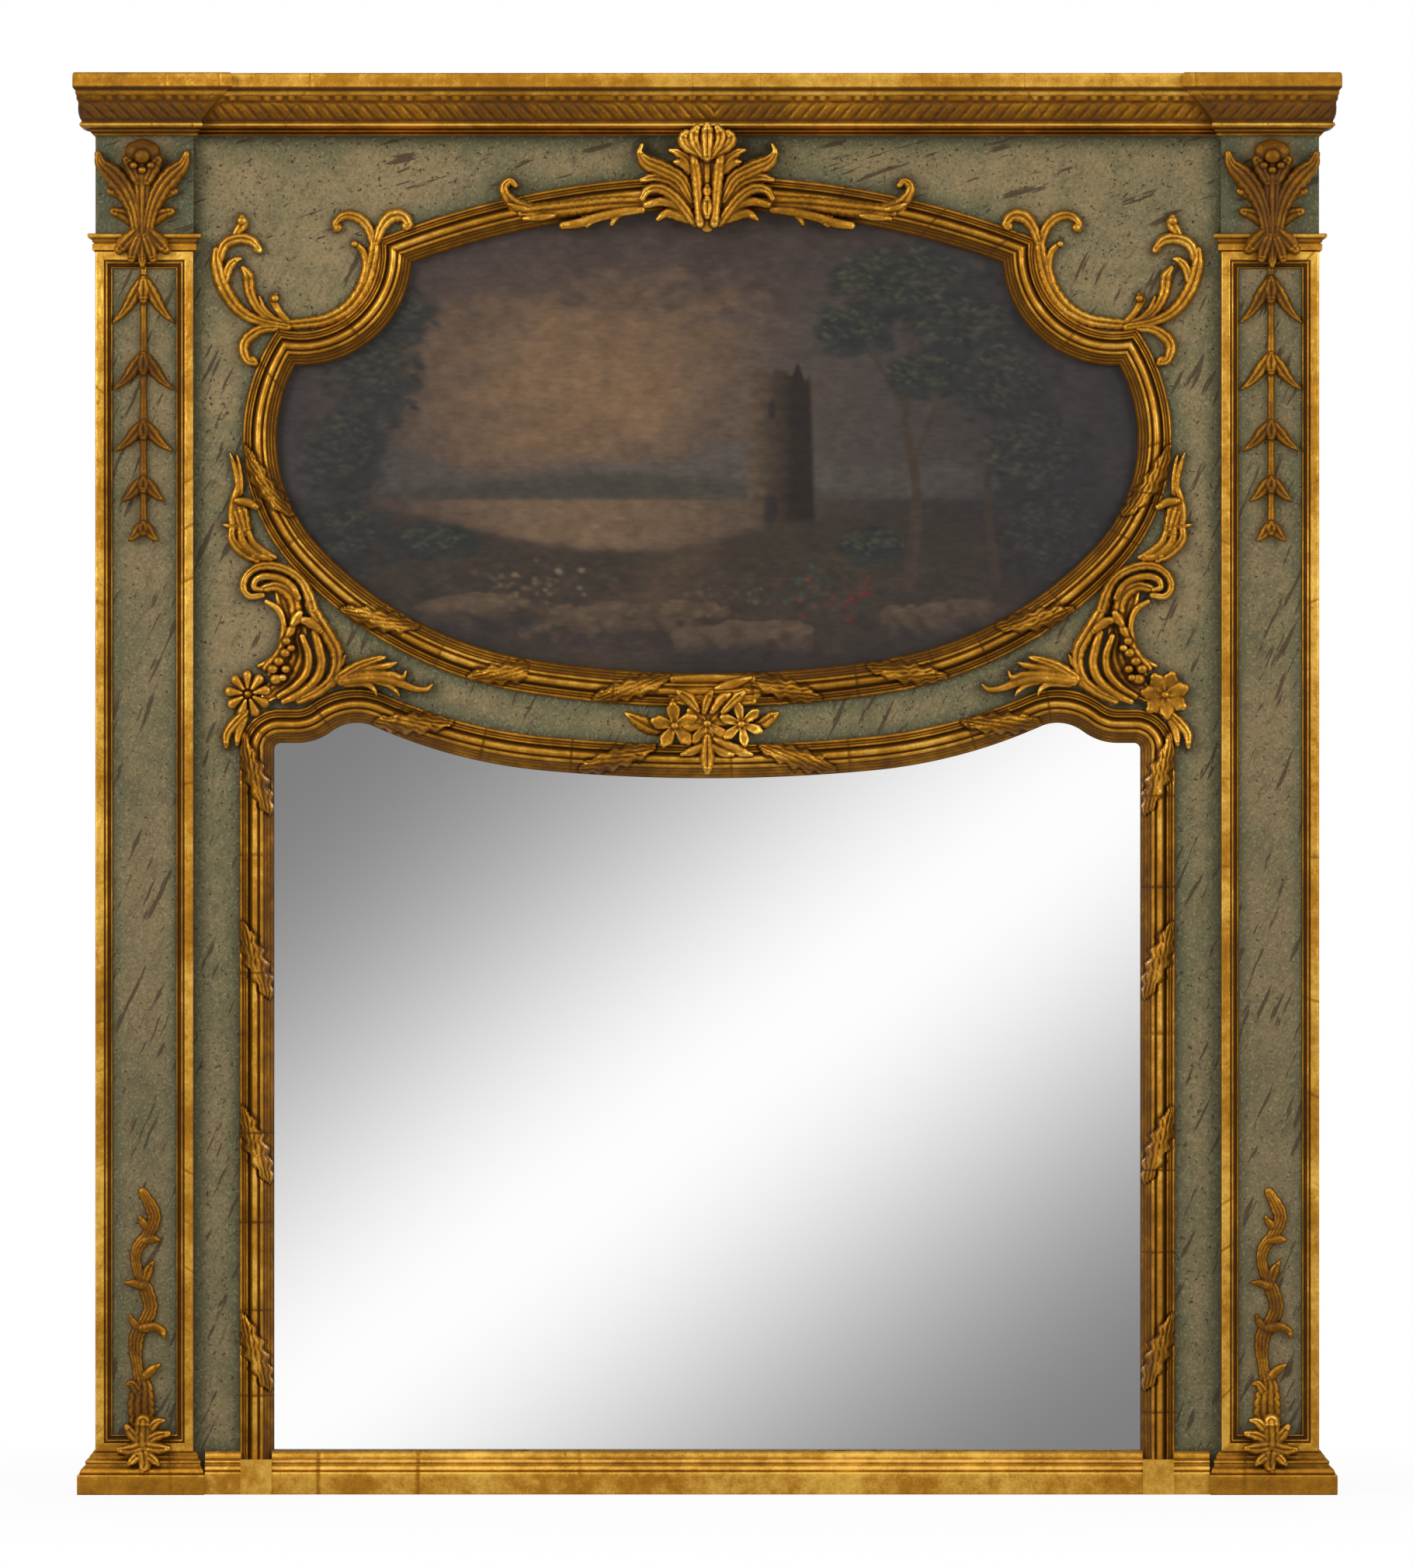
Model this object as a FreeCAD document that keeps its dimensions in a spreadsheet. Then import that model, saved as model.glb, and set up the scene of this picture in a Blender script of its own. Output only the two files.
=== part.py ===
import FreeCAD, Part
import math
import os
import Sketcher

# A trumeau mirror: a tall panel with a painted picture over a mirror glass, between two
# pilasters on plinths under a break-front cornice, with gilt mouldings and applied carvings.
# Millimetres. +Z is up, the front faces -Y, +X is to the right of someone facing the mirror.
# The origin is at the middle of the footprint, on the shelf that the mirror stands on.

document = FreeCAD.newDocument("trumeau_mirror")

# ---------------------------------------------------------------------------------------
# Driving dimensions
# ---------------------------------------------------------------------------------------
SIZES = [
    # elevation of the case
    ("pilaster_centre", 725, "middle of each pilaster from the middle of the mirror"),
    ("pilaster_width", 126, "width of a pilaster"),
    ("pilaster_top", 1601, "height of the top of the pilaster boards"),
    ("cap_height", 23, "height of the small cap on each pilaster"),
    ("cornice_foot", 1750, "height of the underside of the cornice"),
    ("plinth_height", 55, "height of the plinths and of the base rail"),
    ("block_width", 40, "width of the blocks under the mirror stiles"),
    ("block_height", 45, "height of the blocks under the mirror stiles"),
    ("block_stand", 30, "how far these blocks stand out from the field"),
    ("block_housing", 12, "thickness of the base rail left behind each block"),
    # depths, from the wall to the front
    ("back_frame_depth", 32, "thickness of the back frame"),
    ("panel_thickness", 18, "thickness of the field panel"),
    ("pilaster_stand", 20, "how far the pilasters stand out from the field"),
    ("cornice_board", 18, "thickness of the two boards behind the cornice"),
    # gilt frame laid on each pilaster
    ("border_width", 22.5, "width of the gilt border on a pilaster"),
    ("border_flat", 11.5, "width of its flat outer band"),
    ("border_groove", 2, "width of the groove beside the flat band"),
    ("border_stand", 6, "thickness of the gilt border"),
    # outline of the mirror opening, measured at the sight edge
    ("sight_half_width", 559, "half of the visible width of the mirror glass"),
    ("sight_foot", 56, "height of the bottom of the visible mirror glass"),
    ("sight_corner", 968, "height of the upper corners of the mirror"),
    ("hump_centre", 452, "distance of each hump of the mirror top from the middle"),
    ("hump_top", 994, "height of each hump"),
    ("hump_radius", 55, "radius of each hump"),
    ("hollow_radius", 75, "radius of the hollow outside each hump"),
    ("flank_radius", 692, "radius of the long slope inside each hump"),
    ("flank_angle", 24, "steepest angle of that slope"),
    ("flank_end_angle", 5.4, "angle where the slope meets the middle arc"),
    # outline of the picture opening, measured at the sight edge
    ("picture_foot", 1058, "height of the bottom of the picture opening"),
    ("picture_foot_radius", 1450, "radius of its bottom arc"),
    ("picture_foot_angle", 9, "half angle of its bottom arc"),
    ("shoulder_radius", 475, "radius of the arc between the bottom and the side"),
    ("picture_side", 555, "largest half width of the picture opening"),
    ("picture_side_radius", 202.7, "radius of its side arcs"),
    ("picture_top", 1655, "height of the top of the picture opening"),
    ("picture_top_radius", 1111, "radius of its top arc"),
    ("notch_radius", 144, "radius of the scooped upper corners"),
    ("notch_side", 524.5, "centre of a scooped corner from the middle"),
    ("notch_height", 1598.7, "height of the centre of a scooped corner"),
    # the reeded moulding round both openings
    ("moulding_width", 44, "width of the reeded moulding"),
    ("moulding_lip", 14, "how far its inner lip reaches back into the opening"),
    ("lip_width", 7, "width of that lip"),
    ("opening_play", 1, "play between the lip and the edge of the panel"),
    # back frame
    ("bay_half_width", 592, "half of the clear width between the back stiles"),
    ("bottom_rail_top", 47, "height of the top of the bottom rail"),
    ("middle_rail_foot", 1006, "height of the underside of the middle rail"),
    ("middle_rail_height", 34, "height of the middle rail"),
    ("top_rail_foot", 1674, "height of the underside of the top rail"),
    ("tenon_length", 40, "length of the rail tenons"),
    ("tenon_thickness", 12, "thickness of the rail tenons"),
    ("tenon_shoulder", 5, "shoulder above and below each tenon"),
    # glass, picture and what holds them
    ("pane_play", 2, "play round the glass and the picture in their bays"),
    ("glass_thickness", 5, "thickness of the mirror glass"),
    ("back_board_thickness", 6, "thickness of the board behind the glass"),
    ("batten_width", 20, "width of the battens that hold the glass"),
    ("batten_depth", 15, "depth of these battens"),
    ("canvas_thickness", 1.2, "thickness of the primed canvas"),
    ("stretcher_width", 50, "width of the stretcher bars"),
    ("stretcher_depth", 19, "depth of the stretcher bars"),
    ("key_length", 34, "length of the stretcher keys"),
    ("key_width", 18, "width of the stretcher keys"),
    ("key_thickness", 4, "thickness of the stretcher keys"),
    ("picture_block_length", 60, "length of the blocks that hold the picture"),
    ("picture_block_width", 24, "width of these blocks"),
    ("picture_block_depth", 8, "depth of these blocks"),
    ("batten_screw_radius", 2, "shank radius of the batten screws"),
    ("batten_screw_head", 4, "head radius of the batten screws"),
    ("batten_screw_length", 36, "length of the batten screws"),
    # hangers let into the back stiles
    ("hanger_centre", 640, "distance of the hangers from the middle"),
    ("hanger_height", 1560, "height of the ring pivots"),
    ("hanger_pivot_depth", 4.3, "depth of the pivots from the wall"),
    ("pocket_depth", 8, "depth of the pocket of a hanger"),
    ("pocket_half_width", 22, "half width of this pocket"),
    ("pocket_above", 31, "height of this pocket above the pivot"),
    ("pocket_below", 46, "height of this pocket below the pivot"),
    ("strap_width", 16, "width of the hanger strap"),
    ("strap_length", 42, "length of the hanger strap below the pivot"),
    ("strap_thickness", 1.5, "thickness of the hanger strap"),
    ("knuckle_radius", 3.6, "outer radius of the strap's knuckle"),
    ("ring_wire_radius", 1.9, "radius of the ring wire"),
    ("ring_play", 0.06, "running clearance of the ring in the knuckle"),
    ("ring_half_width", 14, "half width of the ring at the middle of its wire"),
    ("ring_leg", 8, "straight length of the ring's legs"),
    ("hanger_screw_radius", 1.8, "shank radius of the hanger screws"),
    ("hanger_screw_head", 3.2, "head radius of the hanger screws"),
    ("hanger_screw_length", 16, "length of the hanger screws"),
    ("hanger_screw_first", 11, "distance of the first screw below the pivot"),
    ("hanger_screw_second", 33, "distance of the second screw below the pivot"),
]

sheet = document.addObject("Spreadsheet::Sheet", "sizes")
for row, (alias, value, note) in enumerate(SIZES, start=1):
    sheet.set("A%d" % row, note)
    sheet.set("B%d" % row, str(value))
    sheet.setAlias("B%d" % row, alias)
document.recompute()


def size(alias):
    """The value of one driving dimension."""
    return float(getattr(sheet, alias))


# Profiles, as (height above the foot, overhang in front, outside, inside).
CORNICE_LEVELS = [
    (0, 12, 2, 13), (3, 14, 5, 15), (8, 20, 11, 21), (9, 27, 17, 28), (13, 30, 20, 31),
    (17, 28, 18, 29), (22, 28, 18, 29), (34, 31, 20, 33), (48, 38, 22, 41), (57, 44, 24, 47),
    (59, 44, 24, 47), (62, 48, 28, 51), (77, 48, 28, 51), (80, 46, 26, 49),
]
CAP_LEVELS = [
    (0, 1, 1, 1), (2, 4, 4, 4), (10, 4, 4, 4), (11.5, 2, 2, 2), (14, 3, 3, 3),
    (18, 7, 7, 7), (19.5, 10, 10, 10), (22, 10, 10, 10), (23, 8, 8, 8),
]
PLINTH_LEVELS = [
    (0, 23, 23, 15), (26, 23, 23, 15), (28, 18, 18, 12), (34, 17, 17, 11.5), (40, 12, 12, 9),
    (44, 12, 12, 9), (47, 7, 7, 6), (52, 5, 5, 5), (55, 3, 3, 3),
]
# Section of the base rail, as (height, stand from the field).
BASE_RAIL_SECTION = [
    (0, 28), (29, 28), (31, 22), (36, 21), (41, 17), (44, 17), (47, 11), (52, 9), (55, 6),
]
# Section of the reeded moulding, as (distance from the sight edge, stand from the field).
REEDED_SECTION = [
    (0, -4), (4, 0), (4, 2), (9, 9), (10.8, 10), (11.8, 15), (15, 17), (18.2, 15), (19.5, 13),
    (20.6, 17), (23.4, 19.4), (26, 20), (28.6, 19.4), (31, 17), (32, 9), (33, 11), (36, 11),
    (38, 7), (44, 5), (44, 0),
]
# The plain shape that just clears the reeds, which carvings on the moulding sit against.
SEAT_SECTION = [
    (0, -4), (0, 2), (11, 15.3), (15, 17.3), (26, 20.2), (29, 19.8), (31.2, 17.5), (36.5, 11.5),
    (44.2, 5.3), (44.2, 0), (7, 0), (7, -4),
]
# Section of a leaf wrapped over the moulding: its face, then its seat on the reeds.
WRAP_SECTION = [
    (2, 6.5), (8, 15), (13, 20.5), (20, 22.5), (26, 24), (32, 20.5), (38, 14), (43, 9),
    (43, 6.3), (36.5, 11.5), (31.2, 17.5), (29, 19.8), (26, 20.2), (15, 17.3), (11, 15.3),
    (2, 4.5),
]

# ---------------------------------------------------------------------------------------
# Places worked out from the driving dimensions
# ---------------------------------------------------------------------------------------
PILASTER_INNER = size("pilaster_centre") - size("pilaster_width") / 2
PILASTER_OUTER = size("pilaster_centre") + size("pilaster_width") / 2
FIELD_DEPTH = size("back_frame_depth") + size("panel_thickness")
PILASTER_DEPTH = FIELD_DEPTH + size("pilaster_stand")
CORNICE_STAND = max(level[1] for level in CORNICE_LEVELS)
CORNICE_HEIGHT = CORNICE_LEVELS[-1][0]
TOTAL_DEPTH = PILASTER_DEPTH + CORNICE_STAND
WALL_Y = TOTAL_DEPTH / 2
CAP_TOP = size("pilaster_top") + size("cap_height")
MIDDLE_RAIL_TOP = size("middle_rail_foot") + size("middle_rail_height")
MIRROR_TOP = size("cornice_foot") + CORNICE_HEIGHT
CAP_REACH = max(level[3] for level in CAP_LEVELS)
PLINTH_REACH = PLINTH_LEVELS[0][3]
LEFT = -1
RIGHT = 1
SIDES = (("left", LEFT), ("right", RIGHT))
Y_AXIS = FreeCAD.Vector(0, 1, 0)

pieces = {}


def at_depth(depth):
    """The y of a plane that lies this far in front of the wall."""
    return WALL_Y - depth


def point(x, depth, z):
    return FreeCAD.Vector(x, at_depth(depth), z)


def add_shape(name, shape):
    """A document object that carries a shape made below."""
    feature = document.addObject("Part::Feature", name)
    feature.Label = name
    feature.Shape = shape
    return feature


def keep(name, feature):
    """Count an object of the document as one of the mirror's pieces."""
    feature.Label = name
    pieces[name] = feature
    return feature


def box_shape(x_from, x_to, depth_from, depth_to, z_from, z_to):
    corner = point(min(x_from, x_to), depth_to, z_from)
    return Part.makeBox(abs(x_to - x_from), depth_to - depth_from, z_to - z_from, corner)


def polygon_face(corners):
    return Part.Face(Part.makePolygon(corners + corners[:1]))


def mirrored(shape, side):
    """The shape drawn for the left, on the side asked for."""
    if side == LEFT:
        return shape
    return shape.mirror(FreeCAD.Vector(0, 0, 0), FreeCAD.Vector(1, 0, 0))


# ---------------------------------------------------------------------------------------
# Boards: boxes bound to the sheet
# ---------------------------------------------------------------------------------------
WALL_Y_TEXT = (
    "((sizes.back_frame_depth + sizes.panel_thickness + sizes.pilaster_stand + %g) / 2)"
    % CORNICE_STAND
)


def board(name, x_from, width, depth_from, thickness, z_from, height):
    """A board. Each argument is an expression in the sheet's dimensions."""
    box = document.addObject("Part::Box", name)
    box.setExpression("Length", width)
    box.setExpression("Width", thickness)
    box.setExpression("Height", height)
    box.setExpression("Placement.Base.x", x_from)
    box.setExpression("Placement.Base.y", "%s - (%s) - (%s)" % (WALL_Y_TEXT, depth_from, thickness))
    box.setExpression("Placement.Base.z", z_from)
    return box


def cut(name, base, tools):
    """The base piece with the tool pieces taken out of it."""
    whole = tools[0]
    if len(tools) > 1:
        whole = document.addObject("Part::MultiFuse", name + "_cutters")
        whole.Shapes = tools
    result = document.addObject("Part::Cut", name)
    result.Base = base
    result.Tool = whole
    return result


def fuse(name, parts):
    result = document.addObject("Part::MultiFuse", name)
    result.Shapes = parts
    return result


# ---------------------------------------------------------------------------------------
# Outlines of the two openings, as chains of arcs that can be drawn at any offset
# ---------------------------------------------------------------------------------------
class Arc:
    """One arc of an outline. grow is 1 where an outward offset makes it larger, else -1."""

    def __init__(self, centre, radius, grow):
        self.centre = centre
        self.radius = radius
        self.grow = grow

    def at(self, offset):
        return self.radius + self.grow * offset


class Level:
    """A straight level stretch of an outline, above which the moulding lies."""

    def __init__(self, height):
        self.height = height


def meeting(first, second, offset, guess):
    """Where two arcs meet at an offset: the crossing or touching point nearest the guess."""
    r_one = first.at(offset)
    r_two = second.at(offset)
    dx = second.centre[0] - first.centre[0]
    dz = second.centre[1] - first.centre[1]
    gap = math.hypot(dx, dz)
    along = (r_one ** 2 - r_two ** 2 + gap ** 2) / (2 * gap)
    beside = math.sqrt(max(r_one ** 2 - along ** 2, 0))
    foot = (first.centre[0] + along * dx / gap, first.centre[1] + along * dz / gap)
    choices = [
        (foot[0] + sign * beside * dz / gap, foot[1] - sign * beside * dx / gap)
        for sign in (1, -1)
    ]
    return min(choices, key=lambda p: math.hypot(p[0] - guess[0], p[1] - guess[1]))


def arc_edge(arc, offset, start, end, depth):
    """The edge of an arc between two of its points, the short way round."""
    begin = math.atan2(start[1] - arc.centre[1], start[0] - arc.centre[0])
    finish = math.atan2(end[1] - arc.centre[1], end[0] - arc.centre[0])
    turn = (finish - begin + math.pi) % (2 * math.pi) - math.pi
    middle = begin + turn / 2
    radius = arc.at(offset)
    halfway = (arc.centre[0] + radius * math.cos(middle), arc.centre[1] + radius * math.sin(middle))
    corners = [point(p[0], depth, p[1]) for p in (start, halfway, end)]
    return Part.Arc(*corners).toShape()


def picture_outline():
    """Arcs of the picture opening, anticlockwise from the bottom, with guesses of their ends."""
    foot_radius = size("picture_foot_radius")
    foot_centre = (0, size("picture_foot") + foot_radius)
    angle = math.radians(size("picture_foot_angle"))
    reach = foot_radius - size("shoulder_radius")
    shoulder_centre = (reach * math.sin(angle), foot_centre[1] - reach * math.cos(angle))
    side_x = size("picture_side") - size("picture_side_radius")
    apart = size("shoulder_radius") - size("picture_side_radius")
    rise = math.sqrt(apart ** 2 - (side_x - shoulder_centre[0]) ** 2)
    side_centre = (side_x, shoulder_centre[1] - rise)
    top_centre = (0, size("picture_top") - size("picture_top_radius"))
    notch_centre = (size("notch_side"), size("notch_height"))
    foot = Arc(foot_centre, foot_radius, 1)
    shoulder = Arc(shoulder_centre, size("shoulder_radius"), 1)
    side = Arc(side_centre, size("picture_side_radius"), 1)
    notch = Arc(notch_centre, size("notch_radius"), -1)
    top = Arc(top_centre, size("picture_top_radius"), 1)
    low = (foot_radius * math.sin(angle), foot_centre[1] - foot_radius * math.cos(angle))
    lean = ((side_centre[0] - shoulder_centre[0]) / apart, (side_centre[1] - shoulder_centre[1]) / apart)
    bend = (
        shoulder_centre[0] + lean[0] * size("shoulder_radius"),
        shoulder_centre[1] + lean[1] * size("shoulder_radius"),
    )
    below_notch = (notch_centre[0], notch_centre[1] - size("notch_radius"))
    beside_notch = (notch_centre[0] - size("notch_radius"), notch_centre[1])
    return (foot, shoulder, side, notch, top), (low, bend, below_notch, beside_notch)


def other_side(arc):
    return Arc((-arc.centre[0], arc.centre[1]), arc.radius, arc.grow)


def picture_edges(offset, depth):
    """Edges of the picture outline at an offset, one closed loop."""
    arcs, guesses = picture_outline()
    joints = [meeting(arcs[i], arcs[i + 1], offset, guesses[i]) for i in range(len(guesses))]
    edges = [arc_edge(arcs[0], offset, (-joints[0][0], joints[0][1]), joints[0], depth)]
    for i in range(len(joints) - 1):
        edges.append(arc_edge(arcs[i + 1], offset, joints[i], joints[i + 1], depth))
    left = [(-x, z) for x, z in joints]
    edges.append(arc_edge(arcs[-1], offset, joints[-1], left[-1], depth))
    for i in reversed(range(len(joints) - 1)):
        edges.append(arc_edge(other_side(arcs[i + 1]), offset, left[i + 1], left[i], depth))
    return edges


def mirror_top_arcs():
    """Arcs of the mirror's shaped top, from the middle to the right, and where they join."""
    steep = math.radians(size("flank_angle"))
    gentle = math.radians(size("flank_end_angle"))
    hump = Arc((size("hump_centre"), size("hump_top") - size("hump_radius")), size("hump_radius"), 1)
    join_x = hump.centre[0] - hump.radius * math.sin(steep)
    join_z = hump.centre[1] + hump.radius * math.cos(steep)
    flank_radius = size("flank_radius")
    flank_centre = (join_x - flank_radius * math.sin(steep), join_z + flank_radius * math.cos(steep))
    flank = Arc(flank_centre, flank_radius, -1)
    middle_x = flank_centre[0] + flank_radius * math.sin(gentle)
    middle_z = flank_centre[1] - flank_radius * math.cos(gentle)
    middle_radius = middle_x / math.sin(gentle)
    middle = Arc((0, middle_z + middle_radius * math.cos(gentle)), middle_radius, -1)
    hollow_z = size("sight_corner") + size("hollow_radius")
    reach = size("hump_radius") + size("hollow_radius")
    hollow_x = hump.centre[0] + math.sqrt(reach ** 2 - (hollow_z - hump.centre[1]) ** 2)
    hollow = Arc((hollow_x, hollow_z), size("hollow_radius"), -1)
    share = size("hump_radius") / reach
    dip = (
        hump.centre[0] + share * (hollow_x - hump.centre[0]),
        hump.centre[1] + share * (hollow_z - hump.centre[1]),
    )
    return (middle, flank, hump, hollow), ((middle_x, middle_z), (join_x, join_z), dip)


def mirror_top_edges(offset, depth):
    """Edges of the mirror's top at an offset, from the left corner to the right one."""
    arcs, guesses = mirror_top_arcs()
    joints = [meeting(arcs[i], arcs[i + 1], offset, guesses[i]) for i in range(len(guesses))]
    level = size("sight_corner") + offset
    joints.append((arcs[-1].centre[0], level))
    corner = (size("sight_half_width") + offset, level)
    right = []
    for i in range(len(joints) - 1):
        right.append(arc_edge(arcs[i + 1], offset, joints[i], joints[i + 1], depth))
    right.append(Part.makeLine(point(joints[-1][0], depth, level), point(corner[0], depth, level)))
    left = [Part.makeLine(point(-corner[0], depth, level), point(-joints[-1][0], depth, level))]
    for i in reversed(range(len(joints) - 1)):
        start = (-joints[i + 1][0], joints[i + 1][1])
        end = (-joints[i][0], joints[i][1])
        left.append(arc_edge(other_side(arcs[i + 1]), offset, start, end, depth))
    middle = arc_edge(arcs[0], offset, (-joints[0][0], joints[0][1]), joints[0], depth)
    return left + [middle] + right


# ---------------------------------------------------------------------------------------
# Mouldings that follow an outline
# ---------------------------------------------------------------------------------------
def solid_of(faces):
    shell = Part.Shell(faces)
    shell.sewShape()
    solid = Part.Solid(shell)
    if solid.Volume < 0:
        solid.reverse()
    return solid


def moulding_along(edges_at, section, closed):
    """A moulding whose section keeps its shape along the outline drawn by edges_at."""
    rows = [edges_at(u, FIELD_DEPTH + v) for u, v in section]
    faces = []
    for row, following in zip(rows, rows[1:] + rows[:1]):
        for edge, beside in zip(row, following):
            faces.append(Part.makeRuledSurface(edge, beside))
    if not closed:
        first = [row[0].Vertexes[0].Point for row in rows]
        last = [row[-1].Vertexes[-1].Point for row in rows]
        faces.append(polygon_face(first))
        faces.append(polygon_face(last))
    return solid_of(faces)


def full_section():
    """The reeded section with its lip, closed against the field."""
    lip = size("lip_width")
    back = -size("moulding_lip")
    stretch = size("moulding_width") / REEDED_SECTION[-1][0]
    reeds = [(u * stretch, v) for u, v in REEDED_SECTION]
    return [(0, back)] + reeds + [(lip, 0), (lip, back)]


def moulding_solids():
    section = full_section()
    inner = size("sight_half_width")
    corner = size("sight_corner")
    foot = size("block_height")
    top = moulding_along(mirror_top_edges, section, False)
    stile_corners = [point(-inner - u, FIELD_DEPTH + v, foot) for u, v in section]
    reach = corner + size("moulding_width") - foot
    stile = polygon_face(stile_corners).extrude(FreeCAD.Vector(0, 0, reach))
    far = size("moulding_width") + inner
    above_mitre = polygon_face([
        FreeCAD.Vector(-inner + 1, -TOTAL_DEPTH, corner - 1),
        FreeCAD.Vector(-far - 1, -TOTAL_DEPTH, corner + size("moulding_width") + 1),
        FreeCAD.Vector(-inner + 1, -TOTAL_DEPTH, corner + size("moulding_width") + 1),
    ]).extrude(FreeCAD.Vector(0, 2 * TOTAL_DEPTH, 0))
    over_panel = box_shape(-inner - size("lip_width") - size("opening_play"), -inner + 1,
                           0, FIELD_DEPTH, foot, size("sight_foot"))
    stile = stile.cut(above_mitre).cut(over_panel)
    picture = moulding_along(picture_edges, section, True)
    return top, stile, picture


top_moulding, left_stile_moulding, picture_moulding = moulding_solids()


# ---------------------------------------------------------------------------------------
# Blocks with a profile on three sides: cornice breaks, caps and plinths
# ---------------------------------------------------------------------------------------
def profiled_block(levels, foot):
    """A left block whose front, outside and inside follow the levels; it reaches the wall."""
    rings = []
    for rise, front, outside, inside in levels:
        z = foot + rise
        out_x = -PILASTER_OUTER - outside
        in_x = -PILASTER_INNER + inside
        depth = PILASTER_DEPTH + front
        corners = [point(out_x, 0, z), point(out_x, depth, z), point(in_x, depth, z), point(in_x, 0, z)]
        rings.append(Part.makePolygon(corners + corners[:1]))
    return Part.makeLoft(rings, True, True)


def behind_field(z_from, z_to, inside):
    """The room inside a left block that the field panel and the back frame take."""
    return box_shape(-PILASTER_INNER, -PILASTER_INNER + inside, 0, FIELD_DEPTH, z_from, z_to)


def pilaster_core(z_from, z_to):
    """The room that a left pilaster and the back stile behind it take."""
    return box_shape(-PILASTER_OUTER, -PILASTER_INNER, 0, PILASTER_DEPTH, z_from, z_to)


def case_blocks():
    cornice = profiled_block(CORNICE_LEVELS, size("cornice_foot"))
    cap = profiled_block(CAP_LEVELS, size("pilaster_top"))
    cap_back = box_shape(-PILASTER_OUTER, -PILASTER_INNER + CAP_REACH, 0, size("back_frame_depth"),
                         size("pilaster_top"), CAP_TOP)
    cap = cap.cut(cap_back).cut(behind_field(size("pilaster_top"), CAP_TOP, CAP_REACH))
    plinth = profiled_block(PLINTH_LEVELS, 0)
    plinth = plinth.cut(pilaster_core(0, size("plinth_height")))
    plinth = plinth.cut(behind_field(0, size("plinth_height"), PLINTH_REACH))
    return cornice, cap, plinth


left_cornice, left_cap, left_plinth = case_blocks()

for side_name, side in SIDES:
    keep("cornice_break_" + side_name, add_shape("cornice_break_" + side_name,
                                                 mirrored(left_cornice, side)))
    keep("pilaster_cap_" + side_name, add_shape("pilaster_cap_" + side_name,
                                                mirrored(left_cap, side)))
    keep("plinth_" + side_name, add_shape("plinth_" + side_name, mirrored(left_plinth, side)))


def cornice_run():
    """The straight cornice between the two breaks."""
    corners = [point(-PILASTER_INNER, FIELD_DEPTH + level[1], size("cornice_foot") + level[0])
               for level in CORNICE_LEVELS]
    back = [point(-PILASTER_INNER, FIELD_DEPTH, MIRROR_TOP),
            point(-PILASTER_INNER, FIELD_DEPTH, size("cornice_foot"))]
    run = polygon_face(corners + back).extrude(FreeCAD.Vector(2 * PILASTER_INNER, 0, 0))
    return run.cut(left_cornice).cut(mirrored(left_cornice, RIGHT))


cornice_main_shape = cornice_run()
keep("cornice_main", add_shape("cornice_main", cornice_main_shape))

# ---------------------------------------------------------------------------------------
# Case boards
# ---------------------------------------------------------------------------------------
INNER = "(sizes.pilaster_centre - sizes.pilaster_width / 2)"
OUTER = "(sizes.pilaster_centre + sizes.pilaster_width / 2)"
CAP_TOP_TEXT = "(sizes.pilaster_top + sizes.cap_height)"
breaks = [pieces["cornice_break_left"], pieces["cornice_break_right"]]

for side_name, side in SIDES:
    start = "-" + OUTER if side == LEFT else INNER
    pilaster = board("pilaster_board_" + side_name, start, "sizes.pilaster_width",
                     "sizes.back_frame_depth", "sizes.panel_thickness + sizes.pilaster_stand",
                     "0", "sizes.pilaster_top")
    keep("pilaster_board_" + side_name, pilaster)
    frieze = board("frieze_block_" + side_name, start, "sizes.pilaster_width",
                   "sizes.back_frame_depth", "sizes.panel_thickness + sizes.pilaster_stand",
                   CAP_TOP_TEXT, "sizes.cornice_foot - " + CAP_TOP_TEXT)
    keep("frieze_block_" + side_name, frieze)

dust_board = board("dust_board", "-" + INNER, "2 * " + INNER, "0",
                   "sizes.back_frame_depth + sizes.panel_thickness",
                   "sizes.cornice_foot + %g - sizes.cornice_board" % CORNICE_HEIGHT,
                   "sizes.cornice_board")
keep("cornice_top_board", cut("cornice_top_board", dust_board, breaks))
back_board = board("cornice_backing", "-" + INNER, "2 * " + INNER,
                   "sizes.back_frame_depth", "sizes.cornice_board",
                   "sizes.cornice_foot", "%g - sizes.cornice_board" % CORNICE_HEIGHT)
keep("cornice_back_board", cut("cornice_back_board", back_board, breaks))


def openings_in_panel():
    """Both openings of the field panel, cut through its thickness."""
    clear = size("lip_width") + size("opening_play")
    behind = size("back_frame_depth") - 1
    through = FreeCAD.Vector(0, -size("panel_thickness") - 2, 0)
    picture_hole = Part.Face(Part.Wire(picture_edges(clear, behind))).extrude(through)
    top = mirror_top_edges(clear, behind)
    left_end = top[0].Vertexes[0].Point
    right_end = top[-1].Vertexes[-1].Point
    foot = size("sight_foot")
    foot_left = FreeCAD.Vector(left_end.x, left_end.y, foot)
    foot_right = FreeCAD.Vector(right_end.x, right_end.y, foot)
    rest = [Part.makeLine(right_end, foot_right), Part.makeLine(foot_right, foot_left),
            Part.makeLine(foot_left, left_end)]
    mirror_hole = Part.Face(Part.Wire(top + rest)).extrude(through)
    return picture_hole, mirror_hole


picture_hole, mirror_hole = openings_in_panel()
panel_board = board("panel_board", "-" + INNER, "2 * " + INNER, "sizes.back_frame_depth",
                    "sizes.panel_thickness", "0", "sizes.cornice_foot")
keep("field_panel", cut("field_panel", panel_board,
                        [add_shape("picture_hole", picture_hole),
                         add_shape("mirror_hole", mirror_hole)]))

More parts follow.
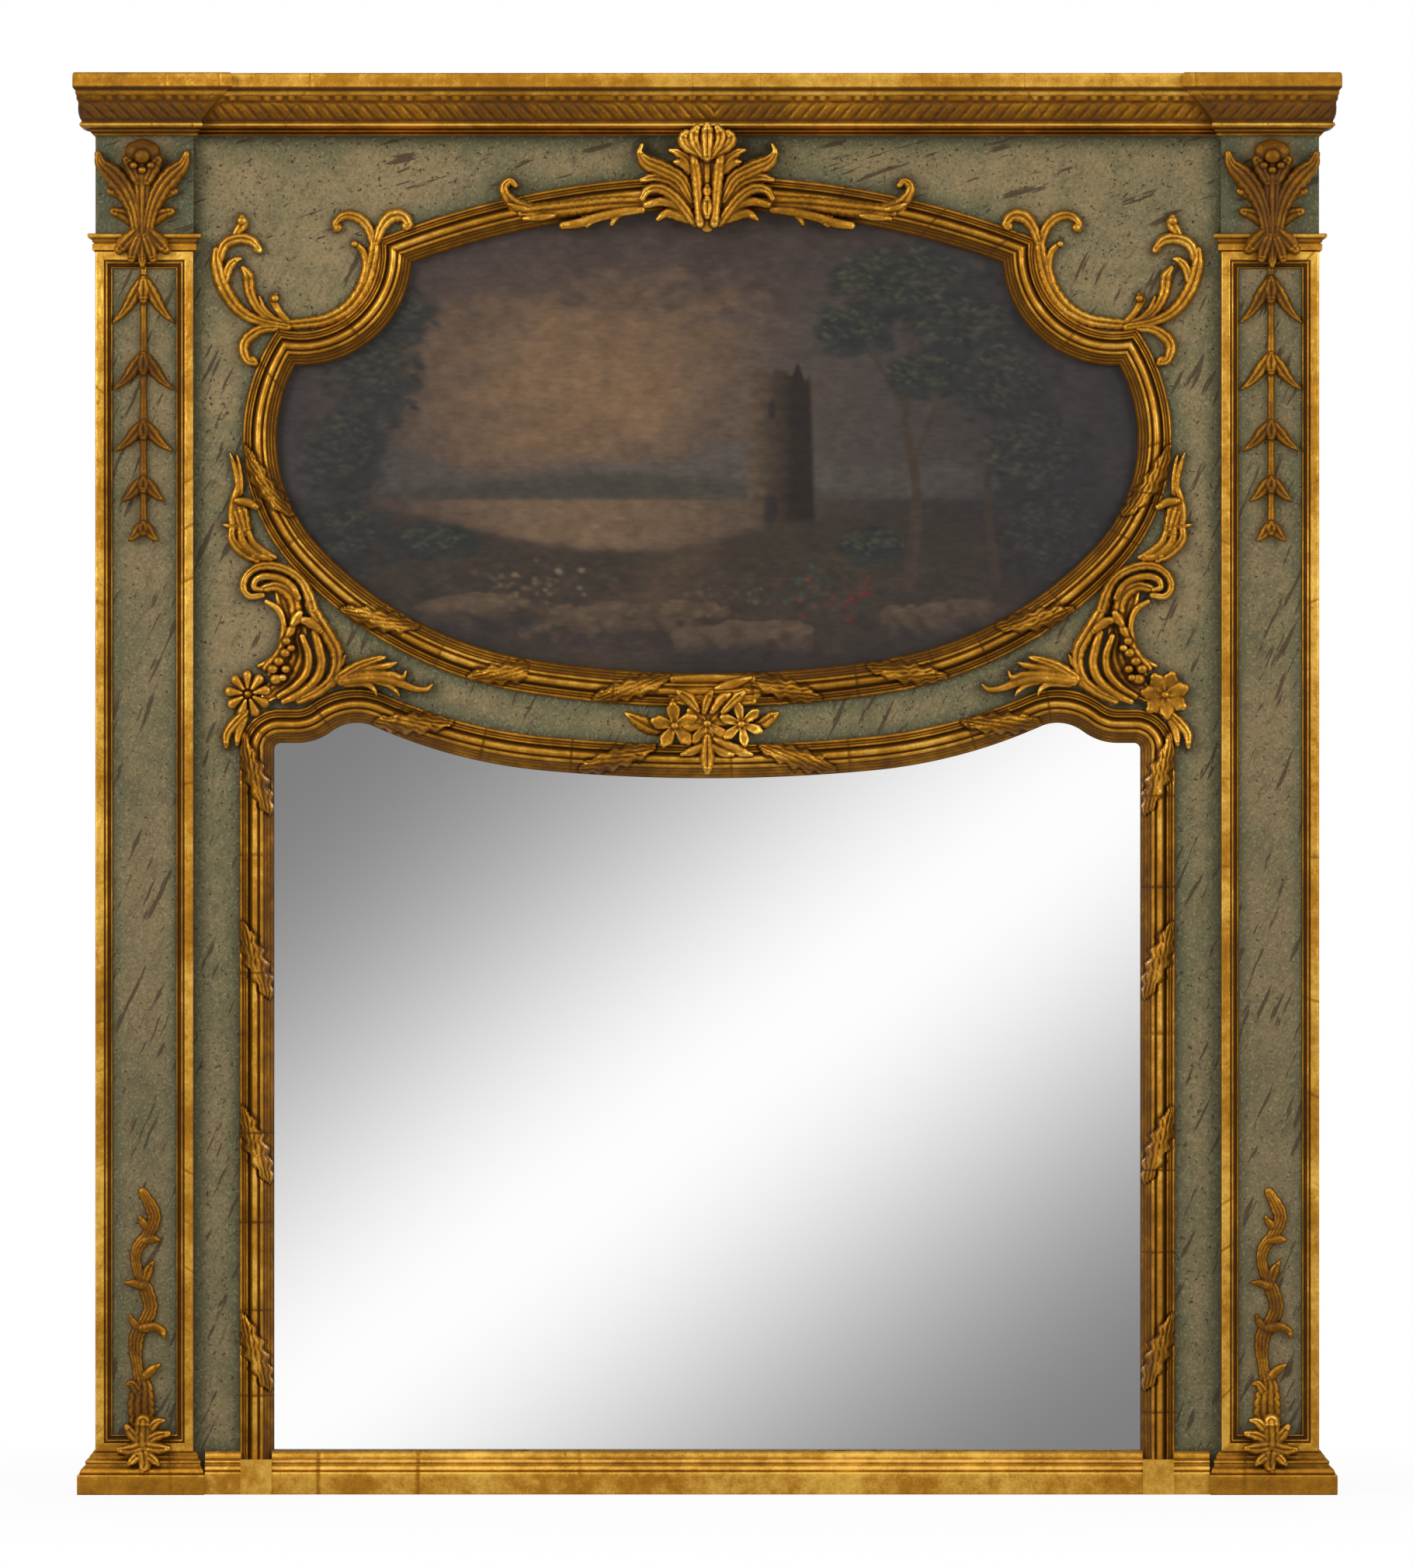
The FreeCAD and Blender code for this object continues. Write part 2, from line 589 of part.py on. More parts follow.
# ---------------------------------------------------------------------------------------
# Base rail with a housing for each block, and the blocks
# ---------------------------------------------------------------------------------------
BLOCK_CENTRE = size("sight_half_width") + size("moulding_width") / 2


def block_shape(side):
    half = size("block_width") / 2
    return box_shape(side * BLOCK_CENTRE - half, side * BLOCK_CENTRE + half,
                     FIELD_DEPTH + size("block_housing"), FIELD_DEPTH + size("block_stand"),
                     0, size("block_height"))


def base_rail_shape():
    reach = PILASTER_INNER - PLINTH_REACH
    corners = [point(-reach, FIELD_DEPTH + stand, z) for z, stand in BASE_RAIL_SECTION]
    back = [point(-reach, FIELD_DEPTH, BASE_RAIL_SECTION[-1][0]), point(-reach, FIELD_DEPTH, 0)]
    rail = polygon_face(corners + back).extrude(FreeCAD.Vector(2 * reach, 0, 0))
    inner = size("sight_half_width")
    for side in (LEFT, RIGHT):
        above_block = box_shape(side * inner, side * (inner + size("moulding_width")), FIELD_DEPTH,
                                TOTAL_DEPTH, size("block_height"), size("plinth_height"))
        rail = rail.cut(block_shape(side)).cut(above_block)
    return rail


base_rail_solid = base_rail_shape()
keep("base_rail", add_shape("base_rail", base_rail_solid))
keep("stile_blocks", add_shape("stile_blocks", Part.makeCompound([block_shape(LEFT),
                                                                  block_shape(RIGHT)])))

# ---------------------------------------------------------------------------------------
# Gilt border of each pilaster: a pad with its field pocketed out, and a groove
# ---------------------------------------------------------------------------------------
def origin_plane(body, role):
    return [plane for plane in body.Origin.OriginFeatures if plane.Role == role][0]


def rectangle_sketch(body, name, rectangles):
    """Rectangles on the body's XZ plane, each as (half width, foot, top) in expressions."""
    sketch = body.newObject("Sketcher::SketchObject", name)
    sketch.AttachmentSupport = [(origin_plane(body, "XZ_Plane"), "")]
    sketch.MapMode = "FlatFace"
    for half_width, foot, top in rectangles:
        corners = [(-10, 10), (10, 10), (10, 20), (-10, 20)]
        first = sketch.GeometryCount
        for i in range(4):
            start = FreeCAD.Vector(corners[i][0], corners[i][1], 0)
            end = FreeCAD.Vector(corners[(i + 1) % 4][0], corners[(i + 1) % 4][1], 0)
            sketch.addGeometry(Part.LineSegment(start, end), False)
        for i in range(4):
            sketch.addConstraint(Sketcher.Constraint("Coincident", first + i, 2,
                                                     first + (i + 1) % 4, 1))
        for line, kind in ((1, "Vertical"), (2, "Horizontal"), (3, "Vertical")):
            sketch.addConstraint(Sketcher.Constraint(kind, first + line))
        sketch.addConstraint(Sketcher.Constraint("Symmetric", first, 1, first, 2, -2))
        width = sketch.addConstraint(Sketcher.Constraint("DistanceX", first, 1, first, 2, 20))
        low = sketch.addConstraint(Sketcher.Constraint("DistanceY", -1, 1, first, 2, 10))
        high = sketch.addConstraint(Sketcher.Constraint("DistanceY", -1, 1, first + 2, 1, 20))
        sketch.setExpression("Constraints[%d]" % width, "2 * (%s)" % half_width)
        sketch.setExpression("Constraints[%d]" % low, foot)
        sketch.setExpression("Constraints[%d]" % high, top)
    return sketch


def pilaster_border(name, side):
    body = document.addObject("PartDesign::Body", name)
    centre = "sizes.pilaster_centre" if side == RIGHT else "-sizes.pilaster_centre"
    body.setExpression("Placement.Base.x", centre)
    depth = "(sizes.back_frame_depth + sizes.panel_thickness + sizes.pilaster_stand)"
    body.setExpression("Placement.Base.y", "%s - %s" % (WALL_Y_TEXT, depth))
    half = "sizes.pilaster_width / 2"
    foot = "sizes.plinth_height"
    top = "sizes.pilaster_top"
    inset = "sizes.border_width"
    outline = rectangle_sketch(body, name + "_outline", [
        (half, foot, top),
        (half + " - " + inset, foot + " + " + inset, top + " - " + inset)])
    pad = body.newObject("PartDesign::Pad", name + "_pad")
    pad.Profile = outline
    pad.setExpression("Length", "sizes.border_stand")
    document.recompute()
    flat = "sizes.border_flat"
    beyond = "(sizes.border_flat + sizes.border_groove)"
    groove = rectangle_sketch(body, name + "_groove", [
        (half + " - " + flat, foot + " + " + flat, top + " - " + flat),
        (half + " - " + beyond, foot + " + " + beyond, top + " - " + beyond)])
    groove.setExpression("AttachmentOffset.Base.z", "sizes.border_stand")
    pocket = body.newObject("PartDesign::Pocket", name + "_pocket")
    pocket.Profile = groove
    pocket.setExpression("Length", "sizes.border_stand / 2")
    document.recompute()
    body.Tip = pocket
    return body


for side_name, side in SIDES:
    name = "pilaster_frame_" + side_name
    keep(name, pilaster_border(name, side))

# ---------------------------------------------------------------------------------------
# Back frame: stiles with mortises and hanger pockets, rails with tenons
# ---------------------------------------------------------------------------------------
RAILS = (
    ("back_bottom_rail", "0", "sizes.bottom_rail_top"),
    ("back_middle_rail", "sizes.middle_rail_foot", "sizes.middle_rail_height"),
    ("back_top_rail", "sizes.top_rail_foot", "sizes.cornice_foot - sizes.top_rail_foot"),
)


def tenon(name, side, foot, height):
    start = "sizes.bay_half_width" if side == RIGHT else "-sizes.bay_half_width - sizes.tenon_length"
    depth = "(sizes.back_frame_depth - sizes.tenon_thickness) / 2"
    return board(name, start, "sizes.tenon_length", depth, "sizes.tenon_thickness",
                 foot + " + sizes.tenon_shoulder", height + " - 2 * sizes.tenon_shoulder")


tenons = {LEFT: [], RIGHT: []}
for rail_name, foot, height in RAILS:
    rail = board(rail_name + "_bar", "-sizes.bay_half_width", "2 * sizes.bay_half_width", "0",
                 "sizes.back_frame_depth", foot, height)
    ends = [tenon(rail_name + "_tenon_" + side_name, side, foot, height)
            for side_name, side in SIDES]
    tenons[LEFT].append(ends[0])
    tenons[RIGHT].append(ends[1])
    keep(rail_name, fuse(rail_name, [rail] + ends))


def hanger_pocket(name, side):
    start = "%s sizes.hanger_centre - sizes.pocket_half_width" % ("" if side == RIGHT else "-")
    return board(name, start, "2 * sizes.pocket_half_width", "0", "sizes.pocket_depth",
                 "sizes.hanger_height - sizes.pocket_below",
                 "sizes.pocket_above + sizes.pocket_below")


STILE_WIDTH = OUTER + " - sizes.bay_half_width"

# ---------------------------------------------------------------------------------------
# Screws: countersunk, drawn along +Y or across, and used to cut their own holes
# ---------------------------------------------------------------------------------------
def screw(head_centre, direction, head_radius, shank_radius, length):
    """A countersunk screw whose flat head lies at head_centre."""
    head_depth = head_radius - shank_radius
    head = Part.makeCone(head_radius, shank_radius, head_depth, head_centre, direction)
    shank = Part.makeCylinder(shank_radius, length, head_centre, direction)
    return head.fuse(shank).removeSplitter()


def hanger_screws():
    screws = []
    depth = size("pocket_depth") - size("strap_thickness")
    for side in (LEFT, RIGHT):
        for drop in (size("hanger_screw_first"), size("hanger_screw_second")):
            seat = point(side * size("hanger_centre"), depth, size("hanger_height") - drop)
            screws.append(screw(seat, FreeCAD.Vector(0, -1, 0), size("hanger_screw_head"),
                                size("hanger_screw_radius"), size("hanger_screw_length")))
    return screws


BATTEN_BACK = (size("back_frame_depth") - size("glass_thickness") - size("back_board_thickness")
               - size("batten_depth"))
BATTEN_SCREW_HEIGHTS = 3


def batten_screws():
    """Screws that fix the upright battens to the back stiles."""
    screws = []
    low = size("bottom_rail_top")
    rise = size("middle_rail_foot") - low
    depth = BATTEN_BACK + size("batten_depth") / 2
    for side in (LEFT, RIGHT):
        for i in range(BATTEN_SCREW_HEIGHTS):
            z = low + rise * (i + 0.5) / BATTEN_SCREW_HEIGHTS
            seat = point(side * (size("bay_half_width") - size("batten_width")), depth, z)
            screws.append(screw(seat, FreeCAD.Vector(side, 0, 0), size("batten_screw_head"),
                                size("batten_screw_radius"), size("batten_screw_length")))
    return screws


hanger_screw_solids = hanger_screws()
batten_screw_solids = batten_screws()
hanger_screw_group = add_shape("hanger_screws", Part.makeCompound(hanger_screw_solids))
batten_screw_group = add_shape("batten_screws", Part.makeCompound(batten_screw_solids))
keep("hanger_screws", hanger_screw_group)
keep("batten_screws", batten_screw_group)

for side_name, side in SIDES:
    start = "sizes.bay_half_width" if side == RIGHT else "-" + OUTER
    upright = board("stile_" + side_name, start, STILE_WIDTH, "0", "sizes.back_frame_depth",
                    "0", "sizes.cornice_foot")
    name = "back_stile_" + side_name
    cutters = tenons[side] + [hanger_pocket("pocket_" + side_name, side), hanger_screw_group,
                              batten_screw_group]
    keep(name, cut(name, upright, cutters))

# ---------------------------------------------------------------------------------------
# Glass, its board and its battens; the picture on its stretcher
# ---------------------------------------------------------------------------------------
PANE_HALF = "(sizes.bay_half_width - sizes.pane_play)"
PANE_FOOT = "(sizes.bottom_rail_top + sizes.pane_play)"
PANE_HEIGHT = "(sizes.middle_rail_foot - sizes.bottom_rail_top - 2 * sizes.pane_play)"
GLASS_BACK = "(sizes.back_frame_depth - sizes.glass_thickness)"
BOARD_BACK = "(sizes.back_frame_depth - sizes.glass_thickness - sizes.back_board_thickness)"
keep("mirror_glass", board("mirror_glass", "-" + PANE_HALF, "2 * " + PANE_HALF, GLASS_BACK,
                           "sizes.glass_thickness", PANE_FOOT, PANE_HEIGHT))
keep("mirror_back_board", board("mirror_back_board", "-" + PANE_HALF, "2 * " + PANE_HALF,
                                BOARD_BACK, "sizes.back_board_thickness", PANE_FOOT, PANE_HEIGHT))


def batten_shapes():
    """Four battens round the back of the glass, the upright ones screwed to the stiles."""
    half = size("bay_half_width")
    width = size("batten_width")
    low = size("bottom_rail_top")
    high = size("middle_rail_foot")
    front = BATTEN_BACK + size("batten_depth")
    uprights = [box_shape(side * (half - width), side * half, BATTEN_BACK, front, low, high)
                for side in (LEFT, RIGHT)]
    level = [box_shape(width - half, half - width, BATTEN_BACK, front, foot, foot + width)
             for foot in (low, high - width)]
    holes = Part.makeCompound(batten_screw_solids)
    return [upright.cut(holes) for upright in uprights] + level


keep("glass_battens", add_shape("glass_battens", Part.makeCompound(batten_shapes())))

PICTURE_FOOT = "(sizes.middle_rail_foot + sizes.middle_rail_height + sizes.pane_play)"
PICTURE_HEIGHT = ("(sizes.top_rail_foot - sizes.middle_rail_foot - sizes.middle_rail_height"
                  " - 2 * sizes.pane_play)")
CANVAS_BACK = "(sizes.back_frame_depth - sizes.canvas_thickness)"
STRETCHER_BACK = "(sizes.back_frame_depth - sizes.canvas_thickness - sizes.stretcher_depth)"
keep("painting_canvas", board("painting_canvas", "-" + PANE_HALF, "2 * " + PANE_HALF, CANVAS_BACK,
                              "sizes.canvas_thickness", PICTURE_FOOT, PICTURE_HEIGHT))
stretcher_block = board("stretcher_block", "-" + PANE_HALF, "2 * " + PANE_HALF, STRETCHER_BACK,
                        "sizes.stretcher_depth", PICTURE_FOOT, PICTURE_HEIGHT)
BAR = "sizes.stretcher_width"
BAY = "(%s - 1.5 * %s)" % (PANE_HALF, BAR)
stretcher_bays = [
    board("stretcher_bay_left", "-%s + %s" % (PANE_HALF, BAR), BAY, STRETCHER_BACK,
          "sizes.stretcher_depth", PICTURE_FOOT + " + " + BAR, PICTURE_HEIGHT + " - 2 * " + BAR),
    board("stretcher_bay_right", BAR + " / 2", BAY, STRETCHER_BACK,
          "sizes.stretcher_depth", PICTURE_FOOT + " + " + BAR, PICTURE_HEIGHT + " - 2 * " + BAR),
]
keep("painting_stretcher", cut("painting_stretcher", stretcher_block, stretcher_bays))


def stretcher_keys():
    """A thin wedge in each inner corner of the stretcher, where two bars meet."""
    keys = []
    half = size("bay_half_width") - size("pane_play") - size("stretcher_width")
    low = MIDDLE_RAIL_TOP + size("pane_play") + size("stretcher_width")
    high = size("top_rail_foot") - size("pane_play") - size("stretcher_width")
    back = size("back_frame_depth") - size("canvas_thickness") - size("stretcher_depth") / 2
    for side in (LEFT, RIGHT):
        for corner_z, up in ((low, 1), (high, -1)):
            corner_x = side * half
            corners = [(corner_x, corner_z), (corner_x, corner_z + up * size("key_length")),
                       (corner_x - side * size("key_width"), corner_z)]
            depth = back + size("key_thickness") / 2
            face = polygon_face([point(x, depth, z) for x, z in corners])
            keys.append(face.extrude(FreeCAD.Vector(0, size("key_thickness"), 0)))
    return keys


keep("stretcher_keys", add_shape("stretcher_keys", Part.makeCompound(stretcher_keys())))


def picture_blocks():
    """Small blocks on the back stiles that press the stretcher forward."""
    blocks = []
    half = size("bay_half_width")
    front = size("back_frame_depth") - size("canvas_thickness") - size("stretcher_depth")
    rise = size("top_rail_foot") - MIDDLE_RAIL_TOP
    for side in (LEFT, RIGHT):
        for share in (0.25, 0.75):
            middle = MIDDLE_RAIL_TOP + share * rise
            blocks.append(box_shape(side * (half - size("picture_block_width")), side * half,
                                    front - size("picture_block_depth"), front,
                                    middle - size("picture_block_length") / 2,
                                    middle + size("picture_block_length") / 2))
    return blocks


keep("picture_blocks", add_shape("picture_blocks", Part.makeCompound(picture_blocks())))

# ---------------------------------------------------------------------------------------
# Hangers: a strap with a knuckle, and a D ring that swings in it
# ---------------------------------------------------------------------------------------
def strap_shape(side):
    x = side * size("hanger_centre")
    half = size("strap_width") / 2
    pivot_depth = size("hanger_pivot_depth")
    pivot_z = size("hanger_height")
    floor = size("pocket_depth")
    plate = box_shape(x - half, x + half, floor - size("strap_thickness"), floor,
                      pivot_z - size("strap_length"), pivot_z)
    along = FreeCAD.Vector(1, 0, 0)
    start = point(x - half, pivot_depth, pivot_z)
    knuckle = Part.makeCylinder(size("knuckle_radius"), size("strap_width"), start, along)
    bore = Part.makeCylinder(size("ring_wire_radius") + size("ring_play"), size("strap_width"),
                             start, along)
    strap = plate.fuse(knuckle).cut(bore).cut(Part.makeCompound(hanger_screw_solids))
    return strap.removeSplitter()


def ring_shape(side):
    """A D ring: a straight bar through the knuckle, two legs and a half round below."""
    x = side * size("hanger_centre")
    half = size("ring_half_width")
    depth = size("hanger_pivot_depth")
    z = size("hanger_height")
    low = z - size("ring_leg")
    left_top = point(x - half, depth, z)
    right_top = point(x + half, depth, z)
    left_low = point(x - half, depth, low)
    right_low = point(x + half, depth, low)
    radius = size("ring_wire_radius")
    bar = Part.makeCylinder(radius, 2 * half, left_top, FreeCAD.Vector(1, 0, 0))
    legs = [Part.makeCylinder(radius, size("ring_leg"), top, FreeCAD.Vector(0, 0, -1))
            for top in (left_top, right_top)]
    corners = [Part.makeSphere(radius, top) for top in (left_top, right_top)]
    bend = Part.Wire([Part.Arc(left_low, point(x, depth, low - half), right_low).toShape()])
    circle = Part.Wire([Part.makeCircle(radius, left_low, FreeCAD.Vector(0, 0, 1))])
    bow = bend.makePipeShell([circle], True, True)
    return bar.multiFuse(legs + corners + [bow])


straps = [strap_shape(LEFT), strap_shape(RIGHT)]
keep("hanger_straps", add_shape("hanger_straps", Part.makeCompound(straps)))
for side_name, side in SIDES:
    name = "hanger_ring_" + side_name
    keep(name, add_shape(name, ring_shape(side)))

# ---------------------------------------------------------------------------------------
# Mouldings round the openings
# ---------------------------------------------------------------------------------------
keep("mirror_moulding_top", add_shape("mirror_moulding_top", top_moulding))
for side_name, side in SIDES:
    name = "mirror_moulding_" + side_name
    keep(name, add_shape(name, mirrored(left_stile_moulding, side)))

# ---------------------------------------------------------------------------------------
# Carvings: strokes of a carver's drawing, each raised to a narrower top
# ---------------------------------------------------------------------------------------
TOP_WIDTH_SHARE = 0.5
HEIGHT_STEP = 0.37


def spline_edge(points_of_side):
    curve = Part.BSplineCurve()
    curve.interpolate(points_of_side)
    return curve.toShape()


def stroke_wire(stroke, share, depth):
    """Outline of a stroke, given as (x, z, width) along its middle, with its width scaled."""
    left = []
    right = []
    last = len(stroke) - 1
    for i, (x, z, width) in enumerate(stroke):
        before = stroke[max(i - 1, 0)]
        after = stroke[min(i + 1, last)]
        dx = after[0] - before[0]
        dz = after[1] - before[1]
        run = math.hypot(dx, dz)
        across = (-dz / run * width * share / 2, dx / run * width * share / 2)
        left.append(point(x + across[0], depth, z + across[1]))
        right.append(point(x - across[0], depth, z - across[1]))
    return Part.Wire([
        spline_edge(left),
        Part.makeLine(left[-1], right[-1]),
        spline_edge(right[::-1]),
        Part.makeLine(right[0], left[0]),
    ])


def stroke_solid(stroke, seat_depth, height):
    base = stroke_wire(stroke, 1, seat_depth)
    top = stroke_wire(stroke, TOP_WIDTH_SHARE, seat_depth + height)
    return Part.makeLoft([base, top], True, True)


def near(shape, target):
    """The part of a shape that lies beside the target, so that cuts stay quick."""
    room = target.BoundBox
    room.enlarge(5)
    block = Part.makeBox(room.XLength, room.YLength, room.ZLength,
                         FreeCAD.Vector(room.XMin, room.YMin, room.ZMin))
    return shape.common(block)


def carving(strokes, seat_depth, shift=(0, 0), cutters=()):
    """A carving of fused strokes, each as (height, points), seated on its ground."""
    solids = []
    for i, (height, stroke) in enumerate(strokes):
        moved = [(x + shift[0], z + shift[1], width) for x, z, width in stroke]
        solids.append(stroke_solid(moved, seat_depth, height + i * HEIGHT_STEP))
    whole = solids[0].multiFuse(solids[1:])
    for cutter in cutters:
        beside = near(cutter, whole)
        if beside.Solids:
            whole = whole.cut(beside)
    return whole


def mirrored_strokes(strokes, middle):
    return [(height, [(2 * middle - x, z, width) for x, z, width in stroke])
            for height, stroke in strokes]


def flower(centre, petals, length, width, height, start):
    """Strokes of the petals of a flower and of its eye."""
    strokes = []
    for i in range(petals):
        angle = math.radians(start + 360 * i / petals)
        stroke = []
        for share, breadth in ((0.1, 0.35), (0.55, 0.85), (0.85, 1), (1, 0.55)):
            stroke.append((centre[0] + share * length * math.cos(angle),
                           centre[1] + share * length * math.sin(angle), breadth * width))
        strokes.append((height, stroke))
    eye = length * 0.18
    strokes.append((height - 3, [(centre[0] - eye, centre[1], eye), (centre[0], centre[1], 2 * eye),
                                 (centre[0] + eye, centre[1], eye)]))
    return strokes


# The drawings are made for the left side, in the elevation of the whole mirror. Each is
# drawn about a seat; where a driving dimension moves that seat, the carving moves with it.
UPPER_SCROLL = [
    (11, [(-566, 1503, 4), (-545, 1507, 10), (-520, 1509, 12), (-490, 1514, 13), (-462, 1530, 15),
          (-443, 1556, 16), (-433, 1585, 14), (-429, 1610, 12), (-430, 1625, 10)]),
    (12, [(-430, 1612, 10), (-437, 1632, 11), (-450, 1645, 11), (-466, 1648, 10), (-478, 1640, 8),
          (-479, 1630, 7)]),
    (14, [(-427, 1612, 8), (-420, 1632, 12), (-408, 1646, 15), (-393, 1647, 13), (-384, 1636, 9),
          (-387, 1630, 3)]),
    (10, [(-446, 1556, 10), (-440, 1580, 9), (-443, 1600, 8), (-455, 1613, 5)]),
    (9, [(-540, 1510, 8), (-552, 1524, 8), (-560, 1540, 9), (-556, 1546, 4)]),
    (11, [(-545, 1508, 8), (-572, 1520, 10), (-588, 1545, 12), (-592, 1570, 12), (-598, 1580, 6)]),
    (9, [(-555, 1512, 6), (-570, 1526, 6), (-577, 1543, 3)]),
    (13, [(-540, 1504, 8), (-575, 1511, 10), (-602, 1525, 13), (-622, 1552, 15), (-632, 1582, 14),
          (-633, 1603, 8)]),
    (14, [(-630, 1590, 10), (-622, 1610, 12), (-605, 1618, 12), (-587, 1615, 11), (-577, 1603, 7)]),
    (11, [(-612, 1614, 5), (-606, 1626, 10), (-599, 1636, 13), (-600, 1645, 8)]),
    (10, [(-622, 1560, 8), (-617, 1580, 11), (-608, 1590, 8), (-601, 1592, 3)]),
    (12, [(-556, 1503, 8), (-575, 1501, 11), (-592, 1490, 13), (-598, 1476, 12), (-592, 1461, 10),
          (-582, 1457, 6)]),
]
CREST_HALF = [
    (30, [(-20, 1668, 16), (-35, 1694, 22), (-58, 1707, 24), (-78, 1716, 20), (-87, 1728, 9),
          (-84, 1738, 5)]),
    (26, [(-18, 1660, 14), (-42, 1688, 18), (-65, 1696, 16), (-84, 1693, 7)]),
    (32, [(-18, 1640, 14), (-38, 1666, 16), (-58, 1681, 14), (-76, 1680, 12), (-84, 1669, 8)]),
    (29, [(-16, 1638, 12), (-38, 1659, 13), (-58, 1665, 12), (-78, 1661, 10)]),
    (27, [(-12, 1638, 10), (-34, 1646, 14), (-52, 1650, 12), (-64, 1642, 6)]),
    (33, [(-12, 1698, 14), (-24, 1718, 18), (-38, 1728, 12), (-48, 1731, 5)]),
    (31, [(-14, 1700, 10), (-32, 1714, 12), (-42, 1716, 5)]),
    (36, [(-9, 1636, 12), (-11, 1668, 13), (-14, 1700, 14), (-17, 1724, 12)]),
]
CREST_MIDDLE = [
    (38, [(0, 1633, 18), (0, 1660, 22), (0, 1700, 26), (0, 1728, 26)]),
    (54, [(-20, 1724, 12), (-24, 1742, 18), (-16, 1758, 10)]),
    (54, [(0, 1722, 16), (0, 1744, 24), (0, 1762, 14)]),
    (54, [(20, 1724, 12), (24, 1742, 18), (16, 1758, 10)]),
    (46, [(0, 1645, 8), (0, 1657, 18), (0, 1669, 8)]),
    (43, [(0, 1671, 6), (0, 1678, 13), (0, 1685, 6)]),
]
CREST_BRANCH = [
    (27, [(-84, 1664, 18), (-130, 1662, 19), (-175, 1657, 20), (-225, 1652, 18), (-240, 1650, 8)]),
    (30, [(-84, 1655, 9), (-110, 1652, 11), (-140, 1645, 11), (-166, 1637, 11), (-186, 1634, 9)]),
    (27, [(-104, 1654, 7), (-117, 1647, 9), (-123, 1636, 5)]),
    (27, [(-130, 1650, 7), (-147, 1642, 9), (-155, 1634, 5)]),
    (26, [(-222, 1654, 14), (-245, 1660, 17), (-258, 1672, 13), (-262, 1684, 11), (-254, 1692, 9),
          (-247, 1686, 6)]),
    (28, [(-198, 1647, 6), (-216, 1645, 9), (-236, 1643, 5)]),
    (28, [(-232, 1655, 8), (-246, 1658, 8), (-256, 1662, 4)]),
]
SIDE_LEAF = [
    (11, [(-604, 1288, 10), (-606, 1308, 8), (-610, 1326, 7), (-615, 1341, 3)]),
    (10, [(-601, 1290, 7), (-601, 1310, 6), (-604, 1330, 5), (-606, 1338, 3)]),
    (12, [(-606, 1296, 8), (-611, 1278, 10), (-613, 1262, 10), (-612, 1245, 8)]),
    (16, [(-607, 1280, 8), (-592, 1278, 11), (-581, 1272, 8)]),
    (14, [(-603, 1270, 22), (-599, 1255, 20), (-595, 1240, 15)]),
    (11, [(-600, 1246, 12), (-612, 1247, 8), (-624, 1249, 3)]),
    (13, [(-612, 1248, 8), (-612, 1230, 12), (-598, 1214, 14), (-580, 1203, 8)]),
    (14, [(-602, 1244, 8), (-598, 1226, 11), (-582, 1211, 12), (-563, 1206, 8)]),
    (13, [(-592, 1243, 7), (-586, 1227, 9), (-572, 1214, 10), (-557, 1207, 6)]),
]
LOWER_BRACKET = [
    (20, [(-573, 1158, 8), (-590, 1157, 9), (-598, 1168, 10), (-594, 1183, 10), (-580, 1194, 11),
          (-560, 1196, 12), (-540, 1190, 12), (-524, 1178, 12), (-514, 1160, 14), (-508, 1140, 16)]),
    (17, [(-575, 1165, 7), (-584, 1168, 8), (-582, 1178, 9), (-570, 1183, 10), (-550, 1180, 10),
          (-535, 1170, 10), (-527, 1155, 10)]),
    (15, [(-574, 1166, 12), (-556, 1170, 16), (-540, 1162, 20), (-532, 1148, 20), (-530, 1130, 18)]),
    (16, [(-568, 1150, 7), (-553, 1140, 9), (-546, 1122, 9), (-547, 1105, 9), (-553, 1085, 9),
          (-566, 1072, 9), (-578, 1067, 6)]),
    (14, [(-545, 1160, 24), (-535, 1130, 32), (-532, 1100, 34), (-530, 1075, 38), (-545, 1048, 34),
          (-566, 1030, 18)]),
    (18, [(-512, 1146, 16), (-500, 1125, 18), (-488, 1105, 20), (-479, 1088, 20), (-477, 1070, 18),
          (-484, 1050, 16), (-502, 1034, 14), (-526, 1022, 10)]),
    (19, [(-506, 1110, 10), (-500, 1090, 12), (-497, 1070, 12), (-504, 1050, 12), (-522, 1033, 12),
          (-546, 1021, 8)]),
    (17, [(-522, 1105, 9), (-514, 1082, 11), (-516, 1060, 11), (-530, 1042, 11), (-552, 1028, 8)]),
    (20, [(-498, 1112, 10), (-510, 1122, 14), (-524, 1127, 8)]),
    (15, [(-482, 1058, 10), (-472, 1070, 9), (-466, 1081, 3)]),
    (16, [(-528, 1024, 12), (-498, 1038, 14), (-478, 1050, 16), (-466, 1056, 14)]),
    (17, [(-475, 1052, 14), (-450, 1067, 15), (-425, 1076, 10), (-415, 1078, 4)]),
    (15, [(-472, 1056, 12), (-440, 1063, 12), (-415, 1067, 10), (-401, 1071, 4)]),
    (16, [(-476, 1050, 14), (-440, 1055, 14), (-410, 1055, 12), (-393, 1052, 8), (-388, 1060, 3)]),
    (17, [(-472, 1047, 12), (-430, 1051, 12), (-400, 1046, 12), (-378, 1038, 9), (-362, 1037, 7),
          (-354, 1043, 3)]),
    (14, [(-466, 1044, 10), (-442, 1045, 10), (-430, 1038, 7), (-426, 1030, 3)]),
    (14, [(-432, 1048, 8), (-412, 1043, 8), (-401, 1035, 6), (-397, 1029, 3)]),
]
LEFT_ROSETTE = flower((-592, 1030), 9, 30, 14, 16, 92)
RIGHT_ROSETTE = flower((590, 1030), 7, 27, 22, 17, 70)
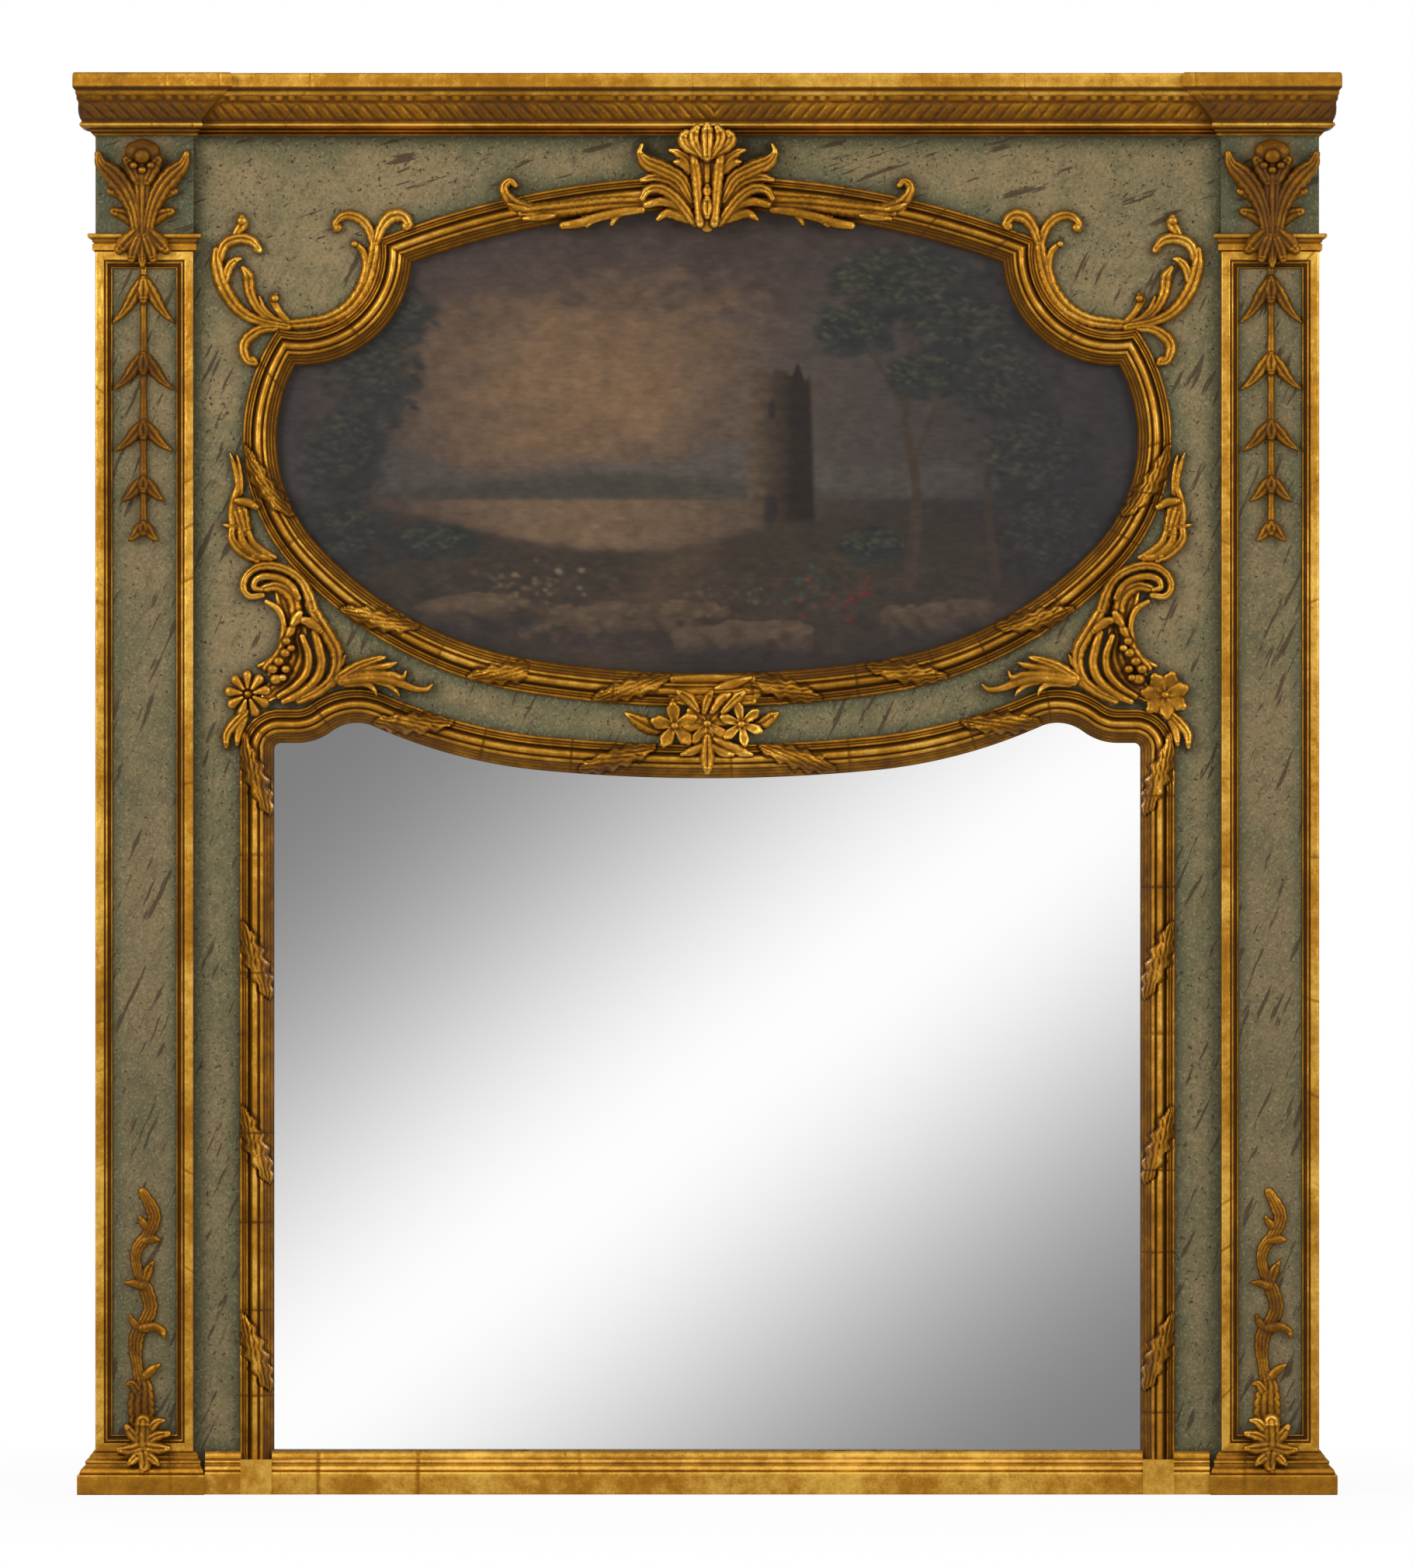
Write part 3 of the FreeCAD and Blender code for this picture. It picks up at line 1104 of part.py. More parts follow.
CORNER_LEAF = [
    (14, [(-594, 1008, 10), (-608, 994, 16), (-619, 979, 13), (-620, 963, 7)]),
    (12, [(-596, 1000, 10), (-604, 983, 12), (-606, 966, 6)]),
]
CENTRE_FLOWERS = [
    (13, [(-58, 984, 14), (-76, 990, 22), (-92, 998, 17), (-105, 1006, 5)]),
    (12, [(58, 988, 12), (72, 994, 18), (84, 1002, 16), (90, 1006, 7)]),
    (27, [(0, 975, 12), (0, 950, 22), (0, 931, 9)]),
    (24, [(4, 968, 8), (-18, 958, 12), (-33, 953, 5)]),
    (24, [(-2, 968, 8), (20, 956, 12), (33, 953, 5)]),
    (24, [(10, 972, 8), (32, 962, 13), (46, 956, 12), (57, 953, 5)]),
    (24, [(-12, 1010, 8), (-24, 1025, 17), (-38, 1034, 8)]),
    (24, [(-4, 1008, 8), (0, 1022, 15), (5, 1033, 8)]),
    (24, [(6, 1008, 8), (18, 1024, 14), (28, 1030, 7)]),
    (24, [(20, 1008, 8), (36, 1024, 15), (47, 1033, 8)]),
] + flower((0, 993), 8, 28, 15, 16, 10) + flower((-42, 990), 5, 27, 20, 14, 95) \
  + flower((44, 992), 6, 26, 14, 14, 40)
CLASP = [
    (20, [(-44, 1050, 10), (0, 1051, 12), (58, 1050, 10)]),
    (17, [(-42, 1035, 28), (10, 1036, 30), (58, 1035, 28)]),
    (15, [(-42, 1022, 14), (10, 1022, 16), (58, 1022, 14)]),
    (23, [(11, 1038, 6), (32, 1044, 14), (56, 1052, 5)]),
]
CAPITAL_SIDE = [
    (22, [(-733, 1625, 14), (-739, 1655, 18), (-750, 1680, 24), (-765, 1699, 24), (-779, 1712, 15),
          (-784, 1726, 8)]),
    (14, [(-738, 1660, 12), (-754, 1672, 11), (-769, 1678, 8)]),
    (15, [(-738, 1638, 14), (-750, 1648, 16), (-764, 1652, 10)]),
    (20, [(-733, 1628, 12), (-747, 1613, 20), (-757, 1603, 12)]),
    (22, [(-731, 1620, 12), (-738, 1602, 15), (-741, 1590, 9)]),
    (21, [(-733, 1690, 12), (-741, 1708, 17), (-747, 1718, 12)]),
]
CAPITAL_MIDDLE = [
    (24, [(-727, 1582, 7), (-727, 1595, 16), (-727, 1625, 20), (-727, 1660, 22), (-727, 1700, 28),
          (-727, 1712, 30)]),
    (29, [(-740, 1713, 12), (-743, 1725, 16), (-738, 1736, 8)]),
    (32, [(-728, 1708, 14), (-728, 1725, 20), (-728, 1741, 10)]),
    (29, [(-716, 1713, 12), (-713, 1725, 16), (-718, 1736, 8)]),
]
BELLS = [(1566, 38, 56), (1468, 37, 44), (1380, 35, 35), (1308, 26, 28), (1250, 18, 21)]
BELL_AXIS = -726
DROP_TOP = 1580


def bellflowers():
    """A drop of bellflowers on one stem, each smaller than the one above."""
    x = BELL_AXIS
    strokes = []
    stem_from = DROP_TOP
    for top, spread, drop in BELLS:
        strokes.append((7, [(x, stem_from, 8), (x, (stem_from + top) / 2, 7), (x, top - 6, 9)]))
        for side in (LEFT, RIGHT):
            strokes.append((10, [
                (x + side * 2, top, 8), (x + side * 0.3 * spread, top - 0.35 * drop, 14),
                (x + side * 0.62 * spread, top - 0.72 * drop, 10), (x + side * spread, top - drop, 3)]))
        strokes.append((12, [(x, top + 1, 6), (x, top - 0.25 * drop, 16), (x, top - 0.5 * drop, 9)]))
        stem_from = top - 0.4 * drop
    return strokes


LEAF_STEM = [
    (9, [(-727, 390, 9), (-716, 370, 13), (-712, 355, 13), (-720, 335, 12), (-733, 318, 12),
         (-736, 300, 10), (-730, 280, 11), (-722, 262, 14), (-717, 240, 14), (-724, 222, 14),
         (-734, 205, 15), (-736, 185, 13), (-733, 160, 11), (-728, 140, 20), (-729, 115, 26),
         (-728, 88, 24)]),
    (10, [(-728, 326, 8), (-714, 329, 9), (-705, 328, 3)]),
    (8, [(-719, 342, 9), (-727, 351, 8), (-731, 358, 3)]),
    (9, [(-724, 274, 8), (-720, 288, 11), (-714, 299, 4)]),
    (10, [(-726, 268, 10), (-738, 272, 8), (-749, 273, 3)]),
    (8, [(-732, 214, 9), (-739, 222, 8), (-743, 231, 3)]),
    (11, [(-728, 214, 10), (-712, 216, 9), (-701, 210, 7), (-699, 202, 3)]),
    (9, [(-726, 150, 10), (-716, 160, 9), (-706, 167, 4)]),
    (10, [(-733, 132, 12), (-741, 143, 8), (-748, 142, 3)]),
]
FOOT_SHELL = [
    (26, [(-726, 56, 22), (-724, 40, 20), (-727, 31, 8)]),
    (24, [(-728, 62, 20), (-742, 58, 18), (-757, 58, 8)]),
    (25, [(-722, 62, 20), (-708, 60, 18), (-694, 60, 8)]),
    (22, [(-730, 68, 18), (-740, 78, 16), (-747, 88, 8)]),
    (22, [(-722, 68, 18), (-708, 76, 16), (-694, 79, 8)]),
    (23, [(-727, 60, 26), (-727, 76, 26), (-726, 94, 22)]),
    (22, [(-718, 84, 16), (-708, 94, 12), (-699, 96, 5)]),
    (24, [(-734, 50, 16), (-740, 44, 12), (-744, 40, 6)]),
    (24, [(-719, 50, 16), (-711, 44, 12), (-707, 40, 6)]),
]
# Leaves wrapped over the mouldings: middle heights on the stiles, and on each shaped
# moulding the ends of the leaf's middle line.
STILE_LEAVES = [183, 450, 688, 925]
TOP_LEAVES = [((-418, 1008), (-340, 975)), ((-148, 960), (-84, 938)),
              ((418, 1008), (340, 975)), ((148, 960), (84, 938))]
PICTURE_LEAVES = [((-470, 1146), (-392, 1106)), ((-300, 1068), (-215, 1052)),
                  ((-130, 1045), (-62, 1034)), ((-588, 1345), (-548, 1255))]
LEAF_BREADTH = 34


# Where the carver's drawings have their seats.
DRAWN_PILASTER_CENTRE = 725
DRAWN_CAP_TOP = 1624
DRAWN_PILASTER_TOP = 1601
DRAWN_PLINTH_HEIGHT = 55
DRAWN_NOTCH = (524.5, 1598.7)
DRAWN_PICTURE_TOP = 1655
DRAWN_PICTURE_SIDE = 555
DRAWN_PICTURE_FOOT = 1058
DRAWN_MIRROR_CORNER = (559, 968)

PILASTER_SHIFT = DRAWN_PILASTER_CENTRE - size("pilaster_centre")
CAPITAL_SHIFT = (PILASTER_SHIFT, CAP_TOP - DRAWN_CAP_TOP)
DROP_SHIFT = (PILASTER_SHIFT, size("pilaster_top") - DRAWN_PILASTER_TOP)
FOOT_SHIFT = (PILASTER_SHIFT, size("plinth_height") - DRAWN_PLINTH_HEIGHT)
NOTCH_SHIFT = (DRAWN_NOTCH[0] - size("notch_side"), size("notch_height") - DRAWN_NOTCH[1])
CREST_SHIFT = (0, size("picture_top") - DRAWN_PICTURE_TOP)
SIDE_SHIFT = (DRAWN_PICTURE_SIDE - size("picture_side"), 0)
CORNER_SHIFT = (DRAWN_MIRROR_CORNER[0] - size("sight_half_width"),
                size("sight_corner") - DRAWN_MIRROR_CORNER[1])
MIDDLE_SHIFT = (0, size("picture_foot") - DRAWN_PICTURE_FOOT)
CLASP_LEFT = -45
CLASP_RIGHT = 60
CLASP_GROUND = 12
CUTTER_REACH = 60
STILE_LEAF_HALF = 45
STILE_LEAF_OUTER = 38
STILE_LEAF_INNER = 8


def clasp_gap():
    """The break in the foot of the picture moulding that the clasp fills."""
    foot = size("picture_foot")
    return box_shape(CLASP_LEFT, CLASP_RIGHT, FIELD_DEPTH + CLASP_GROUND, TOTAL_DEPTH,
                     foot - size("moulding_width") - 2, foot + 2)


def leaf_cutter(line):
    """A pointed leaf outline, much taller than the moulding, about a middle line."""
    (x_one, z_one), (x_two, z_two) = line
    run = math.hypot(x_two - x_one, z_two - z_one)
    across = (-(z_two - z_one) / run * LEAF_BREADTH / 2, (x_two - x_one) / run * LEAF_BREADTH / 2)
    corners = []
    for share, breadth in ((0, 0.1), (0.3, 1), (0.7, 1), (1, 0.1), (0.7, -1), (0.3, -1)):
        x = x_one + share * (x_two - x_one) + breadth * across[0]
        z = z_one + share * (z_two - z_one) + breadth * across[1]
        corners.append(point(x, FIELD_DEPTH, z))
    return polygon_face(corners).extrude(FreeCAD.Vector(0, -CUTTER_REACH, 0))


def picture_leaf_shapes():
    ring = moulding_along(picture_edges, WRAP_SECTION, True)
    lines = PICTURE_LEAVES + [((-a[0], a[1]), (-b[0], b[1])) for a, b in PICTURE_LEAVES]
    return ring.common(Part.makeCompound([leaf_cutter(line) for line in lines]))


def mirror_leaf_shapes():
    band = moulding_along(mirror_top_edges, WRAP_SECTION, False)
    top_leaves = band.common(Part.makeCompound([leaf_cutter(line) for line in TOP_LEAVES]))
    inner = size("sight_half_width")
    foot = size("block_height")
    corners = [point(-inner - u, FIELD_DEPTH + v, foot) for u, v in WRAP_SECTION]
    band = polygon_face(corners).extrude(FreeCAD.Vector(0, 0, size("sight_corner") - foot))
    lines = [((-inner - STILE_LEAF_OUTER, middle + STILE_LEAF_HALF),
              (-inner - STILE_LEAF_INNER, middle - STILE_LEAF_HALF)) for middle in STILE_LEAVES]
    stile_leaves = band.common(Part.makeCompound([leaf_cutter(line) for line in lines]))
    return Part.makeCompound(top_leaves.Solids + stile_leaves.Solids
                             + mirrored(stile_leaves, RIGHT).Solids)


picture_shape = picture_moulding.cut(clasp_gap())
keep("picture_moulding", add_shape("picture_moulding", picture_shape))
clasp = carving(CLASP, FIELD_DEPTH, MIDDLE_SHIFT, [picture_shape])
keep("picture_clasp", add_shape("picture_clasp", clasp))
picture_leaves = picture_leaf_shapes()
keep("picture_leaves", add_shape("picture_leaves", picture_leaves))
mirror_leaves = mirror_leaf_shapes()
keep("mirror_leaves", add_shape("mirror_leaves", mirror_leaves))


def moulding_seats():
    """Plain shapes just clear of the reeds of the picture, mirror top and left stile."""
    picture = moulding_along(picture_edges, SEAT_SECTION, True)
    top = moulding_along(mirror_top_edges, SEAT_SECTION, False)
    inner = size("sight_half_width")
    foot = size("block_height")
    corners = [point(-inner - u, FIELD_DEPTH + v, foot) for u, v in SEAT_SECTION]
    reach = size("sight_corner") + size("moulding_width") - foot
    stile = polygon_face(corners).extrude(FreeCAD.Vector(0, 0, reach))
    return picture, top, stile


picture_seat, top_seat, left_stile_seat = moulding_seats()
LEFT_SEATS = [picture_seat, top_seat, left_stile_seat]


def keep_pair(base_name, shape):
    for side_name, side in SIDES:
        name = "%s_%s" % (base_name, side_name)
        keep(name, add_shape(name, mirrored(shape, side)))


crest = carving(CREST_MIDDLE + CREST_HALF + mirrored_strokes(CREST_HALF, 0), FIELD_DEPTH,
                CREST_SHIFT, [picture_seat, cornice_main_shape])
keep("crest", add_shape("crest", crest))
keep_pair("crest_branch", carving(CREST_BRANCH, FIELD_DEPTH, CREST_SHIFT, [picture_seat, crest]))
keep_pair("upper_scroll", carving(UPPER_SCROLL, FIELD_DEPTH, NOTCH_SHIFT, [picture_seat]))
bracket = carving(LOWER_BRACKET, FIELD_DEPTH, CORNER_SHIFT, LEFT_SEATS)
keep_pair("lower_bracket", bracket)
keep_pair("side_leaf", carving(SIDE_LEAF, FIELD_DEPTH, SIDE_SHIFT,
                               [picture_seat, picture_leaves, bracket]))
left_rosette = carving(LEFT_ROSETTE + CORNER_LEAF, FIELD_DEPTH, CORNER_SHIFT, LEFT_SEATS + [bracket])
right_shift = (-CORNER_SHIFT[0], CORNER_SHIFT[1])
right_cutters = [mirrored(left_stile_seat, RIGHT), mirrored(bracket, RIGHT)]
right_rosette = carving(RIGHT_ROSETTE + mirrored_strokes(CORNER_LEAF, 0), FIELD_DEPTH, right_shift,
                        right_cutters + [top_seat, picture_seat])
keep("rosette_left", add_shape("rosette_left", left_rosette))
keep("rosette_right", add_shape("rosette_right", right_rosette))
keep("centre_flowers", add_shape("centre_flowers", carving(
    CENTRE_FLOWERS, FIELD_DEPTH, MIDDLE_SHIFT,
    [picture_seat, clasp, picture_leaves, top_seat, mirror_leaves])))

frame_face = PILASTER_DEPTH
left_frame_shape = pieces["pilaster_frame_left"].Shape
capital = CAPITAL_MIDDLE + CAPITAL_SIDE + mirrored_strokes(CAPITAL_SIDE, -727)
capital_shape = carving(capital, frame_face, CAPITAL_SHIFT, [left_cap, left_frame_shape])
keep_pair("capital_leaf", capital_shape)
keep_pair("bellflower_drop", carving(bellflowers(), frame_face, DROP_SHIFT,
                                     [left_frame_shape, capital_shape]))
foot_shape = carving(FOOT_SHELL, frame_face, FOOT_SHIFT, [left_plinth, left_frame_shape])
stem_shape = carving(LEAF_STEM, frame_face, FOOT_SHIFT, [foot_shape])
for side_name, side in SIDES:
    stem = stem_shape.copy()
    if side == RIGHT:
        stem.translate(FreeCAD.Vector(2 * size("pilaster_centre"), 0, 0))
    spray = Part.makeCompound([stem, mirrored(foot_shape, side)])
    keep("leaf_stem_" + side_name, add_shape("leaf_stem_" + side_name, spray))

# ---------------------------------------------------------------------------------------
# Check every object, then write the pieces
# ---------------------------------------------------------------------------------------
document.recompute()


def check_document():
    for feature in document.Objects:
        for state in ("Invalid", "Error"):
            if state in feature.State:
                raise RuntimeError("%s is %s" % (feature.Label, state))
    for name, feature in pieces.items():
        shape = feature.Shape
        if shape.isNull() or not shape.isValid() or shape.Volume <= 0:
            raise RuntimeError("the shape of %s is not sound" % name)


check_document()
os.makedirs("parts", exist_ok=True)
for name, feature in pieces.items():
    feature.Shape.exportStep("parts/%s.step" % name)
whole = Part.makeCompound([feature.Shape for feature in pieces.values()])
box = whole.BoundBox
for name, feature in pieces.items():
    print("%s: %d solid(s)" % (name, len(feature.Shape.Solids)))
print("pieces %d, width %.1f, depth %.1f, height %.1f" % (len(pieces), box.XLength, box.YLength,
                                                         box.ZLength))
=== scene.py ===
import math
import bpy
import numpy as np
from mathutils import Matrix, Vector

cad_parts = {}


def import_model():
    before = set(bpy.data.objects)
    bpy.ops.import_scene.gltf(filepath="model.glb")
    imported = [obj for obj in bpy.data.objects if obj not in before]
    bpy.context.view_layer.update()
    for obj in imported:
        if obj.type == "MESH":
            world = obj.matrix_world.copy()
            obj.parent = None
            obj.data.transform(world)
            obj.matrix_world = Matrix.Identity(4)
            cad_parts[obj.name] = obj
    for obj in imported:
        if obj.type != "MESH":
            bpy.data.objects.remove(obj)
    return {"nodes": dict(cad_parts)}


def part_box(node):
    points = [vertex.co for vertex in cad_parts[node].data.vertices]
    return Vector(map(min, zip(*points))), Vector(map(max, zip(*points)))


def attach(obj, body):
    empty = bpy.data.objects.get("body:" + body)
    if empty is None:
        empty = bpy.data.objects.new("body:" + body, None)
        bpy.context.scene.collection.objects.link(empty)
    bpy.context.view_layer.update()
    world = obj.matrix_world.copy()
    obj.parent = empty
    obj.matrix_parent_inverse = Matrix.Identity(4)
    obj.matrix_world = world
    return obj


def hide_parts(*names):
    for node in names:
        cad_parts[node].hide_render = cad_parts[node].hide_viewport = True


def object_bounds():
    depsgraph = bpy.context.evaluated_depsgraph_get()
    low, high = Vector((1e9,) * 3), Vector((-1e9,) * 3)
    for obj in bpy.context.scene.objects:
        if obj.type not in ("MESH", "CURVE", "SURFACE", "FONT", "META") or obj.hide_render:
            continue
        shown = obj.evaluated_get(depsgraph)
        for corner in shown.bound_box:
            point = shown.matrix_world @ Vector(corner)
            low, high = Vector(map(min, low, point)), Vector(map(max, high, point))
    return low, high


# A trumeau mirror: gilt carvings and mouldings, sage paint rubbed and worn, a painted canvas
# and a mirror glass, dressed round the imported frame. Drawings are in millimetres as
# (x, depth from the wall, z) and turned into metres when a mesh is made.

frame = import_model()
cad_low, cad_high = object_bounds()
nodes = frame["nodes"]

MM = 0.001
WALL_Y = cad_high[1] / MM
FIELD_DEPTH, PILASTER_DEPTH, CANVAS_DEPTH = [
    WALL_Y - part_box(name)[0][1] / MM for name in ("field_panel", "pilaster_board_left", "painting_canvas")]
PILASTER_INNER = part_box("pilaster_board_right")[0][0] / MM
PILASTER_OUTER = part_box("pilaster_board_right")[1][0] / MM
PILASTER_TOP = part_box("pilaster_board_left")[1][2] / MM
CORNICE_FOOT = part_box("cornice_main")[0][2] / MM
PLINTH_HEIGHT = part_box("plinth_left")[1][2] / MM
MIRROR_TOP = cad_high[2] / MM
PILASTER_CENTRE = (PILASTER_INNER + PILASTER_OUTER) / 2
LEFT = -1
RIGHT = 1
SIDES = (("left", LEFT), ("right", RIGHT))


# ---------------------------------------------------------------------------------------
# Camera, seen from the photograph's place, and the room
# ---------------------------------------------------------------------------------------
PHOTO_WIDTH = 1820
PHOTO_HEIGHT = 2020
PHOTO_MIDDLE_X = 911
PHOTO_FLOOR_ROW = 1925
CAMERA_DISTANCE = 20000
SENSOR = 36

# One pixel of the photograph is one millimetre at the pilasters' faces.
camera_x = PHOTO_WIDTH / 2 - PHOTO_MIDDLE_X
camera_z = PHOTO_FLOOR_ROW - PHOTO_HEIGHT / 2
camera_data = bpy.data.cameras.new("camera")
camera = bpy.data.objects.new("camera", camera_data)
bpy.context.scene.collection.objects.link(camera)
bpy.context.scene.camera = camera
camera_data.sensor_fit = "AUTO"
camera_data.sensor_width = SENSOR
camera_data.lens = SENSOR * CAMERA_DISTANCE / PHOTO_HEIGHT
camera.location = (camera_x * MM, (WALL_Y - PILASTER_DEPTH - CAMERA_DISTANCE) * MM, camera_z * MM)
camera.rotation_euler = (math.pi / 2, 0, 0)

bpy.context.scene.view_settings.view_transform = "Standard"


# ---------------------------------------------------------------------------------------
# Node helpers
# ---------------------------------------------------------------------------------------
class Graph:
    """Builds one material, or the world, as a small graph of nodes."""

    def __init__(self, tree):
        self.tree = tree
        tree.nodes.clear()

    def node(self, kind, links=(), **settings):
        made = self.tree.nodes.new(kind)
        for key, value in settings.items():
            setattr(made, key, value)
        for socket, value in dict(links).items():
            self.set(made, socket, value)
        return made

    def set(self, made, socket, value):
        target = made.inputs[socket]
        if hasattr(value, "is_output"):
            self.tree.links.new(value, target)
        else:
            target.default_value = value

    def math(self, operation, first, second=0.0, clamp=False):
        made = self.node("ShaderNodeMath", {0: first, 1: second}, operation=operation)
        made.use_clamp = clamp
        return made.outputs[0]

    def scaled(self, value, factor, offset=0.0):
        """The value times a factor, plus an offset where there is one."""
        if not offset:
            return self.math("MULTIPLY", value, factor)
        made = self.math("MULTIPLY_ADD", value, factor)
        made.node.inputs[2].default_value = offset
        return made

    def around(self, total, value, weight, clamp=False):
        """The total moved up or down by noise about its middle."""
        return self.math("ADD", total, self.scaled(self.math("SUBTRACT", value, 0.5), weight), clamp)

    def opposite(self, share):
        return self.math("SUBTRACT", 1.0, share)

    def between(self, value, low, high):
        """The value's share of the way from low to high, from 0 to 1."""
        made = self.node("ShaderNodeMapRange", {0: value, 1: low, 2: high})
        return made.outputs[0]

    def mix(self, share, first, second, blend="MIX"):
        made = self.node("ShaderNodeMix", data_type="RGBA", blend_type=blend)
        for socket, value in ((0, share), (6, first), (7, second)):
            self.set(made, socket, value)
        return made.outputs[2]

    def layer(self, colour, share, strength, over):
        """A flat colour laid over another, by a share times a strength."""
        return self.mix(self.scaled(share, strength), colour, (*over, 1))

    def place(self):
        return self.node("ShaderNodeTexCoord").outputs["Object"]

    def noise(self, scale, detail=3.0, rough=0.55, stretch=(1, 1, 1), turn=(0, 0, 0)):
        """Noise on the object's own coordinates, scale in features per metre."""
        mapping = self.node("ShaderNodeMapping", {"Vector": self.place(), "Rotation": turn,
                                                  "Scale": tuple(1 / s for s in stretch)},
                            vector_type="TEXTURE")
        made = self.node("ShaderNodeTexNoise", {"Vector": mapping.outputs[0], "Scale": scale,
                                                "Detail": detail, "Roughness": rough})
        return made.outputs["Fac"]

    def attribute(self, name):
        return self.node("ShaderNodeAttribute", attribute_name=name).outputs["Fac"]

    def ramp(self, value, stops):
        made = self.node("ShaderNodeValToRGB", {"Fac": value})
        band = made.color_ramp
        while len(band.elements) < len(stops):
            band.elements.new(0.5)
        for element, (place, colour) in zip(band.elements, stops):
            element.position = place
            element.color = (*colour, 1)
        return made.outputs["Color"]

    def bump(self, height, strength, distance):
        made = self.node("ShaderNodeBump", {"Height": height, "Strength": strength,
                                            "Distance": distance})
        return made.outputs["Normal"]


def finished(made, graph, shader, inputs):
    """The material with its shader's inputs filled in."""
    for socket, value in inputs.items():
        graph.set(shader, socket, value)
    return made


def material(name):
    made = bpy.data.materials.new(name)
    made.use_nodes = True
    graph = Graph(made.node_tree)
    shader = graph.node("ShaderNodeBsdfPrincipled")
    graph.node("ShaderNodeOutputMaterial", {"Surface": shader.outputs[0]})
    return made, graph, shader


# ---------------------------------------------------------------------------------------
# Materials
# ---------------------------------------------------------------------------------------
UMBER = (0.050, 0.018, 0.0015)
BRONZE = (0.150, 0.058, 0.005)
GOLD = (0.44, 0.195, 0.016)
BRIGHT_GOLD = (0.90, 0.53, 0.090)
BOLE = (0.14, 0.042, 0.014)


def gilding(name, wear, lustre):
    """Old water gilding: brown in the hollows, partly patina and partly painted shade, and bright on the
    crests, a painted highlight, with worn specks.
    """
    made, graph, shader = material(name)
    grain = graph.noise(70, 4)
    specks = graph.noise(330, 3)
    # A high hollow value darkens the tone as painted shade; a low one lights the crests as a painted
    # highlight.
    tone = graph.scaled(graph.attribute("hollow"), -0.90, lustre)
    tone = graph.around(tone, graph.noise(9, 4), 0.8)
    tone = graph.around(tone, grain, 0.5)
    tone = graph.around(tone, specks, 0.3, clamp=True)
    colour = graph.ramp(tone, [(0, UMBER), (0.32, BRONZE), (0.68, GOLD), (1, BRIGHT_GOLD)])
    worn = graph.between(graph.noise(150, 5, 0.7), 0.66 - wear, 0.70 - wear)
    metal = graph.scaled(graph.between(tone, 0.0, 0.45), 0.86)
    fine = graph.math("ADD", graph.scaled(grain, 0.8), graph.scaled(specks, 0.35))
    return finished(made, graph, shader, {
        "Base Color": graph.layer(colour, worn, 0.75, BOLE),
        "Metallic": graph.math("MULTIPLY", metal, graph.opposite(worn)),
        "Roughness": graph.scaled(tone, -0.30, 0.62),
        "Specular IOR Level": 0.15,
        "Normal": graph.bump(fine, 0.5, 0.0012)})


SAGE = (0.122, 0.113, 0.054)
BEIGE = (0.215, 0.160, 0.076)
TEAL = (0.082, 0.096, 0.050)
DARK_STREAK = (0.050, 0.032, 0.017)
TOP_ZONE = 1.60
STROKE_STRETCH = (1, 1, 0.13)


def board_edge(graph, across, middle, near, far, rim, arris):
    """From 0 to 1 towards the edges of a pair of boards' faces, but 0 round on their sides."""
    from_middle = graph.math("ABSOLUTE", graph.math("SUBTRACT", graph.math("ABSOLUTE", across), middle))
    return graph.math("MULTIPLY", graph.between(from_middle, near, far),
                      graph.between(from_middle, rim, arris))


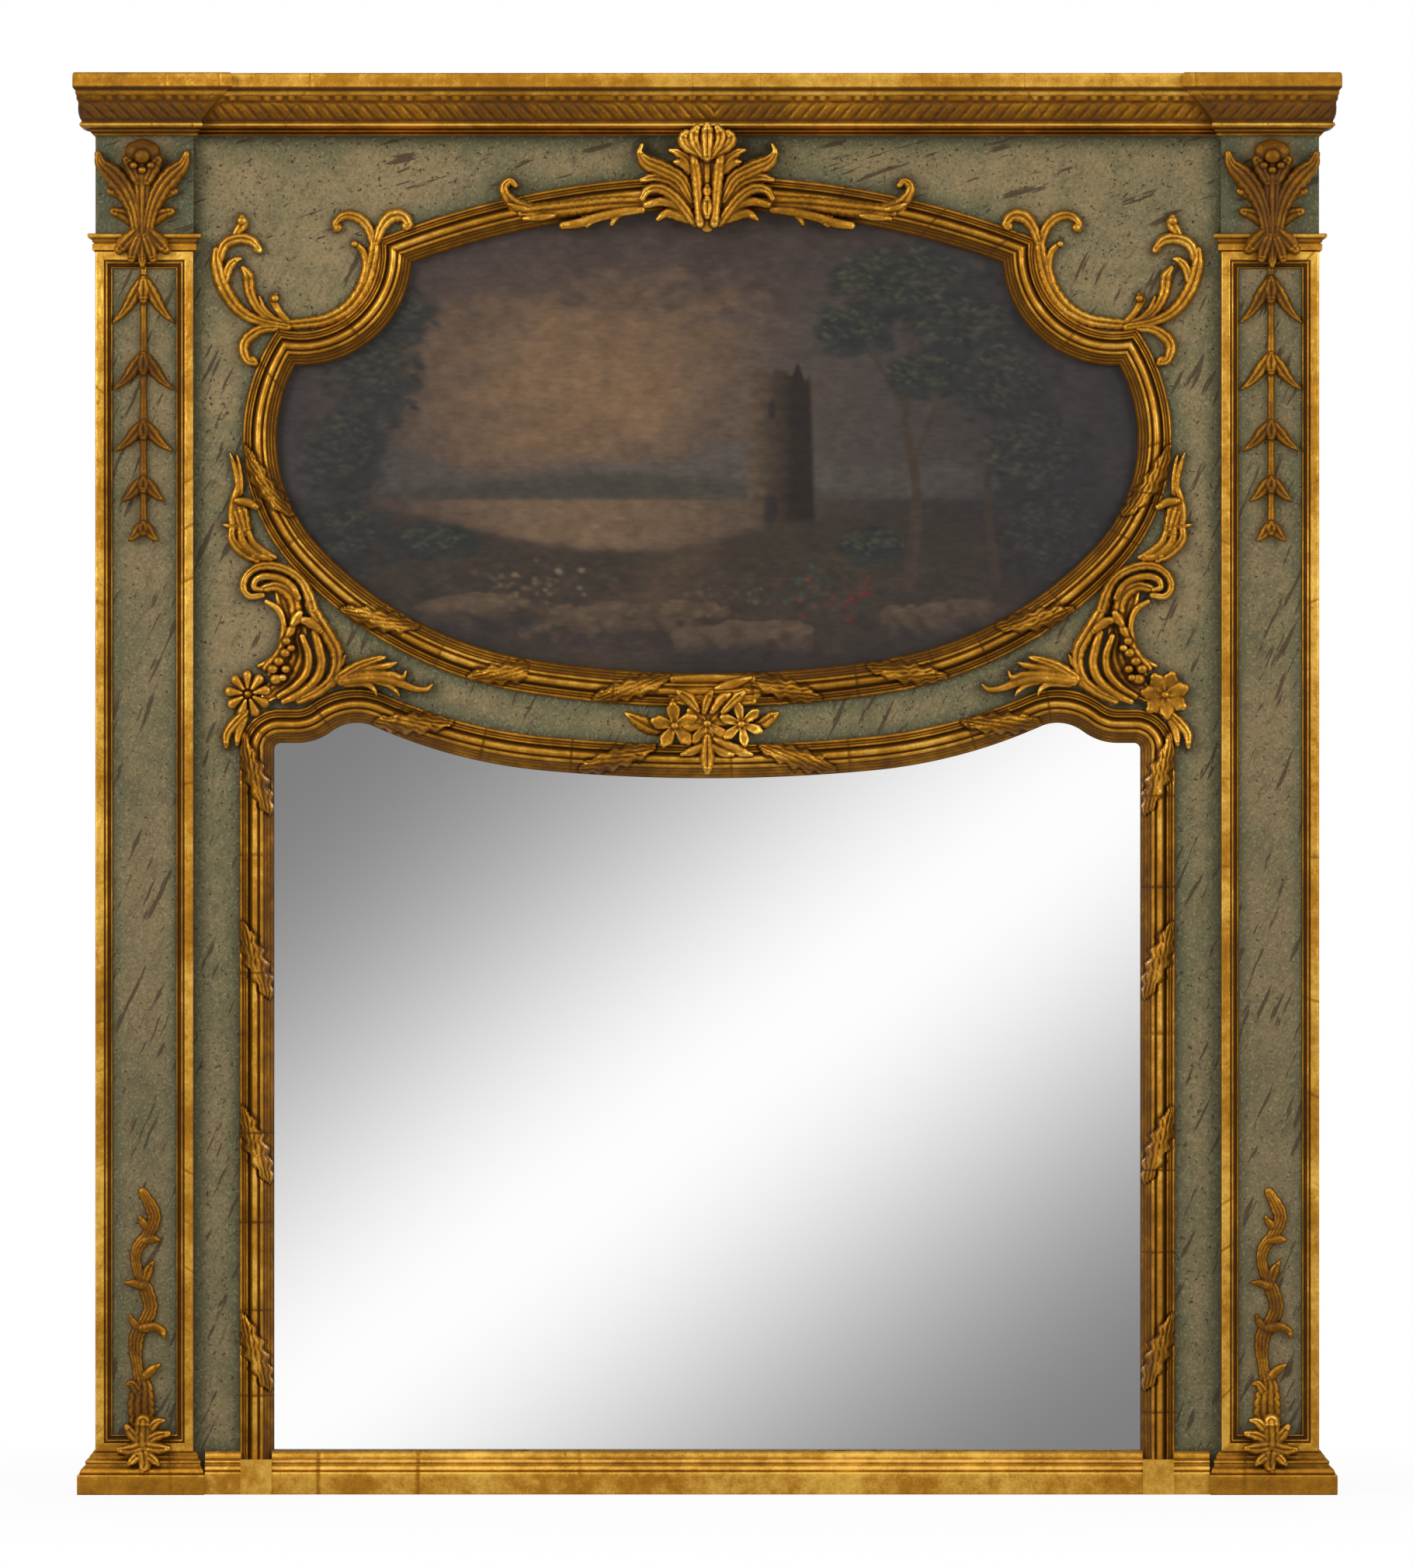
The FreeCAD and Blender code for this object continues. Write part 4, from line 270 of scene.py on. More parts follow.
def painted(name, rub, edge_at=None, depth=1.0):
    """Sage paint over a beige ground, rubbed through in patches and marked with dark strokes."""
    sage, beige = [tuple(depth * c for c in colour) + (1,) for colour in (SAGE, BEIGE)]
    made, graph, shader = material(name)
    axes = graph.node("ShaderNodeSeparateXYZ", {0: graph.place()}).outputs
    edge = board_edge(graph, axes[0], *edge_at) if edge_at else graph.attribute("edge")
    rubbed = graph.noise(34, 5, 0.68, (0.8, 1, 1.1), (0, 0.3, 0))
    share = graph.math("ADD", graph.scaled(graph.noise(6, 4, 0.6), 0.8), graph.scaled(rubbed, 0.7))
    share = graph.math("SUBTRACT", share, graph.scaled(edge, 0.5))
    colour = graph.mix(graph.between(share, 0.62 - rub, 0.92 - rub), sage, beige)
    fleck = graph.noise(300, 3, 0.6)
    top = graph.between(axes[2], TOP_ZONE, TOP_ZONE + 0.02)
    steep, level = [graph.noise(105, 3, 0.55, STROKE_STRETCH, (0, turn, 0)) for turn in (0.42, 1.25)]
    strokes = graph.math("ADD", graph.math("MULTIPLY", level, top),
                         graph.math("MULTIPLY", steep, graph.opposite(top)))
    marks = graph.between(graph.around(strokes, graph.noise(11, 2), 0.35), 0.61, 0.65)
    layers = (
        (graph.between(edge, 0.35, 0.95), 0.65, [depth * c for c in TEAL]),
        (graph.between(graph.noise(17, 4, 0.6), 0.56, 0.74), 0.45, (0.085, 0.062, 0.033)),
        # dark brown close beside the gilding: dirt and painted shade
        (graph.attribute("grime_and_shade"), 0.8, (0.045, 0.036, 0.020)),
        (graph.between(graph.noise(120, 3, 0.6, (1, 1, 0.3), (0, 0.55, 0)), 0.56, 0.62), 0.28,
         (0.062, 0.045, 0.024)),
        (graph.between(axes[2], 1.15, 0.35), 0.22, (0.075, 0.066, 0.036)),
        (graph.between(fleck, 0.55, 0.66), 0.5, (0.080, 0.060, 0.032)),
        (graph.between(fleck, 0.45, 0.34), 0.35, (0.330, 0.260, 0.150)),
        (graph.between(graph.noise(190, 3, 0.6), 0.62, 0.67), 1.0, DARK_STREAK),
        (marks, 0.85, DARK_STREAK),
    )
    for share, strength, over in layers:
        colour = graph.layer(colour, share, strength, over)
    relief = graph.math("SUBTRACT", graph.scaled(fleck, 0.25), graph.scaled(marks, 0.8))
    relief = graph.math("ADD", relief, graph.scaled(rubbed, 0.35))
    return finished(made, graph, shader, {
        "Base Color": colour, "Roughness": 0.62, "Specular IOR Level": 0.14,
        "Normal": graph.bump(relief, 0.5, 0.0010)})


def timber(name, light, dark, stretch):
    """Bare old wood with its grain along one axis."""
    made, graph, shader = material(name)
    grain = graph.noise(45, 6, 0.6, stretch)
    fine = graph.noise(260, 3, 0.6, stretch)
    share = graph.math("ADD", graph.scaled(grain, 0.7), graph.scaled(fine, 0.3))
    colour = graph.mix(graph.between(share, 0.35, 0.65), (*dark, 1), (*light, 1))
    stain = graph.between(graph.noise(4, 3), 0.45, 0.75)
    return finished(made, graph, shader, {
        "Base Color": graph.layer(colour, stain, 0.5, [0.5 * c for c in dark]),
        "Roughness": 0.72,
        "Normal": graph.bump(share, 0.4, 0.0010)})


def plain_metal(name, base, rough):
    made, graph, shader = material(name)
    stain = graph.noise(180, 4, 0.6)
    dark = [0.35 * c for c in base]
    return finished(made, graph, shader, {
        "Base Color": graph.mix(graph.between(stain, 0.45, 0.75), (*base, 1), (*dark, 1)),
        "Metallic": 1.0,
        "Roughness": graph.scaled(stain, 0.3, rough),
        "Normal": graph.bump(stain, 0.3, 0.0003)})


def silvered_glass():
    made, graph, shader = material("silvered_glass")
    haze = graph.noise(3, 2)
    return finished(made, graph, shader, {
        "Base Color": graph.mix(haze, (0.975, 0.975, 0.975, 1), (0.99, 0.99, 0.99, 1)),
        "Metallic": 1.0,
        "Roughness": 0.0})


def canvas_paint():
    """Oil paint on a coarse canvas: the picture's own colours under an aged varnish."""
    made, graph, shader = material("canvas_paint")
    picture = graph.node("ShaderNodeAttribute", attribute_name="picture").outputs["Color"]
    threads = [graph.node("ShaderNodeTexWave", {"Vector": graph.place(), "Scale": 260.0, "Distortion": 0.8,
                                                "Detail": 1.0, "Detail Scale": 2.0},
                          bands_direction=direction, wave_profile="SIN").outputs["Fac"]
               for direction in ("X", "Z")]
    weave = graph.math("MAXIMUM", graph.scaled(threads[0], 0.6), threads[1])
    dry = graph.between(graph.noise(90, 4, 0.6, (1, 1, 2.2)), -0.9, 0.9)
    shade = graph.math("MULTIPLY", graph.scaled(weave, 0.34, 0.76), dry)
    grey = graph.node("ShaderNodeCombineColor", {0: shade, 1: shade, 2: shade}).outputs[0]
    return finished(made, graph, shader, {
        "Base Color": graph.mix(1.0, picture, grey, "MULTIPLY"),
        "Roughness": 0.55, "Specular IOR Level": 0.22,
        "Normal": graph.bump(weave, 0.30, 0.0005)})


def raw_linen():
    """The unpainted back of the canvas: a plain weave, a little stained."""
    made, graph, shader = material("raw_linen")
    weave = graph.math("MAXIMUM", *[graph.noise(900, 2, 0.5, along) for along in ((1, 1, 8), (8, 1, 1))])
    stain = graph.between(graph.noise(7, 3), 0.45, 0.75)
    colour = graph.mix(graph.between(weave, 0.4, 0.7), (0.17, 0.115, 0.06, 1), (0.36, 0.27, 0.16, 1))
    return finished(made, graph, shader, {
        "Base Color": graph.layer(colour, stain, 0.5, (0.12, 0.075, 0.04)),
        "Roughness": 0.9,
        "Normal": graph.bump(weave, 0.4, 0.0006)})


GILT_MOULDING = gilding("gilt_moulding", 0.02, 0.71)
GILT_CARVING = gilding("gilt_carving", 0.0, 0.75)
GILT_CASE = gilding("gilt_case", 0.02, 0.88)
GILT_BORDER = gilding("gilt_border", 0.02, 0.86)
PAINT_FIELD = painted("sage_paint_field", 0.10)
PAINT_PILASTER = painted("sage_paint_pilaster", 0.10,
                         (PILASTER_CENTRE * MM, 0.024, 0.050, 0.0629, 0.0625), 0.82)
OLD_WOOD = (0.30, 0.17, 0.075), (0.13, 0.065, 0.028)
BACK_WOOD = timber("back_wood", *OLD_WOOD, (6, 6, 0.6))
RAIL_WOOD = timber("rail_wood", *OLD_WOOD, (0.6, 6, 6))
STRETCHER_WOOD = timber("stretcher_wood", (0.42, 0.27, 0.13), (0.22, 0.12, 0.05), (1.5, 6, 1.5))
BRASS = plain_metal("hanger_brass", (0.55, 0.36, 0.12), 0.28)
STEEL = plain_metal("screw_steel", (0.32, 0.31, 0.29), 0.35)
SILVERED_GLASS = silvered_glass()
CANVAS_PAINT = canvas_paint()
RAW_LINEN = raw_linen()


# ---------------------------------------------------------------------------------------
# Mesh helpers
# ---------------------------------------------------------------------------------------
def to_metres(points):
    """Points (x, depth, z) in millimetres as points of the row frame in metres."""
    return np.stack([points[:, 0], WALL_Y - points[:, 1], points[:, 2]], axis=1) * MM


def piece(name, points, quads, finish, replaced=(), attributes=None, sharp=50):
    """A mesh of the object from points (x, depth, z) and faces; it rides on the root body."""
    mesh = bpy.data.meshes.new(name)
    mesh.from_pydata(to_metres(points).tolist(), [], [tuple(q) for q in quads])
    mesh.update()
    for key, values in (attributes or {}).items():
        values = np.asarray(values, np.float32)
        kind, field = ("FLOAT", "value") if values.ndim == 1 else ("FLOAT_COLOR", "color")
        mesh.attributes.new(key, kind, "POINT").data.foreach_set(field, values.ravel())
    mesh.materials.append(finish)
    mesh.polygons.foreach_set("use_smooth", [True] * len(mesh.polygons))
    mesh.set_sharp_from_angle(angle=math.radians(sharp))
    made = bpy.data.objects.new(name, mesh)
    bpy.context.scene.collection.objects.link(made)
    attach(made, "root")
    if replaced:
        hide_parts(*replaced)
    return made


def grid_faces(rows, columns, start=0, closed=False, flip=False):
    """Quads of a grid of points stored row by row; closed joins the last row to the first."""
    i = np.repeat(np.arange(rows if closed else rows - 1), columns - 1)
    j = np.tile(np.arange(columns - 1), rows if closed else rows - 1)
    after = (i + 1) % rows
    quads = np.stack([i * columns + j, i * columns + j + 1, after * columns + j + 1,
                      after * columns + j], axis=1) + start
    return quads[:, ::-1] if flip else quads


def kept_cells(kept, columns):
    """Quads of the kept cells of a grid, the grid points they use, and their new numbers."""
    i, j = np.nonzero(kept)
    quads = np.stack([i * columns + j, (i + 1) * columns + j, (i + 1) * columns + j + 1,
                      i * columns + j + 1], axis=1)
    used, flat = np.unique(quads, return_inverse=True)
    return used, flat.reshape(quads.shape)


def blurred(values, reach, axis):
    """A running mean over 2 * reach + 1 samples along one axis."""
    padded = np.pad(values, [(reach + 1, reach) if a == axis else (0, 0) for a in range(values.ndim)],
                    mode="edge")
    total = np.cumsum(padded, axis=axis)
    span = 2 * reach + 1
    high = np.take(total, range(span, total.shape[axis]), axis=axis)
    low = np.take(total, range(0, total.shape[axis] - span), axis=axis)
    return (high - low) / span


# The gilding uses this as patina and painted shade in the hollows, and as a painted highlight on the crests.
def hollows(height, reach_rows, reach_columns, scale, level=0.38):
    """From 0 on the crests to 1 in the hollows of a height field; level is its flat value."""
    soft = height
    for repeat in range(2):
        soft = blurred(blurred(soft, reach_rows, 0), reach_columns, 1)
    return np.clip(level + (soft - height) / scale, 0, 1)


def table_at(table, places):
    """The value of a table of (place, value) rows at any places."""
    return np.interp(places, *zip(*table))


def lattice_noise(u, v, cell, seed):
    """Smooth noise from -1 to 1 on a square lattice of the given cell size."""
    table = np.random.default_rng(seed).uniform(-1, 1, (64, 64))
    (i, p), (j, q) = [(np.floor(a).astype(int), a - np.floor(a)) for a in (u / cell, v / cell)]
    p, q = [t * t * (3 - 2 * t) for t in (p, q)]
    corner = [[table[(i + di) % 64, (j + dj) % 64] for dj in (0, 1)] for di in (0, 1)]
    return ((1 - p) * ((1 - q) * corner[0][0] + q * corner[0][1])
            + p * ((1 - q) * corner[1][0] + q * corner[1][1]))


def smooth_line(points, step):
    """Points about every step along a smooth curve through the given rows."""
    rows = np.array(points, float)
    rows = np.vstack([2 * rows[0] - rows[1], rows, 2 * rows[-1] - rows[-2]])
    out = []
    for i in range(1, len(rows) - 2):
        a, b, c, d = rows[i - 1:i + 3]
        count = max(2, int(math.hypot(*(c - b)[:2]) / step))
        t = (np.arange(count) / count)[:, None]
        out.append(0.5 * (2 * b + (c - a) * t + (2 * a - 5 * b + 4 * c - d) * t ** 2
                          + (3 * b - a - 3 * c + d) * t ** 3))
    out.append(rows[-2][None])
    return np.vstack(out)


def beside_line(x, z, line):
    """For points: distance from a polyline, share of the way along it, and which side."""
    best = np.full(x.shape, 1e12)
    share = np.zeros(x.shape)
    side = np.ones(x.shape)
    count = len(line) - 1
    for k in range(count):
        ax, az = line[k, :2]
        bx, bz = line[k + 1, :2] - line[k, :2]
        square = bx * bx + bz * bz + 1e-9
        t = np.clip(((x - ax) * bx + (z - az) * bz) / square, 0, 1)
        dx = x - ax - t * bx
        dz = z - az - t * bz
        d = dx * dx + dz * dz
        nearer = d < best
        best = np.where(nearer, d, best)
        share = np.where(nearer, (k + t) / count, share)
        side = np.where(nearer, np.where(bx * dz - bz * dx > 0, 1.0, -1.0), side)
    return np.sqrt(best), share, side


# ---------------------------------------------------------------------------------------
# Outlines of the two openings, as arcs that can be drawn at any offset
# ---------------------------------------------------------------------------------------
class Arc:
    """An arc whose radius grows with the offset, or shrinks where grow is -1."""

    def __init__(self, centre, radius, grow):
        self.centre, self.radius, self.grow = centre, radius, grow

    def at(self, angle):
        """The point of the undisplaced arc at an angle from the downward vertical."""
        return (self.centre[0] + self.radius * math.sin(angle),
                self.centre[1] - self.radius * math.cos(angle))

    def mirrored(self):
        return Arc((-self.centre[0], self.centre[1]), self.radius, self.grow)


def meeting(first, second, offset, guess):
    """Where two arcs meet at an offset: the crossing or touching point nearest the guess."""
    r_one = first.radius + first.grow * offset
    r_two = second.radius + second.grow * offset
    dx = second.centre[0] - first.centre[0]
    dz = second.centre[1] - first.centre[1]
    gap = math.hypot(dx, dz)
    along = (r_one ** 2 - r_two ** 2 + gap ** 2) / (2 * gap)
    beside = math.sqrt(max(r_one ** 2 - along ** 2, 0))
    foot = (first.centre[0] + along * dx / gap, first.centre[1] + along * dz / gap)
    choices = [(foot[0] + sign * beside * dz / gap, foot[1] - sign * beside * dx / gap)
               for sign in (1, -1)]
    return min(choices, key=lambda p: math.hypot(p[0] - guess[0], p[1] - guess[1]))


def joints_between(arcs, guesses, offset):
    return [meeting(one, other, offset, guess) for one, other, guess in zip(arcs, arcs[1:], guesses)]


def flipped(runs):
    """Runs mirrored to the left side, each still going from its start to its end."""
    return [(arc and arc.mirrored(), (-start[0], start[1]), (-end[0], end[1]))
            for arc, start, end in runs]


def reversed_left(runs):
    """The left counterparts of runs, walked so that they carry on the outline's direction."""
    return [(arc, end, start) for arc, start, end in flipped(runs)[::-1]]


def arc_points(arc, offset, start, end, shares):
    begin = math.atan2(start[1] - arc.centre[1], start[0] - arc.centre[0])
    finish = math.atan2(end[1] - arc.centre[1], end[0] - arc.centre[0])
    turn = (finish - begin + math.pi) % (2 * math.pi) - math.pi
    angles = begin + turn * shares
    radius = arc.radius + arc.grow * offset
    return np.stack([arc.centre[0] + radius * np.cos(angles),
                     arc.centre[1] + radius * np.sin(angles)], axis=1)


FOOT_ARC = Arc((0, 1058 + 1450), 1450, 1)
FOOT_ANGLE = math.radians(9)
SHOULDER_RADIUS = 475
SIDE_RADIUS = 202.7
PICTURE_SIDE = 555
shoulder_reach = FOOT_ARC.radius - SHOULDER_RADIUS
SHOULDER_ARC = Arc((shoulder_reach * math.sin(FOOT_ANGLE),
                    FOOT_ARC.centre[1] - shoulder_reach * math.cos(FOOT_ANGLE)), SHOULDER_RADIUS, 1)
side_x = PICTURE_SIDE - SIDE_RADIUS
side_rise = math.sqrt((SHOULDER_RADIUS - SIDE_RADIUS) ** 2 - (side_x - SHOULDER_ARC.centre[0]) ** 2)
SIDE_ARC = Arc((side_x, SHOULDER_ARC.centre[1] - side_rise), SIDE_RADIUS, 1)
NOTCH_ARC = Arc((524.5, 1598.7), 144, -1)
TOP_ARC = Arc((0, 1655 - 1111), 1111, 1)


def picture_joints(offset):
    lean_x = (SIDE_ARC.centre[0] - SHOULDER_ARC.centre[0]) / (SHOULDER_RADIUS - SIDE_RADIUS)
    lean_z = (SIDE_ARC.centre[1] - SHOULDER_ARC.centre[1]) / (SHOULDER_RADIUS - SIDE_RADIUS)
    arcs = (FOOT_ARC, SHOULDER_ARC, SIDE_ARC, NOTCH_ARC, TOP_ARC)
    guesses = (
        FOOT_ARC.at(FOOT_ANGLE),
        (SHOULDER_ARC.centre[0] + lean_x * SHOULDER_RADIUS,
         SHOULDER_ARC.centre[1] + lean_z * SHOULDER_RADIUS),
        NOTCH_ARC.at(0),
        (NOTCH_ARC.centre[0] - NOTCH_ARC.radius, NOTCH_ARC.centre[1]),
    )
    return arcs, joints_between(arcs, guesses, offset)


def picture_chain(offset):
    """Runs of the picture outline, anticlockwise from its lower left, as (arc, start, end)."""
    arcs, joints = picture_joints(offset)
    right = list(zip(arcs[1:4], joints, joints[1:]))
    ends = [(-x, z) for x, z in (joints[0], joints[3])]
    return [(arcs[0], ends[0], joints[0])] + right + [(arcs[4], joints[3], ends[1])] + reversed_left(right)


HUMP_ARC = Arc((452, 994 - 55), 55, 1)
STEEP = math.radians(24)
GENTLE = math.radians(5.4)
FLANK_RADIUS = 692
HOLLOW_RADIUS = 75
SIGHT_CORNER = 968
SIGHT_HALF = 559
CORNER_RADIUS = 8
CORNER_ARC = Arc((SIGHT_HALF - CORNER_RADIUS, SIGHT_CORNER - CORNER_RADIUS), CORNER_RADIUS, 1)
hump_join = (HUMP_ARC.centre[0] - HUMP_ARC.radius * math.sin(STEEP),
             HUMP_ARC.centre[1] + HUMP_ARC.radius * math.cos(STEEP))
FLANK_ARC = Arc((hump_join[0] - FLANK_RADIUS * math.sin(STEEP),
                 hump_join[1] + FLANK_RADIUS * math.cos(STEEP)), FLANK_RADIUS, -1)
middle_join = (FLANK_ARC.centre[0] + FLANK_RADIUS * math.sin(GENTLE),
               FLANK_ARC.centre[1] - FLANK_RADIUS * math.cos(GENTLE))
MIDDLE_RADIUS = middle_join[0] / math.sin(GENTLE)
MIDDLE_ARC = Arc((0, middle_join[1] + MIDDLE_RADIUS * math.cos(GENTLE)), MIDDLE_RADIUS, -1)
hollow_z = SIGHT_CORNER + HOLLOW_RADIUS
hollow_x = HUMP_ARC.centre[0] + math.sqrt((HUMP_ARC.radius + HOLLOW_RADIUS) ** 2
                                          - (hollow_z - HUMP_ARC.centre[1]) ** 2)
HOLLOW_ARC = Arc((hollow_x, hollow_z), HOLLOW_RADIUS, -1)


def mirror_top_chain(offset):
    """Runs of the mirror's top from its left corner to its right one; a run of None is level."""
    share = HUMP_ARC.radius / (HUMP_ARC.radius + HOLLOW_RADIUS)
    dip = (HUMP_ARC.centre[0] + share * (hollow_x - HUMP_ARC.centre[0]),
           HUMP_ARC.centre[1] + share * (hollow_z - HUMP_ARC.centre[1]))
    arcs = (MIDDLE_ARC, FLANK_ARC, HUMP_ARC, HOLLOW_ARC)
    guesses = (middle_join, hump_join, dip)
    joints = joints_between(arcs, guesses, offset)
    level = SIGHT_CORNER + offset
    joints += [(hollow_x, level), (CORNER_ARC.centre[0], level), corner_middle(offset)]
    right = list(zip(arcs[1:] + (None, CORNER_ARC), joints, joints[1:]))
    return reversed_left(right) + [(arcs[0], (-joints[0][0], joints[0][1]), joints[0])] + right


def corner_middle(offset):
    """Where the mouldings of top and side meet, half way round the corner."""
    reach = (CORNER_RADIUS + offset) / math.sqrt(2)
    return CORNER_ARC.centre[0] + reach, CORNER_ARC.centre[1] + reach


def stile_chain(side):
    """The outline of one side of the mirror, from its foot to the middle of the corner."""
    def chain(offset):
        x = SIGHT_HALF + offset
        turn = (x, CORNER_ARC.centre[1])
        runs = [(None, (x, STILE_FOOT), turn), (CORNER_ARC, turn, corner_middle(offset))]
        return runs if side == RIGHT else flipped(runs)
    return chain


def run_length(run):
    arc, start, end = run
    chord = math.hypot(end[0] - start[0], end[1] - start[1])
    if arc is None:
        return chord
    return 2 * arc.radius * math.asin(min(1, chord / 2 / arc.radius))


def run_points(run, offset, shares):
    arc, start, end = run
    if arc is None:
        return np.array(start) + shares[:, None] * (np.array(end) - np.array(start))
    return arc_points(arc, offset, start, end, shares)


def chain_grid(chain_at, offsets, step, reference):
    """Points [along, across] of an outline drawn at many offsets, and the way along it."""
    lengths = [run_length(run) for run in chain_at(reference)]
    counts = [max(2, int(round(length / step))) for length in lengths]
    columns = []
    for offset in offsets:
        runs = chain_at(offset)
        parts = []
        for k, (run, count) in enumerate(zip(runs, counts)):
            last = k == len(runs) - 1
            shares = np.linspace(0, 1, count + 1)[:count + 1 if last else count]
            parts.append(run_points(run, offset, shares))
        columns.append(np.vstack(parts))
    grid = np.stack(columns, axis=1)
    way = []
    total = 0
    for length, count in zip(lengths, counts):
        way.extend(total + length * np.arange(count) / count)
        total += length
    way.append(total)
    return grid, np.array(way)


# ---------------------------------------------------------------------------------------
# Reeded mouldings with leaves wrapped over them
# ---------------------------------------------------------------------------------------
MOULDING_WIDTH = 44
LIP_BACK = -14
# Section as (distance from the sight edge, stand from the field); reeds are added below.
SLOPE = [(0, -4), (12.2, 10), (13, 12.5), (18.4, 13.5), (20, 15), (29, 13.6), (30.8, 8),
         (36, 8), (39.4, 6), (41.2, 4.5), (44, 4.5)]
# Reeds as (start, end, height above the slope).
REEDS = [(0.3, 4.2, 1.3), (4.3, 8.2, 1.3), (8.3, 12.2, 1.4), (12.6, 18.6, 3.0), (19.4, 29.6, 4.9),
         (31.2, 36.2, 3.2), (36.5, 39.2, 1.3), (39.6, 43.9, 2.4)]
# The soft back of a leaf that lies over the reeds.
LEAF_BACK = [(0, 0), (6, 6), (13, 14.5), (20, 19), (26, 21), (31, 18.5), (37, 12.5), (44, 6)]
# How much the gilding of the moulding darkens at each distance from the sight edge: painted shade, most on
# the inner slope by the sight edge.
MOULDING_TONES = [(0, 0.20), (12, 0.10), (18, 0.0), (29, 0.0), (31, 0.05), (44, 0.05)]
LEAF_RISE = 3.2
LEAF_HALF = 50
LEAF_SPREAD = 13.5
LEAF_LEAN = 18
LEAF_MIDDLE = 23
MOULDING_STEP = 2.4
COVERED = 22  # distance from the sight edge that stands for the whole width of a moulding
CRACK_SPACING = 130
CRACK_DEPTH = 0.3


def section_height(offset):
    """Stand of the reeded section at each distance from the sight edge."""
    height = table_at(SLOPE, offset)
    for start, end, rise in REEDS:
        t = (offset - start) / (end - start)
        inside = (t > 0) & (t < 1)
        height = np.where(inside, height + rise * np.sin(np.pi * np.clip(t, 0, 1)) ** 0.6, height)
    return height


def wrapped_leaf(way, offset, middle, lean, height):
    """The height with a leaf wrapped aslant over the moulding about a place along it."""
    a = (way - middle) / LEAF_HALF
    axis = LEAF_MIDDLE - lean * LEAF_LEAN * a
    lobes = 1 + 0.20 * np.cos(5.5 * np.pi * (a + 0.1))
    half = LEAF_SPREAD * np.sqrt(np.clip(1 - a * a, 0, 1)) * lobes
    q = (offset - axis) / np.maximum(half, 0.3)
    inside = (np.abs(q) < 1) & (np.abs(a) < 1)
    ribs = np.abs(np.sin(2.0 * np.pi * q + 5 * a)) ** 0.8
    crown = np.clip(1 - q * q, 0, 1)
    leaf = table_at(LEAF_BACK, offset) + LEAF_RISE * crown ** 0.5 + 3.0 * ribs * crown ** 0.3 - 1.6
    trimmed = np.where((np.abs(a) < 1.02) & (np.abs(q) < 1.35) & ~inside, height - 1.2, height)
    return np.where(inside, np.maximum(leaf, height - 1.0), trimmed)


REED_LINES = 7
ACROSS = np.unique(np.round([0.0, MOULDING_WIDTH]
                            + [place for start, end, rise in REEDS
                               for place in np.linspace(start, end, REED_LINES)], 3))
MIDDLE_COLUMN = int(np.argmin(np.abs(ACROSS - 24)))
COVERED_COLUMN = int(np.argmin(np.abs(ACROSS - COVERED)))


def cracks(total, spacing, seed):
    """Places of the fine cracks that cross a long moulding."""
    dice = np.random.default_rng(seed)
    places = []
    at = dice.uniform(0.2, 1) * spacing
    while at < total:
        places.append(at)
        at += dice.uniform(0.45, 1.6) * spacing
    return places


def crack_marks(way, total, spacing, seed, width):
    """How strongly each place along a moulding is cracked, from 0 to 1."""
    mark = np.zeros(len(way))
    for place in cracks(total, spacing, seed):
        mark = np.maximum(mark, np.exp(-((way - place) / width) ** 2))
    return mark


def moulding_piece(name, grid, way, leaves, replaced, closed, seed, faces_away):
    """A reeded moulding as one mesh, from the points of its outline at every offset."""
    offset = np.broadcast_to(ACROSS[None, :], grid.shape[:2])
    along = np.broadcast_to(way[:, None], grid.shape[:2])
    height = section_height(offset)
    height = height + 0.22 * lattice_noise(along, offset * 2, 9, seed)
    for middle, lean in leaves:
        height = wrapped_leaf(along, offset, middle, lean, height)
    # Patina and painted shade in the grooves between the reeds and round the leaves.
    hollow = hollows(height - table_at(LEAF_BACK, offset), 1, 4, 5.0, 0.30)
    mark = crack_marks(way, way[-1], CRACK_SPACING, seed, 1.6)
    height = height - CRACK_DEPTH * mark[:, None]
    hollow = np.maximum(hollow, 0.55 * mark[:, None])
    shade = table_at(MOULDING_TONES, offset)
    hollow = np.clip(hollow + shade + 0.10 * lattice_noise(along, offset, 14, seed + 1), 0, 1)
    points = np.stack([grid[..., 0], FIELD_DEPTH + height, grid[..., 1]], axis=2)
    edges = [points[:, :1].copy(), points[:, -1:].copy()]
    for edge, stand in zip(edges, (LIP_BACK, 0)):
        edge[..., 1] = FIELD_DEPTH + stand
    points = np.concatenate([edges[0], points, edges[1]], axis=1)
    # Painted shade down the moulding's two sides.
    hollow = np.concatenate([hollow[:, :1] + 0.3, hollow, hollow[:, -1:] + 0.3], axis=1)
    if closed:
        points, hollow = points[:-1], hollow[:-1]
    rows, columns = points.shape[:2]
    quads = grid_faces(rows, columns, closed=closed, flip=faces_away)
    return piece(name, points.reshape(-1, 3), quads, GILT_MOULDING, replaced,
                 {"hollow": np.clip(hollow, 0, 1).ravel()})


def leaves_at(grid, way, places):
    """Leaves as (way along an outline, lean) from their places (x, z) on it."""
    line = grid[:, MIDDLE_COLUMN]
    return [(way[int(np.argmin(np.hypot(line[:, 0] - x, line[:, 1] - z)))], lean)
            for (x, z), lean in places]


def both_sides(places, lean):
    """Places of the left half with a lean, and their mirror images with the opposite one."""
    return [((side * -x, z), -side * lean) for side in (LEFT, RIGHT) for x, z in places]


PICTURE_LEAVES = both_sides([(-424, 1124), (-255, 1060), (-96, 1040), (-568, 1300)], 1)
TOP_LEAVES = both_sides([(-380, 990), (-116, 949)], -1)
STILE_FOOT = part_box("stile_blocks")[1][2] / MM
STILE_LEAVES = [(middle - STILE_FOOT, -1) for middle in (183, 450, 688, 925)]

